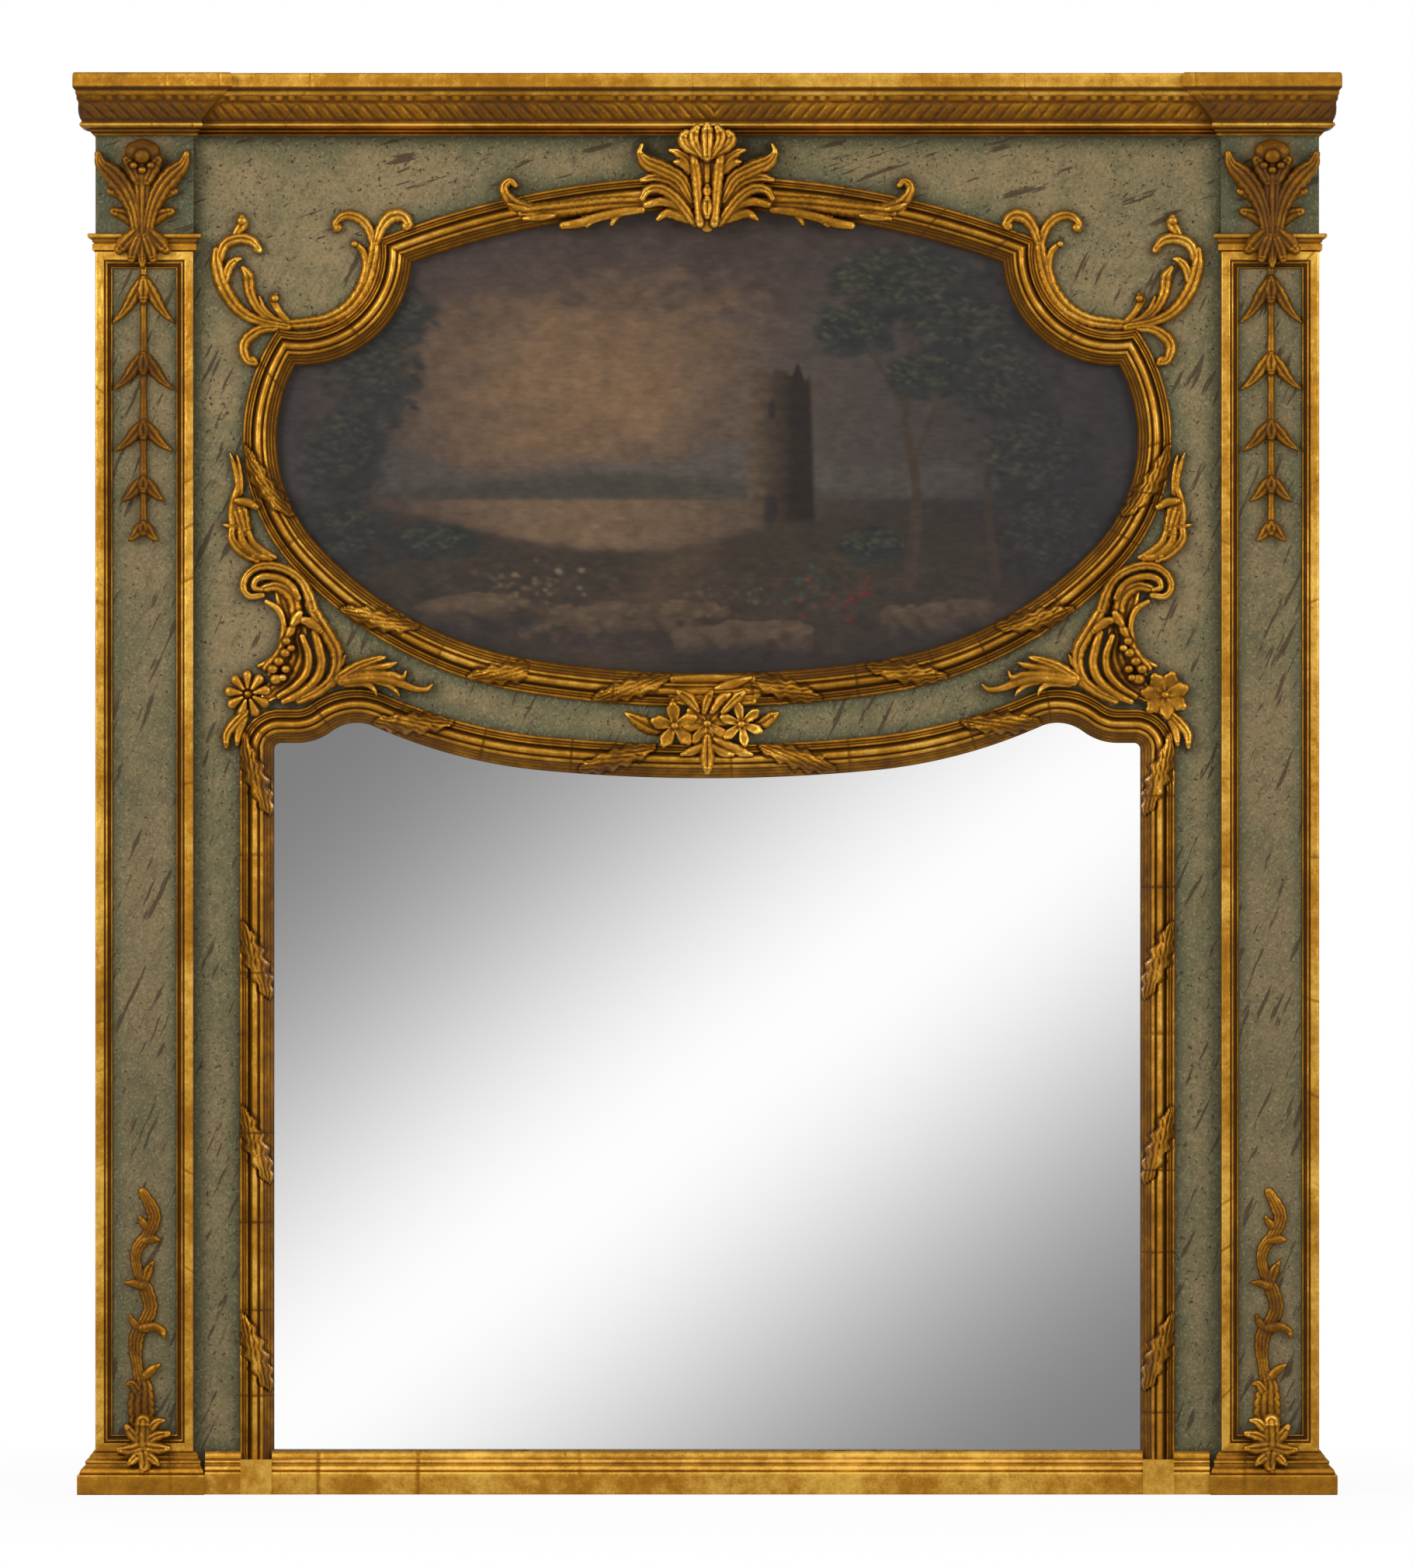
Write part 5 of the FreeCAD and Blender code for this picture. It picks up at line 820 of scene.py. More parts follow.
picture_grid, picture_way = chain_grid(picture_chain, ACROSS, MOULDING_STEP, COVERED)
moulding_piece("reeded_moulding_picture", picture_grid, picture_way,
               leaves_at(picture_grid, picture_way, PICTURE_LEAVES),
               ("picture_moulding", "picture_leaves"), True, 5, False)
top_grid, top_way = chain_grid(mirror_top_chain, ACROSS, MOULDING_STEP, COVERED)
moulding_piece("reeded_moulding_top", top_grid, top_way, leaves_at(top_grid, top_way, TOP_LEAVES),
               ("mirror_moulding_top", "mirror_leaves"), False, 6, True)
for side_name, side in SIDES:
    stile_grid, stile_way = chain_grid(stile_chain(side), ACROSS, MOULDING_STEP, COVERED)
    moulding_piece("reeded_moulding_" + side_name, stile_grid, stile_way, STILE_LEAVES,
                   ("mirror_moulding_" + side_name,), False, 7 + side, side == RIGHT)


# ---------------------------------------------------------------------------------------
# Cornice, caps and plinths: profiles that break forward round the pilasters
# ---------------------------------------------------------------------------------------
# Profiles as (height above the foot, overhang in front, outside, inside).
CORNICE_LEVELS = [
    (0, 12, 2, 6), (2.2, 13.5, 4, 7), (2.8, 12.6, 4, 7), (4.6, 14, 6, 8), (5.4, 16, 7, 9),
    (7.6, 16.6, 8, 9), (8.4, 20, 11, 10), (9.4, 25, 15, 11), (10.7, 28, 18, 12), (13, 30, 20, 13),
    (15.5, 29, 19, 12),
    (17, 26.5, 17, 11), (18, 26, 17, 11), (22, 27, 18, 13), (28, 28.5, 19, 17.5), (34, 31, 20, 22.5),
    (42, 34.5, 21, 30), (48, 38, 22, 36), (50, 40, 23, 38.5), (52, 42.5, 24, 41), (54.5, 43.5, 24.5, 43),
    (57, 44, 24, 45), (58.5, 44, 24, 46.5), (60, 47, 27.5, 49.5), (62, 48, 28, 51), (74, 48, 28, 51),
    (77.5, 47.6, 27.6, 50.6), (79.5, 46.5, 26.5, 49.5), (80, 45, 25, 48),
]
CAP_LEVELS = [(rise, out, out, out) for rise, out in (
    (0, 1), (1, 3), (2, 4), (9.5, 4), (10.2, 2), (11.5, 2), (12.4, 4), (14.5, 4.6), (16, 5.5), (17.5, 8),
    (18, 9.5), (19, 10), (22, 10), (23, 8.5))]
PLINTH_LEVELS = [(rise, out, out, inside) for rise, out, inside in (
    (0, 22.4, 14.6), (1, 23, 15), (24.5, 23, 15), (25.5, 22.4, 14.4), (26.2, 19, 12.6), (27, 19.5, 13),
    (29, 20, 13.2), (32, 18.6, 12.4), (34, 17, 11.5), (34.8, 15, 10.5), (37, 13, 9.5), (39.5, 12, 9),
    (41, 13, 9.6), (43, 12.8, 9.4), (44.5, 11, 8.4), (46, 8, 6.6), (47.5, 7.4, 6.2), (49.5, 7.4, 6.2),
    (51, 5.4, 5.2), (55, 3, 3))]
PROFILE_STEP = 1.6
CARVED_RUN_STEP = 2.0
PLAIN_RUN_STEP = 4.0


def levels_between(levels, step):
    """The profile with rows no further apart than step."""
    rows = [levels[0]]
    for low, high in zip(levels, levels[1:]):
        gap = math.dist(low[:2], high[:2])
        count = max(1, int(math.ceil(gap / step)))
        for k in range(1, count + 1):
            rows.append(tuple(a + (b - a) * k / count for a, b in zip(low, high)))
    return np.array(rows)


def block_path(front, outside, inside, inner_depth):
    """Corners of a left block in plan, from the wall round its front to the field."""
    return [(-PILASTER_OUTER - outside, 0), (-PILASTER_OUTER - outside, PILASTER_DEPTH + front),
            (-PILASTER_INNER + inside, PILASTER_DEPTH + front),
            (-PILASTER_INNER + inside, inner_depth(front))]


def profile_surface(rows, foot, corners_at, step, ornament, seed, level=0.38):
    """A profile run along a path in plan. Returns its grid of points and the hollow shade.

    corners_at gives the path's corners for one row of the profile; ornament adds to the
    overhang, given the way along a run, the run's length and the height."""
    plans = [corners_at(row) for row in rows]
    blocks, heights, marks = [], [], []
    for k in range(len(plans[0]) - 1):
        length = max(math.dist(plan[k], plan[k + 1]) for plan in plans)
        shares = np.linspace(0, 1, max(1, int(round(length / step))) + 1)[1 if k else 0:]
        crack = crack_marks(shares * length, length, CRACK_SPACING, seed + k, 1.3)
        block = np.empty((len(rows), len(shares), 3))
        height = np.empty((len(rows), len(shares)))
        for r, (row, plan) in enumerate(zip(rows, plans)):
            start, end = np.array(plan[k]), np.array(plan[k + 1])
            own_length = max(math.dist(start, end), 1e-6)
            way = (end - start) / own_length
            add = ornament(shares * own_length, own_length, row[0], k) - 0.4 * crack
            block[r, :, :2] = start + shares[:, None] * (end - start)
            block[r, :, 0] -= way[1] * add
            block[r, :, 1] += way[0] * add
            block[r, :, 2] = foot + row[0]
            height[r] = row[1] + add
        blocks.append(block)
        heights.append(height)
        marks.append(np.broadcast_to(crack, height.shape))
    points, height, crack = [np.concatenate(parts, axis=1) for parts in (blocks, heights, marks)]
    return points, np.maximum(hollows(height, 3, 2, 6.0, level), 0.5 * crack)


def no_ornament(way, length, rise, run):
    return np.zeros_like(way)


LEAF_BAND = (19.5, 43.5)
DROP_BAND = (43.0, 50.5)
LEAF_PITCH = 17.0
LEAF_SLANT = 0.85
DROP_PERIOD = 76


def cornice_ornament(lean_at, anchor):
    """Slanting leaves below a row of drops; lean_at gives the leaves' lean along a run."""
    def add(run_way, length, rise, run):
        way = run_way - anchor * length
        total = np.zeros_like(way)
        ends = np.clip(np.minimum(run_way, length - run_way) / 10, 0, 1)
        low, high = LEAF_BAND
        if low < rise < high:
            t = (rise - low) / (high - low)
            lean = lean_at(run_way, length, run)
            phase = (way - lean * LEAF_SLANT * (rise - low)) / LEAF_PITCH
            phase = phase + 0.10 * lattice_noise(way, np.full_like(way, rise), 30, 17)
            saw = phase - np.floor(phase)
            leaf = 3.6 * np.sin(np.pi * saw) ** 0.6
            vein = -1.2 * np.exp(-((saw - 0.5) / 0.09) ** 2)
            total = (leaf + vein) * math.sin(math.pi * min(t * 1.02 + 0.08, 1)) ** 0.5
            total = total - 1.0
        low, high = DROP_BAND
        if low <= rise < high:
            t = (rise - low) / (high - low)
            place = (way + 19) % DROP_PERIOD
            wide = np.abs(place - DROP_PERIOD / 2) < 15
            bead = np.abs(((place - 8) % 15) - 7.5) / 5.0
            drop = np.where(wide, np.sqrt(np.clip(1 - ((place - DROP_PERIOD / 2) / 15) ** 2, 0, 1)),
                            np.sqrt(np.clip(1 - bead ** 2, 0, 1)))
            total = 3.4 * drop * math.sqrt(max(0.0, 1 - (2 * t - 1) ** 2)) - 1.6
        return total * ends
    return add


def break_lean(way, length, run):
    return np.full_like(way, -1.0)


def main_lean(way, length, run):
    return np.where(way < length / 2 + 8, -1.0, 1.0)


# How much the gilding darkens at each height of the cornice: bands, leaves and dark lines. It is painted
# shade, darkest under the steps that face down; the bead and fascia are lighter.
CORNICE_TONES = [(0, -0.3), (2.2, -0.3), (2.8, 0.5), (4.4, 0.5), (5.2, -0.1), (7.4, 0.0), (8.2, 0.6),
                 (9.4, -0.3), (17, -0.3), (19, 0.45), (23, 0.28), (40, 0.20), (44, 0.10), (49, 0.05),
                 (51, -0.2), (55.5, -0.2), (57, 0.5), (61, 0.4), (62.5, -0.2), (80, -0.2)]
BREAK_TONE = 0.16


def toned(hollow, rows, tones):
    """The hollow shade with the tone of each height of a profile added."""
    return np.clip(hollow + table_at(tones, rows[:, 0])[:, None], 0, 1)


def profile_piece(name, points, hollow, replaced):
    """One profiled block, its top and foot closed with flat faces."""
    rows, columns = points.shape[:2]
    flat = points.reshape(-1, 3)
    first, last = flat[(rows - 1) * columns], flat[-1]
    back = min(first[1], last[1])
    start = len(flat)
    top = list(range((rows - 1) * columns, start)) + [start, start + 1]
    foot = list(range(columns)) + [start + 2, start + 3]
    quads = grid_faces(rows, columns, flip=True).tolist() + [top[::-1], foot]
    flat = np.vstack([flat, [(last[0], back, last[2]), (first[0], back, first[2]),
                             (flat[columns - 1][0], back, flat[0][2]), (flat[0][0], back, flat[0][2])]])
    return piece(name, flat, quads, GILT_CASE, replaced,
                 {"hollow": np.concatenate([hollow.ravel(), [0.4] * 4])}, sharp=38)


def mirror_points(points):
    """The grid of a left block on the right, its path reversed so that it still faces out."""
    return (points * np.array([-1, 1, 1]))[:, ::-1]


def to_field(front):
    return FIELD_DEPTH


def block_corners(inner_depth):
    return lambda row: block_path(row[1], row[2], row[3], inner_depth)


CASE_BLOCKS = [
    ("cornice_break", CORNICE_LEVELS, CORNICE_FOOT, lambda front: FIELD_DEPTH + front,
     cornice_ornament(break_lean, 0), CARVED_RUN_STEP),
    ("pilaster_cap", CAP_LEVELS, PILASTER_TOP, to_field, no_ornament, PLAIN_RUN_STEP),
    ("plinth", PLINTH_LEVELS, 0, to_field, no_ornament, PLAIN_RUN_STEP),
]
for block_name, levels, foot, inner_depth, ornament, step in CASE_BLOCKS:
    rows = levels_between(levels, PROFILE_STEP)
    points, hollow = profile_surface(rows, foot, block_corners(inner_depth), step, ornament, 30)
    if block_name == "cornice_break":
        hollow = toned(hollow + BREAK_TONE, rows, CORNICE_TONES)
    for side_name, side in SIDES:
        placed = points if side == LEFT else mirror_points(points)
        shade = hollow if side == LEFT else hollow[:, ::-1]
        node = "%s_%s" % (block_name, side_name)
        profile_piece("gilt_" + node, placed, shade, (node,))


def straight_corners(ends_at):
    """The path of a straight run before the field, its ends given for each row."""
    return lambda row: [(x, FIELD_DEPTH + row[1]) for x in ends_at(row)]


def main_ends(row):
    return row[3] - PILASTER_INNER, PILASTER_INNER - row[3]


rows = levels_between(CORNICE_LEVELS, PROFILE_STEP)
points, hollow = profile_surface(rows, CORNICE_FOOT, straight_corners(main_ends), CARVED_RUN_STEP,
                                 cornice_ornament(main_lean, 0.5), 50)
profile_piece("gilt_cornice_main", points, toned(hollow, rows, CORNICE_TONES), ("cornice_main",))

# Base rail: the same profile with flatter steps, in three runs between plinths and blocks.
RAIL_LEVELS = [
    (0, 27.4), (1, 28), (27.5, 28), (28.6, 27.4), (29.2, 23), (30, 23), (32, 24), (35, 23), (37, 21),
    (37.6, 18.4), (39.5, 17.4), (41, 18.6), (43, 18.2), (44.4, 16), (46, 11.4), (47, 11), (49, 10.6),
    (51.5, 9.6), (55, 6),
]
BLOCK_OUTER = SIGHT_HALF + MOULDING_WIDTH
RAIL_END = PILASTER_INNER - PLINTH_LEVELS[1][3]
RAIL_OVERLAP = 2
rail_rows = levels_between([(z, stand, 0, 0) for z, stand in RAIL_LEVELS], PROFILE_STEP)
flat, quads, shade = [], [], []
middle_end, side_end = SIGHT_HALF + RAIL_OVERLAP, BLOCK_OUTER - RAIL_OVERLAP
for ends in ((-RAIL_END, -side_end), (-middle_end, middle_end), (side_end, RAIL_END)):
    points, hollow = profile_surface(rail_rows, 0, straight_corners(lambda row, ends=ends: ends),
                                     PLAIN_RUN_STEP, no_ornament, 60, 0.16)
    quads.extend(grid_faces(*points.shape[:2], len(flat), flip=True).tolist())
    flat.extend(points.reshape(-1, 3).tolist())
    shade.extend(hollow.ravel().tolist())
piece("gilt_base_rail", np.array(flat), quads, GILT_CASE, ("base_rail",),
      {"hollow": shade}, sharp=38)

# Gilt borders of the pilasters, as (distance in from the edge, stand from the pilaster).
BORDER_SECTION = [
    (0, 0), (0, 4.6), (0.7, 5.7), (2, 6), (10.4, 6), (11.3, 5.6), (11.7, 4), (12.7, 4), (13.1, 5.2),
    (14.2, 6), (15.3, 5.6), (16, 4.6), (16.6, 2.4), (18.8, 1.8), (19.5, 3.6), (20.6, 4.8), (21.8, 4.2),
    (22.5, 2.4), (22.5, 0),
]
BORDER_STEP = 3
# How much the gilding of a border darkens at each distance in from the edge: patina and painted shade,
# darkest in the grooves.
BORDER_TONES = [(0, 0.1), (10.6, 0.1), (11.5, 0.7), (12.8, 0.75), (13.6, 0.25), (15.4, 0.25), (16.2, 0.95),
                (19, 1.0), (20, 0.35), (22, 0.4), (22.5, 0.8)]


def border_piece(side_name, side):
    half = (PILASTER_OUTER - PILASTER_INNER) / 2
    rows = levels_between([(a, b, 0, 0) for a, b in BORDER_SECTION], 1.0)
    inset, stand = rows[:, 0], rows[:, 1]
    corners = [(-1, PLINTH_HEIGHT, 1), (1, PLINTH_HEIGHT, 1), (1, PILASTER_TOP, -1), (-1, PILASTER_TOP, -1)]
    corners = [(x * (half - inset), z + inward * inset) for x, z, inward in corners]
    grid, way, total = [], [], 0
    for k, length in enumerate((2 * half, PILASTER_TOP - PLINTH_HEIGHT) * 2):
        (ax, az), (bx, bz) = corners[k], corners[(k + 1) % 4]
        count = int(length / BORDER_STEP)
        for share in np.arange(count) / count:
            grid.append(np.stack([side * PILASTER_CENTRE + ax + share * (bx - ax), PILASTER_DEPTH + stand,
                                  az + share * (bz - az)], axis=1))
            way.append(total + share * length)
        total += length
    points, way = np.array(grid), np.array(way)
    height = points[..., 1].copy()
    along, across = np.broadcast_arrays(way[:, None], inset[None, :])
    worn = 0.18 * lattice_noise(along, across * 3, 11, 70 + side)
    mark = crack_marks(way, total, 120, 80 + side, 1.1)[:, None]
    tones = table_at(BORDER_TONES, inset)[None, :] + 0.12 * lattice_noise(along, 0 * height, 60, 9)
    hollow = np.clip(np.maximum(tones, 0.4 * mark), 0, 1)
    points[..., 1] = height - CRACK_DEPTH * mark + worn * (height > PILASTER_DEPTH + 1)
    piece("gilt_border_" + side_name, points.reshape(-1, 3), grid_faces(*points.shape[:2], closed=True),
          GILT_BORDER, ("pilaster_frame_" + side_name,), {"hollow": hollow.ravel()})


for side_name, side in SIDES:
    border_piece(side_name, side)


# ---------------------------------------------------------------------------------------
# Carvings: a carver's strokes, each a fluted leaf or scroll raised from the ground
# ---------------------------------------------------------------------------------------
# Each stroke is (height, [(x, z, width), ...]) along its middle, drawn for the left side, and
# may name its form: a fluted leaf, a dished petal, a round bead or a hollowed gorge.
LEAF, PETAL, BEAD, GORGE = "leaf", "petal", "bead", "gorge"


def bead(x, z, width, height):
    return (height, [(x - 1, z, width), (x, z, width), (x + 1, z, width)], BEAD)


def form_of(stroke):
    return stroke[2] if len(stroke) > 2 else LEAF


def changed(strokes, change):
    """Strokes with every (x, z, width) changed."""
    return [(stroke[0], [change(*point) for point in stroke[1]], form_of(stroke)) for stroke in strokes]


def mirrored_strokes(strokes, middle):
    return changed(strokes, lambda x, z, width: (2 * middle - x, z, width))


def moved_strokes(strokes, shift):
    return changed(strokes, lambda x, z, width: (x + shift, z, width))


def fuller(strokes, share):
    """Strokes with every width grown by a share."""
    return changed(strokes, lambda x, z, width: (x, z, width * share))


ROSETTE_PETAL = ((0.30, 0.35), (0.58, 0.8), (0.84, 1.05))
FLOWER_PETAL = ((0.1, 0.35), (0.55, 0.85), (0.85, 1), (1, 0.55))


def petal_ring(centre, petals, length, width, height, start, outline, form):
    """Petals about a centre, each drawn by an outline of (share of length, share of width)."""
    angles = [math.radians(start + 360 * i / petals) for i in range(petals)]
    return [(height, [(centre[0] + share * length * math.cos(angle),
                       centre[1] + share * length * math.sin(angle), breadth * width)
                      for share, breadth in outline], form) for angle in angles]


def rosette(centre, petals, length, width, height, start):
    """A flower of round full petals about a sunk eye."""
    eye = bead(*centre, 0.5 * length, height - 5)
    return [eye] + petal_ring(centre, petals, length, width, height, start, ROSETTE_PETAL, BEAD)


def flower(centre, petals, length, width, height, start):
    """A flower of dished petals with a round eye."""
    eye = bead(*centre, 2 * (length * 0.17), height)
    return petal_ring(centre, petals, length, width, height, start, FLOWER_PETAL, PETAL) + [eye]


UPPER_SCROLL = [
    (11, [(-566, 1503, 4), (-545, 1507, 10), (-520, 1509, 12), (-490, 1514, 13), (-462, 1530, 15),
          (-443, 1556, 16), (-433, 1585, 14), (-429, 1610, 12), (-430, 1625, 10)]),
    (12, [(-430, 1612, 10), (-437, 1632, 11), (-450, 1645, 11), (-466, 1648, 10), (-478, 1640, 8),
          (-479, 1630, 7)]),
    (14, [(-427, 1612, 8), (-420, 1632, 12), (-408, 1646, 15), (-393, 1647, 13), (-384, 1636, 9),
          (-387, 1630, 3)]),
    (10, [(-446, 1556, 10), (-440, 1580, 9), (-443, 1600, 8), (-455, 1613, 5)]),
    (9, [(-540, 1510, 8), (-552, 1524, 8), (-560, 1540, 9), (-556, 1546, 4)]),
    (11, [(-545, 1508, 8), (-572, 1520, 10), (-588, 1545, 12), (-592, 1570, 12), (-598, 1580, 6)]),
    (9, [(-555, 1512, 6), (-570, 1526, 6), (-577, 1543, 3)]),
    (13, [(-540, 1504, 8), (-575, 1511, 10), (-602, 1525, 13), (-622, 1552, 15), (-632, 1582, 14),
          (-633, 1603, 8)]),
    (14, [(-630, 1590, 10), (-622, 1610, 12), (-605, 1618, 12), (-587, 1615, 11), (-577, 1603, 7)]),
    (11, [(-612, 1614, 5), (-606, 1626, 10), (-599, 1636, 13), (-600, 1645, 8)]),
    (10, [(-622, 1560, 8), (-617, 1580, 11), (-608, 1590, 8), (-601, 1592, 3)]),
    (12, [(-556, 1503, 8), (-575, 1501, 11), (-592, 1490, 13), (-598, 1476, 12), (-592, 1461, 10),
          (-582, 1457, 6)]),
]
CREST_HALF = [
    (30, [(-20, 1668, 16), (-35, 1694, 22), (-58, 1707, 24), (-78, 1716, 20), (-87, 1728, 9),
          (-84, 1738, 5)]),
    (26, [(-18, 1660, 14), (-42, 1688, 18), (-65, 1696, 16), (-84, 1693, 7)]),
    (32, [(-18, 1640, 14), (-38, 1666, 16), (-58, 1681, 14), (-76, 1680, 12), (-84, 1669, 8)]),
    (29, [(-16, 1638, 12), (-38, 1659, 13), (-58, 1665, 12), (-78, 1661, 10)]),
    (27, [(-12, 1638, 10), (-34, 1646, 14), (-52, 1650, 12), (-64, 1642, 6)]),
    (33, [(-12, 1698, 14), (-24, 1718, 18), (-38, 1728, 12), (-48, 1731, 5)]),
    (31, [(-14, 1700, 10), (-32, 1714, 12), (-42, 1716, 5)]),
    (36, [(-9, 1636, 12), (-11, 1668, 13), (-14, 1700, 14), (-17, 1724, 12)]),
]
HOOD_SIDE = [
    (47, [(-9, 1724, 8), (-26, 1736, 15), (-31, 1746, 15), (-27, 1753, 9)]),
    (50, [(-5, 1722, 9), (-15, 1738, 16), (-17, 1750, 17), (-13, 1759, 10)]),
]
CREST_MIDDLE = [
    (37, [(0, 1633, 18), (0, 1660, 34), (0, 1690, 46), (0, 1712, 50), (0, 1726, 44)]),
] + HOOD_SIDE + mirrored_strokes(HOOD_SIDE, 0) + [
    (53, [(0, 1720, 12), (0, 1738, 18), (0, 1753, 18), (0, 1762, 10)]),
    (46, [(0, 1645, 8), (0, 1657, 18), (0, 1669, 8)]),
    (43, [(0, 1671, 6), (0, 1678, 13), (0, 1685, 6)]),
]
CREST_BRANCH = [
    (27, [(-84, 1664, 18), (-130, 1662, 19), (-175, 1657, 20), (-225, 1652, 18), (-240, 1650, 8)]),
    (30, [(-84, 1655, 9), (-110, 1652, 11), (-140, 1645, 11), (-166, 1637, 11), (-186, 1634, 9)]),
    (27, [(-104, 1654, 7), (-117, 1647, 9), (-123, 1636, 5)]),
    (27, [(-130, 1650, 7), (-147, 1642, 9), (-155, 1634, 5)]),
    (26, [(-222, 1654, 14), (-245, 1660, 17), (-258, 1672, 13), (-262, 1684, 11), (-254, 1692, 9),
          (-247, 1686, 6)]),
    (28, [(-198, 1647, 6), (-216, 1645, 9), (-236, 1643, 5)]),
    (28, [(-232, 1655, 8), (-246, 1658, 8), (-256, 1662, 4)]),
]
SIDE_LEAF = [
    (11, [(-604, 1288, 10), (-606, 1308, 8), (-610, 1326, 7), (-615, 1341, 3)]),
    (10, [(-601, 1290, 7), (-601, 1310, 6), (-604, 1330, 5), (-606, 1338, 3)]),
    (12, [(-606, 1296, 8), (-611, 1278, 10), (-613, 1262, 10), (-612, 1245, 8)]),
    (16, [(-607, 1280, 8), (-592, 1278, 11), (-581, 1272, 8)]),
    (14, [(-603, 1270, 22), (-599, 1255, 20), (-595, 1240, 15)]),
    (11, [(-600, 1246, 12), (-612, 1247, 8), (-624, 1249, 3)]),
    (13, [(-612, 1248, 8), (-612, 1230, 12), (-598, 1214, 14), (-580, 1203, 8)]),
    (14, [(-602, 1244, 8), (-598, 1226, 11), (-582, 1211, 12), (-563, 1206, 8)]),
    (13, [(-592, 1243, 7), (-586, 1227, 9), (-572, 1214, 10), (-557, 1207, 6)]),
]
LOWER_BRACKET = [
    (20, [(-573, 1158, 8), (-590, 1157, 9), (-598, 1168, 10), (-594, 1183, 10), (-580, 1194, 11),
          (-560, 1196, 12), (-540, 1190, 12), (-524, 1178, 12), (-514, 1160, 14), (-508, 1140, 16)]),
    (17, [(-575, 1165, 7), (-584, 1168, 8), (-582, 1178, 9), (-570, 1183, 10), (-550, 1180, 10),
          (-535, 1170, 10), (-527, 1155, 10)]),
    (15, [(-574, 1166, 12), (-556, 1170, 16), (-540, 1162, 20), (-532, 1148, 20), (-530, 1130, 18)]),
    (16, [(-568, 1150, 7), (-553, 1140, 9), (-546, 1122, 9), (-547, 1105, 9), (-553, 1085, 9),
          (-566, 1072, 9), (-578, 1067, 6)]),
    (14, [(-545, 1160, 24), (-535, 1130, 32), (-532, 1100, 34), (-530, 1075, 38), (-545, 1048, 34),
          (-566, 1030, 18)], GORGE),
    (18, [(-512, 1146, 16), (-500, 1125, 18), (-488, 1105, 20), (-479, 1088, 20), (-477, 1070, 18),
          (-484, 1050, 16), (-502, 1034, 14), (-526, 1022, 10)]),
    (19, [(-506, 1110, 10), (-500, 1090, 12), (-497, 1070, 12), (-504, 1050, 12), (-522, 1033, 12),
          (-546, 1021, 8)]),
    (17, [(-522, 1105, 9), (-514, 1082, 11), (-516, 1060, 11), (-530, 1042, 11), (-552, 1028, 8)]),
    (20, [(-498, 1112, 10), (-510, 1122, 14), (-524, 1127, 8)]),
    (15, [(-482, 1058, 10), (-472, 1070, 9), (-466, 1081, 3)]),
    (16, [(-528, 1024, 12), (-498, 1038, 14), (-478, 1050, 16), (-466, 1056, 14)]),
    (21, [(-525, 1135, 9), (-529, 1128, 15), (-534, 1121, 9)], BEAD),
    (17, [(-533, 1118, 7), (-537, 1112, 13), (-541, 1105, 7)], BEAD),
    (17, [(-542, 1104, 7), (-545, 1097, 12), (-550, 1090, 7)], BEAD),
    (16, [(-549, 1090, 7), (-553, 1083, 12), (-559, 1076, 7)], BEAD),
    (16, [(-558, 1077, 7), (-564, 1070, 12), (-570, 1064, 7)], BEAD),
    (16, [(-545, 1085, 6), (-549, 1078, 10), (-554, 1071, 6)], BEAD),
    (15, [(-553, 1070, 6), (-558, 1063, 10), (-564, 1057, 6)], BEAD),
    (17, [(-475, 1052, 14), (-450, 1067, 15), (-425, 1076, 10), (-415, 1078, 4)]),
    (15, [(-472, 1056, 12), (-440, 1063, 12), (-415, 1067, 10), (-401, 1071, 4)]),
    (16, [(-476, 1050, 14), (-440, 1055, 14), (-410, 1055, 12), (-393, 1052, 8), (-388, 1060, 3)]),
    (17, [(-472, 1047, 12), (-430, 1051, 12), (-400, 1046, 12), (-378, 1038, 9), (-362, 1037, 7),
          (-354, 1043, 3)]),
    (14, [(-466, 1044, 10), (-442, 1045, 10), (-430, 1038, 7), (-426, 1030, 3)]),
    (14, [(-432, 1048, 8), (-412, 1043, 8), (-401, 1035, 6), (-397, 1029, 3)]),
]
LEFT_ROSETTE = rosette((-592, 1031), 9, 29, 13, 16, 92)
RIGHT_ROSETTE = flower((590, 1030), 7, 27, 22, 17, 70)
CORNER_LEAF = [
    (14, [(-594, 1008, 10), (-608, 994, 16), (-619, 979, 13), (-620, 963, 7)]),
    (12, [(-596, 1000, 10), (-604, 983, 12), (-606, 966, 6)]),
]
CENTRE_FLOWERS = [
    (13, [(-58, 984, 14), (-76, 990, 22), (-92, 998, 17), (-105, 1006, 5)]),
    (12, [(58, 988, 12), (72, 994, 18), (84, 1002, 16), (90, 1006, 7)]),
    (27, [(0, 975, 12), (0, 950, 22), (0, 931, 9)]),
    (24, [(4, 968, 8), (-18, 958, 12), (-33, 953, 5)]),
    (24, [(-2, 968, 8), (20, 956, 12), (33, 953, 5)]),
    (24, [(10, 972, 8), (32, 962, 13), (46, 956, 12), (57, 953, 5)]),
    (24, [(-12, 1010, 8), (-24, 1025, 17), (-38, 1034, 8)]),
    (24, [(-4, 1008, 8), (0, 1022, 15), (5, 1033, 8)]),
    (24, [(6, 1008, 8), (18, 1024, 14), (28, 1030, 7)]),
    (24, [(20, 1008, 8), (36, 1024, 15), (47, 1033, 8)]),
] + flower((0, 993), 8, 28, 15, 16, 10) + flower((-42, 990), 5, 27, 20, 14, 95) \
  + flower((44, 992), 6, 26, 14, 14, 40)
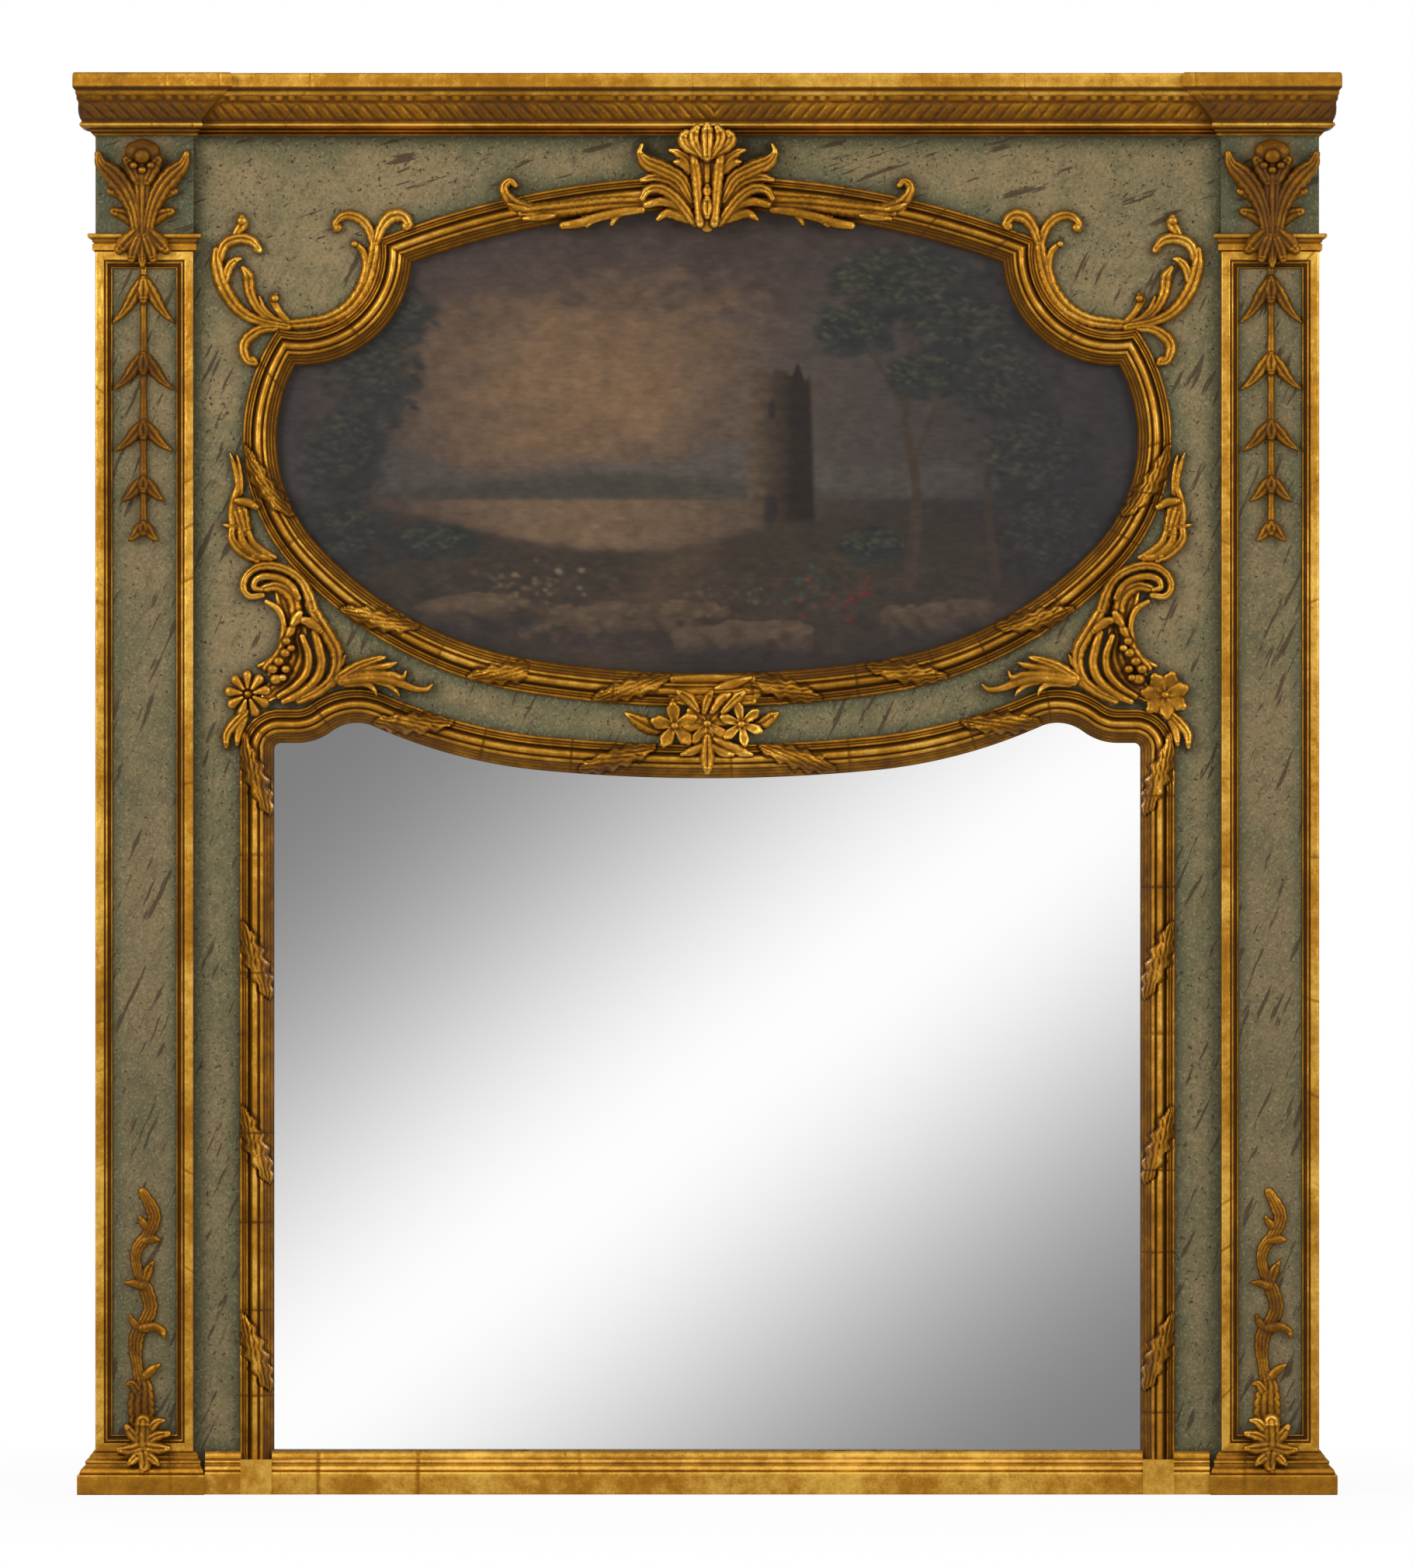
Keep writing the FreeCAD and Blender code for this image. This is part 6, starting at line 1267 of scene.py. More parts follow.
CLASP = [
    (20, [(-44, 1050, 10), (0, 1051, 12), (58, 1050, 10)]),
    (17, [(-42, 1035, 28), (10, 1036, 30), (58, 1035, 28)]),
    (15, [(-42, 1022, 14), (10, 1022, 16), (58, 1022, 14)]),
    (23, [(11, 1038, 6), (32, 1044, 14), (56, 1052, 5)]),
]
CAPITAL_SIDE = [
    (22, [(-733, 1625, 14), (-739, 1655, 18), (-750, 1680, 24), (-765, 1699, 24), (-779, 1712, 15),
          (-784, 1726, 8)]),
    (14, [(-738, 1660, 12), (-754, 1672, 11), (-769, 1678, 8)]),
    (15, [(-738, 1638, 14), (-750, 1648, 16), (-764, 1652, 10)]),
    (20, [(-733, 1628, 12), (-747, 1613, 20), (-757, 1603, 12)]),
    (22, [(-731, 1620, 12), (-738, 1602, 15), (-741, 1590, 9)]),
    (21, [(-733, 1690, 12), (-741, 1708, 17), (-747, 1718, 12)]),
]
CAPITAL_MIDDLE = [
    (24, [(-727, 1582, 7), (-727, 1595, 16), (-727, 1625, 20), (-727, 1660, 22), (-727, 1700, 28),
          (-727, 1712, 30)]),
    (27, [(-737, 1729, 26), (-727, 1731, 30), (-717, 1729, 26)], BEAD),
    bead(-727, 1723, 19, 34), bead(-738, 1711, 9, 29), bead(-716, 1711, 9, 29), bead(-727, 1705, 9, 30),
]
BELLS = [(1566, 38, 56), (1468, 37, 44), (1380, 35, 35), (1308, 26, 28), (1250, 18, 21)]
BELL_AXIS = -726
DROP_TOP = 1580


def bellflowers():
    """A drop of bellflowers on one stem, each smaller than the one above."""
    x = BELL_AXIS
    strokes = []
    stem_from = DROP_TOP
    for top, spread, drop in BELLS:
        strokes.append((7, [(x, stem_from, 8), (x, (stem_from + top) / 2, 7), (x, top - 6, 9)]))
        for side in (LEFT, RIGHT):
            strokes.append((10, [
                (x + side * 2, top, 8), (x + side * 0.3 * spread, top - 0.35 * drop, 14),
                (x + side * 0.62 * spread, top - 0.72 * drop, 10), (x + side * spread, top - drop, 3)]))
        strokes.append((12, [(x, top + 1, 6), (x, top - 0.25 * drop, 16), (x, top - 0.5 * drop, 9)]))
        stem_from = top - 0.4 * drop
    return strokes


LEAF_STEM = [
    (9, [(-727, 390, 9), (-716, 370, 13), (-712, 355, 13), (-720, 335, 12), (-733, 318, 12),
         (-736, 300, 10), (-730, 280, 11), (-722, 262, 14), (-717, 240, 14), (-724, 222, 14),
         (-734, 205, 15), (-736, 185, 13), (-733, 160, 11), (-728, 140, 20), (-729, 115, 26),
         (-728, 88, 24)]),
    (10, [(-728, 326, 8), (-714, 329, 9), (-705, 328, 3)]),
    (8, [(-719, 342, 9), (-727, 351, 8), (-731, 358, 3)]),
    (9, [(-724, 274, 8), (-720, 288, 11), (-714, 299, 4)]),
    (10, [(-726, 268, 10), (-738, 272, 8), (-749, 273, 3)]),
    (8, [(-732, 214, 9), (-739, 222, 8), (-743, 231, 3)]),
    (11, [(-728, 214, 10), (-712, 216, 9), (-701, 210, 7), (-699, 202, 3)]),
    (9, [(-726, 150, 10), (-716, 160, 9), (-706, 167, 4)]),
    (10, [(-733, 132, 12), (-741, 143, 8), (-748, 142, 3)]),
]
FOOT_SHELL = [
    (26, [(-726, 56, 22), (-724, 40, 20), (-727, 31, 8)]),
    (24, [(-728, 62, 20), (-742, 58, 18), (-757, 58, 8)]),
    (25, [(-722, 62, 20), (-708, 60, 18), (-694, 60, 8)]),
    (22, [(-730, 68, 18), (-740, 78, 16), (-747, 88, 8)]),
    (22, [(-722, 68, 18), (-708, 76, 16), (-694, 79, 8)]),
    (23, [(-727, 60, 26), (-727, 76, 26), (-726, 94, 22)]),
    (22, [(-718, 84, 16), (-708, 94, 12), (-699, 96, 5)]),
    (24, [(-734, 50, 16), (-740, 44, 12), (-744, 40, 6)]),
    (24, [(-719, 50, 16), (-711, 44, 12), (-707, 40, 6)]),
]

CARVING_PITCH = 0.8
FRINGE = 1.7 * CARVING_PITCH
STROKE_STEP = 2.5
HEIGHT_STEP = 0.37
SCROLL_EYES = [(-476, 1632, 11), (-388, 1634, 11), (-580, 1605, 11), (-600, 1641, 12), (-586, 1461, 12),
               (-455, 1611, 8), (-557, 1541, 9)]
BRACKET_PODS = [(-544, 1084, 12), (-552, 1073, 12), (-560, 1063, 12), (-556, 1050, 13),
                (-543, 1063, 10), (-542, 1099, 10), (-536, 1090, 9), (-547, 1052, 9)]
FLUTE_WIDTH = 9.5


def stroke_relief(x, z, line, height, form):
    """How far each point is inside a stroke, and the stroke's relief there."""
    distance, share, side = beside_line(x, z, line)
    count = len(line) - 1
    half = np.interp(share * count, np.arange(count + 1), line[:, 2]) / 2
    widest = line[:, 2].max()
    length = STROKE_STEP * count
    flutes = max(1, int(round(widest / FLUTE_WIDTH)))
    if form == LEAF and widest > 13 and length > 25:
        half = half * (0.93 + 0.13 * np.abs(np.sin(np.pi * share * length / 10.5)) ** 0.7)
    inside = half - distance
    s = np.clip(distance / np.maximum(half, 0.5), 0, 1)
    signed = s * side
    dome = np.sqrt(np.clip(1 - s * s, 0, 1))
    rise = np.minimum(0.55 * height, 1.0 + 0.8 * half)
    relief = height - rise * (1 - dome)
    if form == BEAD:
        return inside, relief
    if form == PETAL:
        dish = np.clip(1 - (s / 0.8) ** 2, 0, 1) * np.clip(1.15 - share, 0, 1)
        return inside, relief - 4.2 * dish + 1.5 * share
    if form == GORGE:
        relief = height - np.minimum(0.5 * half, 8.0) * dome
    if flutes > 1:
        lobes = np.abs(np.sin(np.pi * flutes * (signed + 1) / 2)) ** 0.7
        depth = np.minimum(0.30 * 2 * half / flutes, 3.2)
        relief = relief - depth * (1 - lobes)
    curl = np.exp(-((share - 0.9) / 0.07) ** 2) - 0.7 * np.exp(-(share / 0.05) ** 2)
    return inside, relief + np.minimum(0.14 * widest, 2.2) * curl


def carved_field(strokes):
    """Grid of the drawing: places, how far inside, and relief over the ground."""
    lines = [smooth_line(stroke[1], STROKE_STEP) for stroke in strokes]
    every = np.vstack(lines)
    reach = every[:, 2].max() / 2 + 3
    low = every[:, :2].min(axis=0) - reach
    high = every[:, :2].max(axis=0) + reach
    size = np.ceil((high - low) / CARVING_PITCH).astype(int) + 1
    xs = low[0] + CARVING_PITCH * np.arange(size[0])
    zs = low[1] + CARVING_PITCH * np.arange(size[1])
    x, z = np.meshgrid(xs, zs, indexing="ij")
    inside = np.full(x.shape, -9.0)
    top = np.full(x.shape, -1.0)
    fringe = np.zeros(x.shape)
    for i, (stroke, line) in enumerate(zip(strokes, lines)):
        edge = line[:, 2].max() / 2 + 2.5
        start = np.maximum(((line[:, :2].min(axis=0) - edge - low) / CARVING_PITCH).astype(int), 0)
        stop = ((line[:, :2].max(axis=0) + edge - low) / CARVING_PITCH).astype(int) + 2
        window = (slice(start[0], stop[0]), slice(start[1], stop[1]))
        f, relief = stroke_relief(x[window], z[window], line, stroke[0] + i * HEIGHT_STEP,
                                  form_of(stroke))
        top[window] = np.where(f > 0, np.maximum(top[window], relief), top[window])
        near = (f <= 0) & (f > -FRINGE)
        fringe[window] = np.where(near, np.maximum(fringe[window], relief), fringe[window])
        inside[window] = np.maximum(inside[window], f)
    return x, z, inside, np.where(inside > 0, top, fringe)


def carved_mesh(strokes, base, seed, tone=0.0):
    """Points, faces and hollow shade of a carving, its edges drawn down to the ground."""
    x, z, inside, relief = carved_field(strokes)
    shade_height = np.where(inside > -FRINGE, relief, 0)
    # Patina and painted shade in the hollows of the carving, lighter on its crests.
    hollow = np.clip(hollows(shade_height, 3, 3, 4.2, 0.30) + tone, 0, 1)
    relief = relief + 0.22 * lattice_noise(x, z, 4.0, seed) + 0.12 * lattice_noise(x, z, 1.9, seed + 1)
    gx, gz = np.gradient(inside, CARVING_PITCH)
    square = gx * gx + gz * gz + 1e-6
    move = np.where(inside > 0, 0, -inside) / square
    limit = 1.2 * CARVING_PITCH
    x = x + np.clip(move * gx, -limit, limit)
    z = z + np.clip(move * gz, -limit, limit)
    solid = inside > 0
    kept = solid[:-1, :-1] | solid[1:, :-1] | solid[:-1, 1:] | solid[1:, 1:]
    used, quads = kept_cells(kept, x.shape[1])
    points = np.stack([x.ravel()[used], base + np.maximum(relief.ravel()[used], 1.0),
                       z.ravel()[used]], axis=1)
    hollow = hollow.ravel()[used]
    edges = np.concatenate([quads[:, [k, (k + 1) % 4]] for k in range(4)])
    key = np.sort(edges, axis=1)
    code = key[:, 0] * (len(used) + 1) + key[:, 1]
    first, counts = np.unique(code, return_index=True, return_counts=True)[1:]
    rim = edges[first[counts == 1]]
    rim_points = np.unique(rim)
    below = np.full(len(used), -1)
    below[rim_points] = len(used) + np.arange(len(rim_points))
    ground = points[rim_points].copy()
    ground[:, 1] = base
    skirts = np.stack([rim[:, 1], rim[:, 0], below[rim[:, 0]], below[rim[:, 1]]], axis=1)
    # Painted shade on the carving's sides: dark along the rim and darkest at the ground.
    hollow[rim_points] = np.maximum(hollow[rim_points], 0.55)
    points = np.vstack([points, ground])
    hollow = np.concatenate([hollow, np.full(len(rim_points), 1.0)])
    return points, np.vstack([quads, skirts]), hollow


def carving_piece(name, mesh, side, replaced):
    points, quads, hollow = mesh
    if side == RIGHT:
        points = points * np.array([-1, 1, 1])
        quads = quads[:, ::-1]
    return piece(name, points, quads, GILT_CARVING, replaced, {"hollow": hollow},
                 sharp=65)


def carving(name, strokes, base, seed, replaced, tone=0.0):
    carving_piece(name, carved_mesh(strokes, base, seed, tone), LEFT, replaced)


def carving_pair(name, strokes, base, seed, node, tone=0.0):
    mesh = carved_mesh(strokes, base, seed, tone)
    for side_name, side in SIDES:
        carving_piece("%s_%s" % (name, side_name), mesh, side, ("%s_%s" % (node, side_name),))


carving("carved_crest", CREST_MIDDLE + CREST_HALF + mirrored_strokes(CREST_HALF, 0), FIELD_DEPTH, 101,
        ("crest",))
carving_pair("carved_crest_branch", fuller(CREST_BRANCH, 1.15), FIELD_DEPTH, 103, "crest_branch")
scroll_eyes = [bead(x, z, width, 11) for x, z, width in SCROLL_EYES]
carving_pair("carved_upper_scroll", fuller(UPPER_SCROLL, 1.3) + scroll_eyes, FIELD_DEPTH, 105,
             "upper_scroll", -0.05)
carving_pair("carved_side_leaf", fuller(SIDE_LEAF, 1.1), FIELD_DEPTH, 107, "side_leaf")
bracket_pods = [bead(x, z, width, 18) for x, z, width in BRACKET_PODS]
carving_pair("carved_lower_bracket", LOWER_BRACKET + bracket_pods, FIELD_DEPTH, 109, "lower_bracket")
carving("carved_rosette_left", LEFT_ROSETTE + CORNER_LEAF, FIELD_DEPTH, 111, ("rosette_left",))
carving("carved_rosette_right", RIGHT_ROSETTE + mirrored_strokes(CORNER_LEAF, 0), FIELD_DEPTH, 113,
        ("rosette_right",))
carving("carved_centre_flowers", CENTRE_FLOWERS, FIELD_DEPTH, 115, ("centre_flowers",))
carving("carved_clasp", CLASP, FIELD_DEPTH, 117, ("picture_clasp",))
capital_side = fuller(CAPITAL_SIDE, 1.14)
carving_pair("carved_capital_leaf", CAPITAL_MIDDLE + capital_side + mirrored_strokes(capital_side, -727),
             PILASTER_DEPTH, 119, "capital_leaf", 0.26)
carving_pair("carved_bellflowers", fuller(bellflowers(), 1.25), PILASTER_DEPTH, 121,
             "bellflower_drop", 0.28)
carving_pair("carved_foot_shell", FOOT_SHELL, PILASTER_DEPTH, 123, "leaf_stem")
leaf_stem = fuller(LEAF_STEM, 1.35)
carving("carved_leaf_stem_left", leaf_stem, PILASTER_DEPTH, 125, ("leaf_stem_left",), 0.2)
carving("carved_leaf_stem_right", moved_strokes(leaf_stem, 2 * PILASTER_CENTRE), PILASTER_DEPTH, 127,
        ("leaf_stem_right",), 0.2)


# ---------------------------------------------------------------------------------------
# The painted field, a skin of paint on the panel, darker beside the gilding with dirt and painted shade
# ---------------------------------------------------------------------------------------
FIELD_PITCH = 4.0
SKIN = 0.3
CARVING_REACH = 30   # how far from a carving the dirt and painted shade is looked for
GRIME_AND_SHADE_REACH = 4.5
EDGE_REACH = 14
STILE_TOP = 1010     # above it the mirror's outline is its shaped top


def distance_to(x, z, line):
    return beside_line(x, z, np.asarray(line, float))[0]


def field_shades(x, z):
    """Dirt and painted shade close beside the mouldings and carvings, and a broad cooler band there."""
    outline = picture_grid[::6, -1]
    near = distance_to(x, z, np.vstack([outline, outline[:1]]))
    near = np.minimum(near, distance_to(x, z, top_grid[::6, -1]))
    above = np.where(z > STILE_TOP, 99, 0)
    near = np.minimum(near, np.abs(np.abs(x) - SIGHT_HALF - MOULDING_WIDTH) + above)
    near = np.minimum(near, PILASTER_INNER - np.abs(x))
    near = np.minimum(near, np.minimum(CORNICE_FOOT - z, z - PLINTH_HEIGHT))
    carvings = (UPPER_SCROLL + SIDE_LEAF + LOWER_BRACKET + CREST_BRANCH + LEFT_ROSETTE + CORNER_LEAF
                + CREST_HALF)
    close = near.copy()
    for stroke in carvings:
        for side in (LEFT, RIGHT):
            line = smooth_line(stroke[1], 8) * np.array([-side, 1, 1])
            window = ((np.abs(x - line[:, 0].mean()) < CARVING_REACH + np.ptp(line[:, 0]))
                      & (np.abs(z - line[:, 1].mean()) < CARVING_REACH + np.ptp(line[:, 1])))
            gap = distance_to(x[window], z[window], line) - line[:, 2].mean() / 2
            close[window] = np.minimum(close[window], np.maximum(gap, 0))
    return np.exp(-np.maximum(close, 0) / GRIME_AND_SHADE_REACH), np.exp(-np.maximum(near, 0) / EDGE_REACH)


def painted_field():
    xs = np.linspace(-PILASTER_INNER + 0.3, PILASTER_INNER - 0.3, int(2 * PILASTER_INNER / FIELD_PITCH))
    zs = np.linspace(PLINTH_HEIGHT - 20, CORNICE_FOOT + 8, int((CORNICE_FOOT - 30) / FIELD_PITCH))
    x, z = np.meshgrid(xs, zs, indexing="ij")
    grime_and_shade, edge = field_shades(x.ravel(), z.ravel())
    picture_line, top_line = picture_grid[::4, COVERED_COLUMN], top_grid[::4, COVERED_COLUMN]
    mirror_line = np.vstack([top_line, [[top_line[-1, 0], 10], [top_line[0, 0], 10]]])
    cx = (x[:-1, :-1] + x[1:, 1:]) / 2
    cz = (z[:-1, :-1] + z[1:, 1:]) / 2
    open_cells = inside_polygon(cx, cz, picture_line) | inside_polygon(cx, cz, mirror_line)
    used, quads = kept_cells(~open_cells, x.shape[1])
    points = np.stack([x.ravel(), np.full(x.size, FIELD_DEPTH + SKIN), z.ravel()], axis=1)
    piece("painted_field", points[used], quads, PAINT_FIELD, (),
          {"grime_and_shade": grime_and_shade[used], "edge": edge[used]})


def inside_polygon(x, z, corners):
    """Whether points lie inside a closed outline, by crossings of a level ray."""
    inside = np.zeros(x.shape, bool)
    ring = np.vstack([corners, corners[:1]])
    for (ax, az), (bx, bz) in zip(ring[:-1], ring[1:]):
        if az == bz:
            continue
        spans = (az > z) != (bz > z)
        crossing = ax + (z - az) / (bz - az) * (bx - ax)
        inside ^= spans & (x < crossing)
    return inside


painted_field()


# ---------------------------------------------------------------------------------------
# The painting: a made-up lake view at dusk, in oils gone dark
# ---------------------------------------------------------------------------------------
CANVAS_WIDTH = 1.180
CANVAS_HEIGHT = 0.630
CANVAS_THICKNESS = 0.5
BACK_STEP = 6
PAINT_PITCH = 1.9
NIGHT = np.array((0.020, 0.018, 0.021))
MAUVE = np.array((0.070, 0.050, 0.042))
UMBER_GROUND = np.array((0.085, 0.055, 0.034))
SKY_GLOW = np.array((0.235, 0.150, 0.078))
SKY_COOL = np.array((0.062, 0.054, 0.050))
LEAF_DARK = np.array((0.020, 0.026, 0.024))
LEAF_LIGHT = np.array((0.085, 0.090, 0.052))
STONE = np.array((0.210, 0.150, 0.090))
CREAM = np.array((0.24, 0.18, 0.11))
RED = np.array((0.22, 0.022, 0.016))
TURQUOISE = np.array((0.040, 0.085, 0.075))
VARNISH = np.array((1.00, 0.90, 0.83))


def laid(picture, share, colour):
    """A colour, or one for each point, laid over the picture with a share from 0 to 1."""
    share = np.clip(share, 0, 1)[..., None]
    return picture * (1 - share) + colour * share


def soft(value, width):
    return 1 / (1 + np.exp(-np.clip(value / width, -30, 30)))


def dabbed(picture, x, z, centre, radius, count, size, colour, strength, seed):
    """Short brush dabs scattered over an oval, each in its own shade of the colour."""
    dice = np.random.default_rng(seed)
    pitch = x[1, 0] - x[0, 0]
    for k in range(count):
        turn = dice.uniform(0, 2 * math.pi)
        reach = math.sqrt(dice.uniform(0, 1.1))
        at = (centre[0] + radius[0] * reach * math.cos(turn),
              centre[1] + radius[1] * reach * math.sin(turn))
        long_half = size * dice.uniform(0.6, 1.5)
        slant = dice.uniform(-0.8, 0.8)
        shade = dice.uniform(0.55, 1.35)
        share_top = strength * dice.uniform(0.5, 1.0)
        i = int((at[0] - x[0, 0]) / pitch)
        j = int((at[1] - z[0, 0]) / pitch)
        span = int(2.2 * long_half / pitch) + 1
        if i < span or j < span or i >= x.shape[0] - span or j >= x.shape[1] - span:
            continue
        window = (slice(i - span, i + span), slice(j - span, j + span))
        dx = x[window] - at[0]
        dz = z[window] - at[1]
        far = np.hypot((dx + slant * dz) / long_half, (dz - slant * dx) / (0.45 * long_half))
        picture[window] = laid(picture[window], share_top * soft(1 - far, 0.22), colour * shade)
    return picture


def foliage(picture, x, z, centre, radius, seed, lit):
    """A clump of leaves with a ragged edge, lighter where it turns to the sky."""
    dx = (x - centre[0]) / radius[0]
    dz = (z - centre[1]) / radius[1]
    ragged = 0.28 * lattice_noise(x + 0.5 * z, z - 0.4 * x, 17, seed)
    share = soft(0.85 - np.sqrt(dx * dx + dz * dz) + ragged, 0.07)
    picture = laid(picture, 0.9 * share, LEAF_DARK)
    area = radius[0] * radius[1]
    picture = dabbed(picture, x, z, centre, radius, int(area / 26), 6.5, LEAF_DARK * 1.2, 0.75, seed + 1)
    above = (centre[0] - 0.15 * radius[0], centre[1] + 0.22 * radius[1])
    smaller = (0.75 * radius[0], 0.65 * radius[1])
    return dabbed(picture, x, z, above, smaller, int(area / 34), 4.2, LEAF_LIGHT, lit, seed + 2)


def trunk(picture, x, z, line, colour):
    drawn = smooth_line(line, 4)
    distance, share = beside_line(x, z, drawn)[:2]
    width = np.interp(share * (len(drawn) - 1), np.arange(len(drawn)), drawn[:, 2])
    return laid(picture, soft(width / 2 - distance, 0.8), colour)


def rock(picture, x, z, centre, radius, seed):
    dx = (x - centre[0]) / radius[0]
    dz = (z - centre[1]) / radius[1]
    uneven = 0.30 * lattice_noise(x, z, 30, seed) + 0.10 * lattice_noise(x, z, 9, seed + 2)
    share = soft(1 - np.sqrt(dx * dx + np.abs(dz) ** 2.6) + uneven, 0.02)
    facets = np.abs(lattice_noise(x + 0.6 * z, z, 26, seed + 1))
    light = np.clip(0.15 - 0.35 * dx + 0.55 * dz + 0.9 * facets, 0, 1)
    picture = laid(picture, 0.9 * share, UMBER_GROUND * 0.5 + 0.42 * light[..., None] * STONE)
    lit = (centre[0], centre[1] + 0.45 * radius[1])
    picture = dabbed(picture, x, z, lit, (0.8 * radius[0], 0.3 * radius[1]), 40, 6.5, STONE * 0.75, 0.4,
                     seed + 4)
    low = (centre[0], centre[1] - 0.6 * radius[1])
    return dabbed(picture, x, z, low, (radius[0], 0.35 * radius[1]), 60, 7.0, NIGHT * 1.6, 0.5, seed + 5)


def flowers(picture, x, z, centre, spread, colour, count, seed):
    dice = np.random.default_rng(seed)
    for k in range(count):
        at = np.array(centre) + dice.normal(size=2) * np.array(spread)
        radius = dice.uniform(2.2, 5.0)
        turn = np.arctan2(z - at[1], x - at[0])
        petals = radius * (0.9 + 0.12 * np.cos(5 * turn + k))
        share = soft(petals - np.hypot(x - at[0], (z - at[1]) * 1.4), 0.9)
        picture = laid(picture, dice.uniform(0.3, 0.8) * share, colour * dice.uniform(0.5, 1.1))
    return picture


def landscape(x, z):
    """The picture's colour at points of the canvas."""
    glow = np.exp(-(((x + 175) / 210) ** 2 + ((z - 1420) / 130) ** 2))
    clouds = lattice_noise(x, z * 2.2, 110, 1) * 0.5 + lattice_noise(x, z * 2, 45, 2) * 0.3
    picture = np.zeros(x.shape + (3,)) + SKY_COOL
    picture = laid(picture, glow * (0.85 + 0.5 * clouds), SKY_GLOW)
    picture = laid(picture, 0.7 * soft(clouds + (z - 1560) / 160, 0.25), MAUVE)
    far = 1335 + 16 * np.sin(x / 85 + 1) + 9 * np.sin(x / 37) + 3 * lattice_noise(x, x * 0, 12, 3)
    picture = laid(picture, 0.8 * soft(far - z, 2.5), np.array((0.085, 0.078, 0.070)))
    near = 1302 + 14 * np.sin(x / 120 + 2.6) + 3 * lattice_noise(x, x * 0, 9, 4)
    picture = laid(picture, 0.85 * soft(near - z, 2.0), np.array((0.052, 0.050, 0.038)))
    lake = soft(1282 - z, 1.5) * soft(z - 1216, 2.5)
    water = SKY_GLOW * 0.62 * glow_at(x)[..., None] + SKY_COOL * 0.55
    picture = laid(picture, lake, water)
    picture = dabbed(picture, x, z, (-190, 1250), (200, 26), 160, 9.0, SKY_GLOW * 0.55, 0.25, 90)
    for k, (middle, reach) in enumerate((((-250, 1480), (170, 60)), ((-60, 1520), (150, 60)),
                                         ((-180, 1400), (150, 50)))):
        picture = dabbed(picture, x, z, middle, reach, 170, 15.0, SKY_GLOW * 0.85, 0.22, 91 + k)
    picture = dabbed(picture, x, z, (40, 1570), (300, 45), 260, 14.0, MAUVE * 0.8, 0.3, 95)
    picture = tower(picture, x, z)
    bank = 1222 + 13 * np.sin(x / 95) + 0.10 * np.abs(x + 60) + 4 * lattice_noise(x, z, 26, 6)
    picture = laid(picture, soft(bank - z, 3), np.array((0.040, 0.032, 0.022)))
    path = np.exp(-((x + 40 + 0.9 * (1190 - z)) / (26 + 0.35 * (1222 - z))) ** 2) * soft(bank - z, 4)
    picture = laid(picture, 0.55 * path, UMBER_GROUND * 1.25)
    picture = dabbed(picture, x, z, (-60, 1150), (460, 70), 900, 7.5, UMBER_GROUND * 0.85, 0.35, 96)
    picture = dabbed(picture, x, z, (-60, 1165), (460, 50), 500, 5.5, LEAF_LIGHT * 0.7, 0.35, 97)
    for centre, radius, seed in (((-95, 1118), (120, 34), 8), ((60, 1100), (95, 26), 10),
                                 ((-290, 1135), (70, 26), 12), ((330, 1128), (110, 26), 14)):
        picture = rock(picture, x, z, centre, radius, seed)
    picture = trees(picture, x, z)
    picture = flowers(picture, x, z, (170, 1150), (30, 17), RED, 26, 60)
    picture = flowers(picture, x, z, (120, 1166), (34, 15), TURQUOISE, 30, 61)
    picture = flowers(picture, x, z, (-225, 1172), (40, 15), CREAM, 34, 62)
    picture = flowers(picture, x, z, (20, 1150), (46, 12), CREAM * 0.6, 20, 63)
    dusk = np.clip(((x + 40) / 560) ** 2, 0, 1) ** 1.2
    picture = laid(picture, 0.80 * dusk, NIGHT * 1.5)
    picture = laid(picture, 0.45 * soft(1115 - z, 30), NIGHT * 1.6)
    brush = 1 + 0.12 * lattice_noise(x, z, 13, 70) + 0.09 * lattice_noise(x * 0.4, z, 4, 71)
    return np.clip(picture * brush[..., None] * VARNISH, 0, 1)


def glow_at(x):
    return np.exp(-((x + 175) / 230) ** 2)


def tower(picture, x, z):
    """A ruined round tower on a rocky point, with a broken top."""
    broken = 1452 + 10 * lattice_noise(x, x * 0, 9, 20) - 0.15 * (x - 95)
    half = 38 + 0.03 * (1450 - z)
    inside = soft(half - np.abs(x - 95), 1.2) * soft(broken - z, 1.5) * soft(z - 1240, 4)
    round_light = np.clip(0.75 - 0.013 * (x - 62), 0.12, 1)
    courses = 1 + 0.10 * np.sin(z / 3.2) + 0.14 * lattice_noise(x, z, 7, 21)
    tone = STONE * 0.55 * (round_light * courses)[..., None]
    picture = laid(picture, 0.93 * inside, tone)
    for centre, size in (((84, 1398), (5, 13)), ((108, 1330), (4.5, 11)), ((82, 1268), (9, 22))):
        dark = soft(1 - np.hypot((x - centre[0]) / size[0], (z - centre[1]) / size[1]), 0.1)
        picture = laid(picture, 0.85 * dark * inside, NIGHT)
    return picture


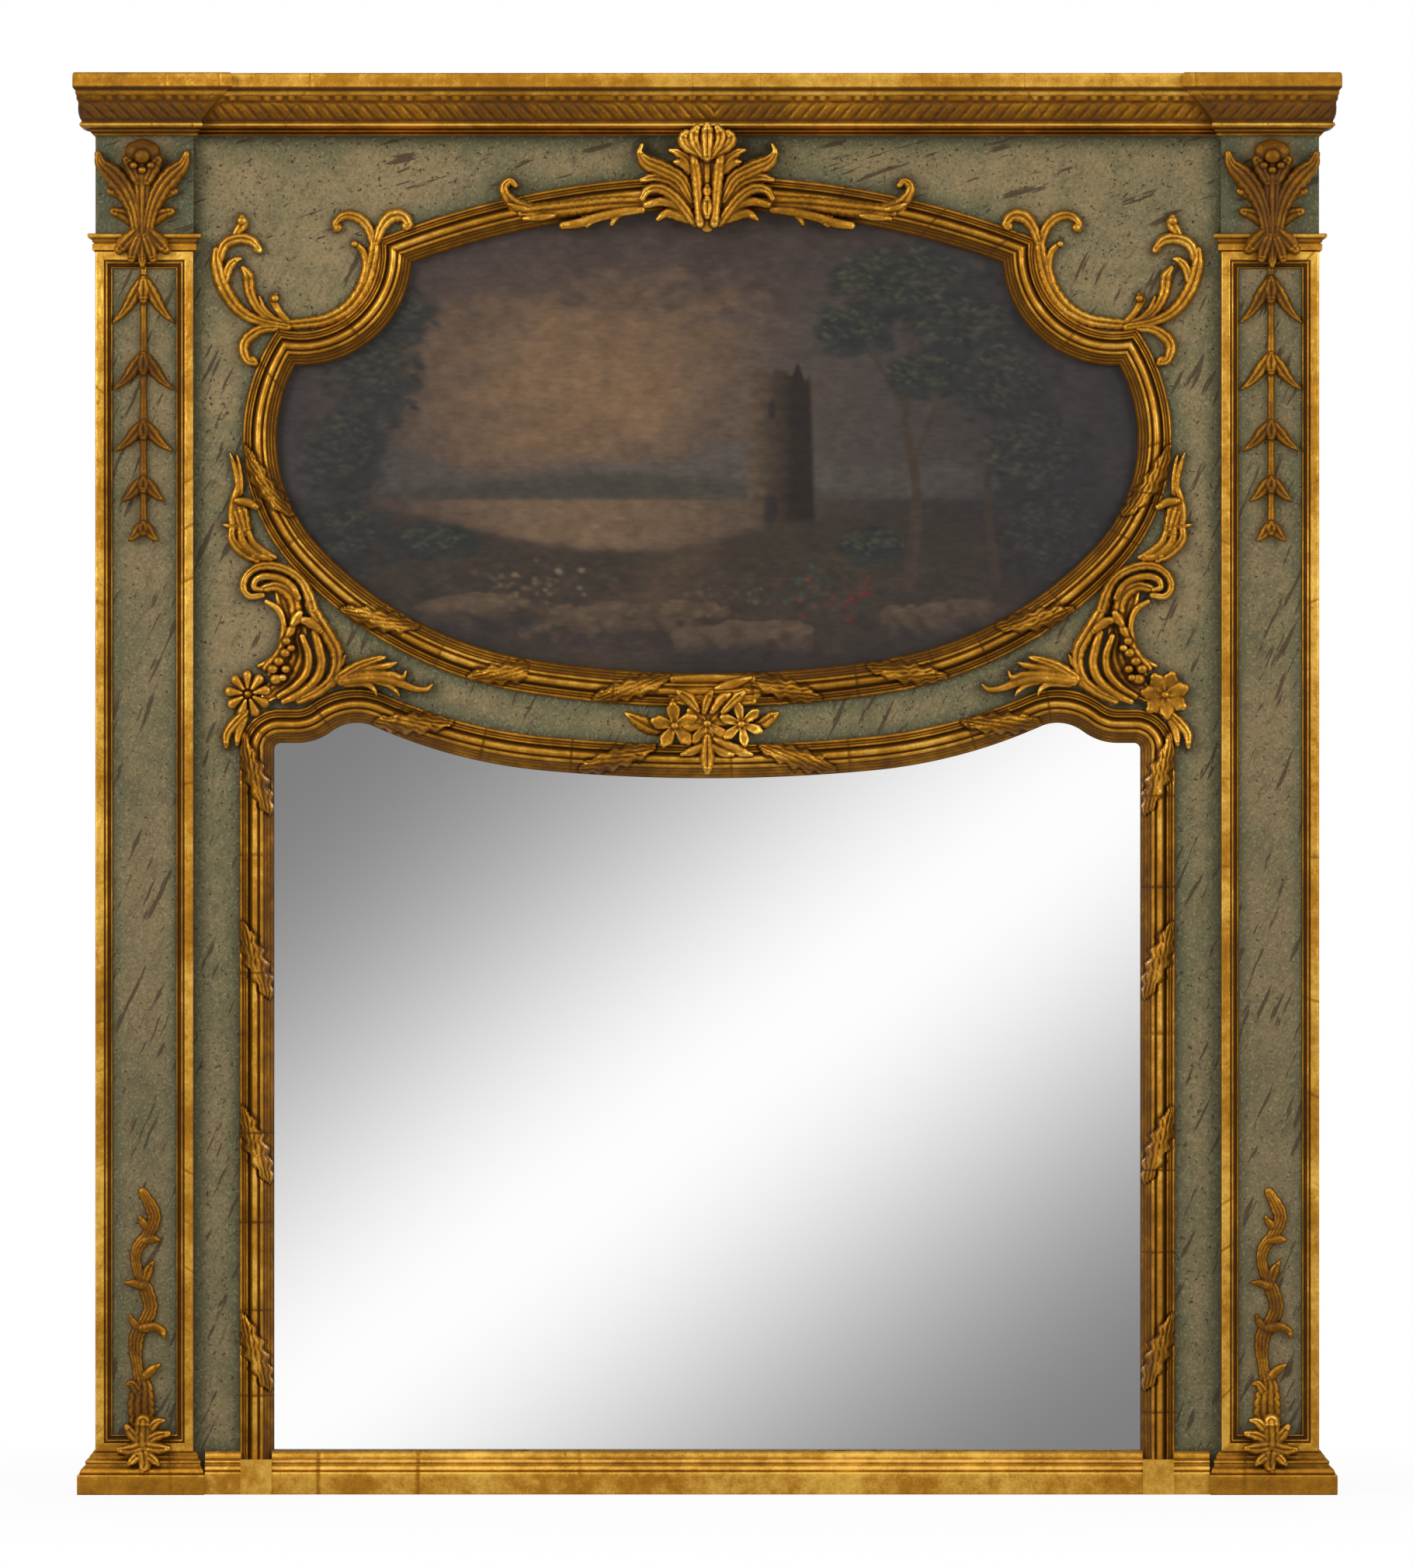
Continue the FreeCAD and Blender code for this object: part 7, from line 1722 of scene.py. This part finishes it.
def trees(picture, x, z):
    bark = np.array((0.060, 0.042, 0.028))
    for line in ([(262, 1180, 17), (270, 1290, 13), (255, 1400, 9), (268, 1520, 5)],
                 [(266, 1330, 9), (300, 1410, 7), (342, 1470, 4)],
                 [(258, 1400, 7), (225, 1450, 5), (196, 1490, 3)],
                 [(372, 1175, 14), (362, 1300, 10), (380, 1430, 6)],
                 [(-430, 1180, 12), (-438, 1300, 8), (-425, 1420, 5)]):
        picture = trunk(picture, x, z, line, bark)
    clumps = [((265, 1560), (105, 52)), ((190, 1500), (62, 34)), ((345, 1500), (80, 46)),
              ((290, 1440), (60, 30)), ((390, 1430), (70, 60)), ((430, 1330), (80, 70)),
              ((-430, 1440), (62, 70)), ((-470, 1340), (60, 60)), ((-395, 1520), (48, 36)),
              ((470, 1230), (90, 60)), ((-480, 1230), (80, 55)), ((222, 1222), (50, 24)),
              ((-345, 1228), (52, 24))]
    for k, (centre, radius) in enumerate(clumps):
        picture = foliage(picture, x, z, centre, radius, 30 + 3 * k, 0.6)
    return picture


def painting():
    low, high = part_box("painting_canvas")
    middle = (low[0] + high[0]) / 2 / MM
    centre = (low[2] + high[2]) / 2 / MM
    columns, rows = [BACK_STEP * round(size / MM / PAINT_PITCH / BACK_STEP) + 1
                     for size in (CANVAS_WIDTH, CANVAS_HEIGHT)]
    xs = middle + np.linspace(-CANVAS_WIDTH / 2, CANVAS_WIDTH / 2, columns) / MM
    zs = centre + np.linspace(-CANVAS_HEIGHT / 2, CANVAS_HEIGHT / 2, rows) / MM
    x, z = np.meshgrid(xs, zs, indexing="ij")
    colour = landscape(x, z).reshape(-1, 3)
    colour = np.hstack([colour, np.ones((len(colour), 1))])
    points = np.stack([x.ravel(), np.full(x.size, CANVAS_DEPTH - 0.1), z.ravel()], axis=1)
    quads = grid_faces(x.shape[0], x.shape[1], flip=True)
    sheet = piece("painted_canvas", points, quads, CANVAS_PAINT,
                  ("painting_canvas",), {"picture": colour})
    x, z = np.meshgrid(xs[::BACK_STEP], zs[::BACK_STEP], indexing="ij")
    points = np.stack([x.ravel(), np.full(x.size, CANVAS_DEPTH - CANVAS_THICKNESS), z.ravel()], axis=1)
    back = piece("canvas_back", points, grid_faces(x.shape[0], x.shape[1]), RAW_LINEN)


painting()


# ---------------------------------------------------------------------------------------
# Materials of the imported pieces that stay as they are
# ---------------------------------------------------------------------------------------
FINISHES = {
    PAINT_FIELD: ["field_panel"],
    PAINT_PILASTER: ["pilaster_board_left", "pilaster_board_right", "frieze_block_left",
                     "frieze_block_right"],
    GILT_CASE: ["stile_blocks"],
    BACK_WOOD: ["back_stile_left", "back_stile_right"],
    RAIL_WOOD: ["back_top_rail", "back_middle_rail", "back_bottom_rail", "cornice_top_board",
                "cornice_back_board", "mirror_back_board"],
    STRETCHER_WOOD: ["glass_battens", "picture_blocks", "painting_stretcher", "stretcher_keys"],
    SILVERED_GLASS: ["mirror_glass"],
    BRASS: ["hanger_straps", "hanger_ring_left", "hanger_ring_right"],
    STEEL: ["hanger_screws", "batten_screws"],
}
for finish, names in FINISHES.items():
    for name in names:
        mesh = nodes[name].data
        mesh.materials.clear()
        mesh.materials.append(finish)


# ---------------------------------------------------------------------------------------
# Floor, world and lights
# ---------------------------------------------------------------------------------------
def floor():
    mesh = bpy.data.meshes.new("studio_floor")
    reach = 9
    mesh.from_pydata([(-reach, -reach, 0), (reach, -reach, 0), (reach, reach, 0), (-reach, reach, 0)],
                     [], [(0, 1, 2, 3)])
    made, graph, shader = material("studio_floor")
    graph.set(shader, "Base Color", graph.mix(graph.noise(2, 2), (0.93, 0.93, 0.93, 1),
                                              (0.95, 0.95, 0.95, 1)))
    shader.inputs["Roughness"].default_value = 0.9
    away = graph.node("ShaderNodeVectorMath", {0: graph.place()}, operation="LENGTH").outputs["Value"]
    share = graph.math("ADD", graph.scaled(graph.between(away, 0.8, 1.8), 0.12), 0.88)
    rays = graph.node("ShaderNodeLightPath").outputs
    share = graph.math("MULTIPLY", share, rays["Is Camera Ray"])
    glow = graph.node("ShaderNodeEmission", {"Color": (1, 1, 1, 1), "Strength": 1.0})
    blend = graph.node("ShaderNodeMixShader", {0: share, 1: shader.outputs[0], 2: glow.outputs[0]})
    output = next(n for n in graph.tree.nodes if n.type == "OUTPUT_MATERIAL")
    graph.set(output, "Surface", blend.outputs[0])
    mesh.materials.append(made)
    plane = bpy.data.objects.new("studio_floor", mesh)
    bpy.context.scene.collection.objects.link(plane)
    plane.visible_glossy = False


# The sheen in the mirror, as shown on screen: grey, rising to white along one slanting line.
REFLECTION_GREY = 0.50
REFLECTION_PEAK = 400
REFLECTION_REACH = 690
SCREEN_GAMMA = 2.22
SHEEN_FROM, SHEEN_TO = 1500, 3200   # outside the mirror the sheen gives way to a plain gradient
AMBIENT = 0.50
GLOSSY_AMBIENT = 0.72


def world():
    """White behind the object; in the mirror a soft grey and white slope; plain light otherwise."""
    made = bpy.data.worlds.new("studio")
    bpy.context.scene.world = made
    made.use_nodes = True
    graph = Graph(made.node_tree)
    way = graph.node("ShaderNodeSeparateXYZ",
                     {0: graph.node("ShaderNodeTexCoord").outputs["Generated"]}).outputs
    back = graph.math("MAXIMUM", graph.scaled(way[1], -1.0), 0.05)
    across, up = [graph.scaled(graph.math("DIVIDE", way[k], back), CAMERA_DISTANCE) for k in (0, 2)]
    z = graph.math("ADD", up, camera_z)
    slope = graph.math("SUBTRACT", graph.scaled(across, 0.61), graph.scaled(z, 0.79))
    away = graph.math("ABSOLUTE", graph.math("ADD", slope, REFLECTION_PEAK))
    bright = graph.node("ShaderNodeMapRange", {0: away, 1: REFLECTION_REACH, 2: 0.0},
                        interpolation_type="SMOOTHSTEP").outputs[0]
    shown = graph.math("ADD", graph.scaled(bright, 1 - REFLECTION_GREY), REFLECTION_GREY)
    level = graph.math("POWER", shown, SCREEN_GAMMA)
    reach = graph.math("MAXIMUM", graph.math("ABSOLUTE", across), graph.math("ABSOLUTE", z))
    outside = graph.between(reach, SHEEN_FROM, SHEEN_TO)
    height = graph.scaled(graph.between(way[2], -0.5, 0.9), 0.5, GLOSSY_AMBIENT - 0.2)
    glossy_level = graph.math("ADD", graph.math("MULTIPLY", level, graph.opposite(outside)),
                              graph.math("MULTIPLY", outside, height))
    rays = graph.node("ShaderNodeLightPath").outputs
    plain = graph.math("ADD", graph.math("MULTIPLY", rays["Is Glossy Ray"],
                                         graph.math("SUBTRACT", glossy_level, AMBIENT)), AMBIENT)
    white_behind = graph.math("MULTIPLY", rays["Is Camera Ray"], graph.opposite(plain))
    strength = graph.math("ADD", white_behind, plain)
    background = graph.node("ShaderNodeBackground", {"Color": (1, 1, 1, 1), "Strength": strength})
    graph.node("ShaderNodeOutputWorld", {"Surface": background.outputs[0]})


MIDDLE = (0, 0, MIRROR_TOP / 2 * MM)


def area_light(name, place, size, power, glossy=True):
    data = bpy.data.lights.new(name, "AREA")
    data.shape = "RECTANGLE"
    data.size, data.size_y = size
    data.energy = power
    lamp = bpy.data.objects.new(name, data)
    bpy.context.scene.collection.objects.link(lamp)
    lamp.location = place
    lamp.visible_camera = False
    lamp.visible_glossy = glossy
    x, y, z = [a - b for a, b in zip(place, MIDDLE)]
    lamp.rotation_euler = (math.atan2(math.hypot(x, y), z), 0, math.atan2(x, -y))


floor()
world()
area_light("left_light", (-2.4, -3.0, 2.3), (1.4, 1.6), 64)
area_light("right_light", (2.6, -3.0, 2.1), (1.4, 1.6), 48)
area_light("low_light", (0, -4.2, 0.35), (2.0, 0.6), 20, False)
area_light("back_light", (0.8, 3.6, 2.4), (1.6, 1.6), 46, False)
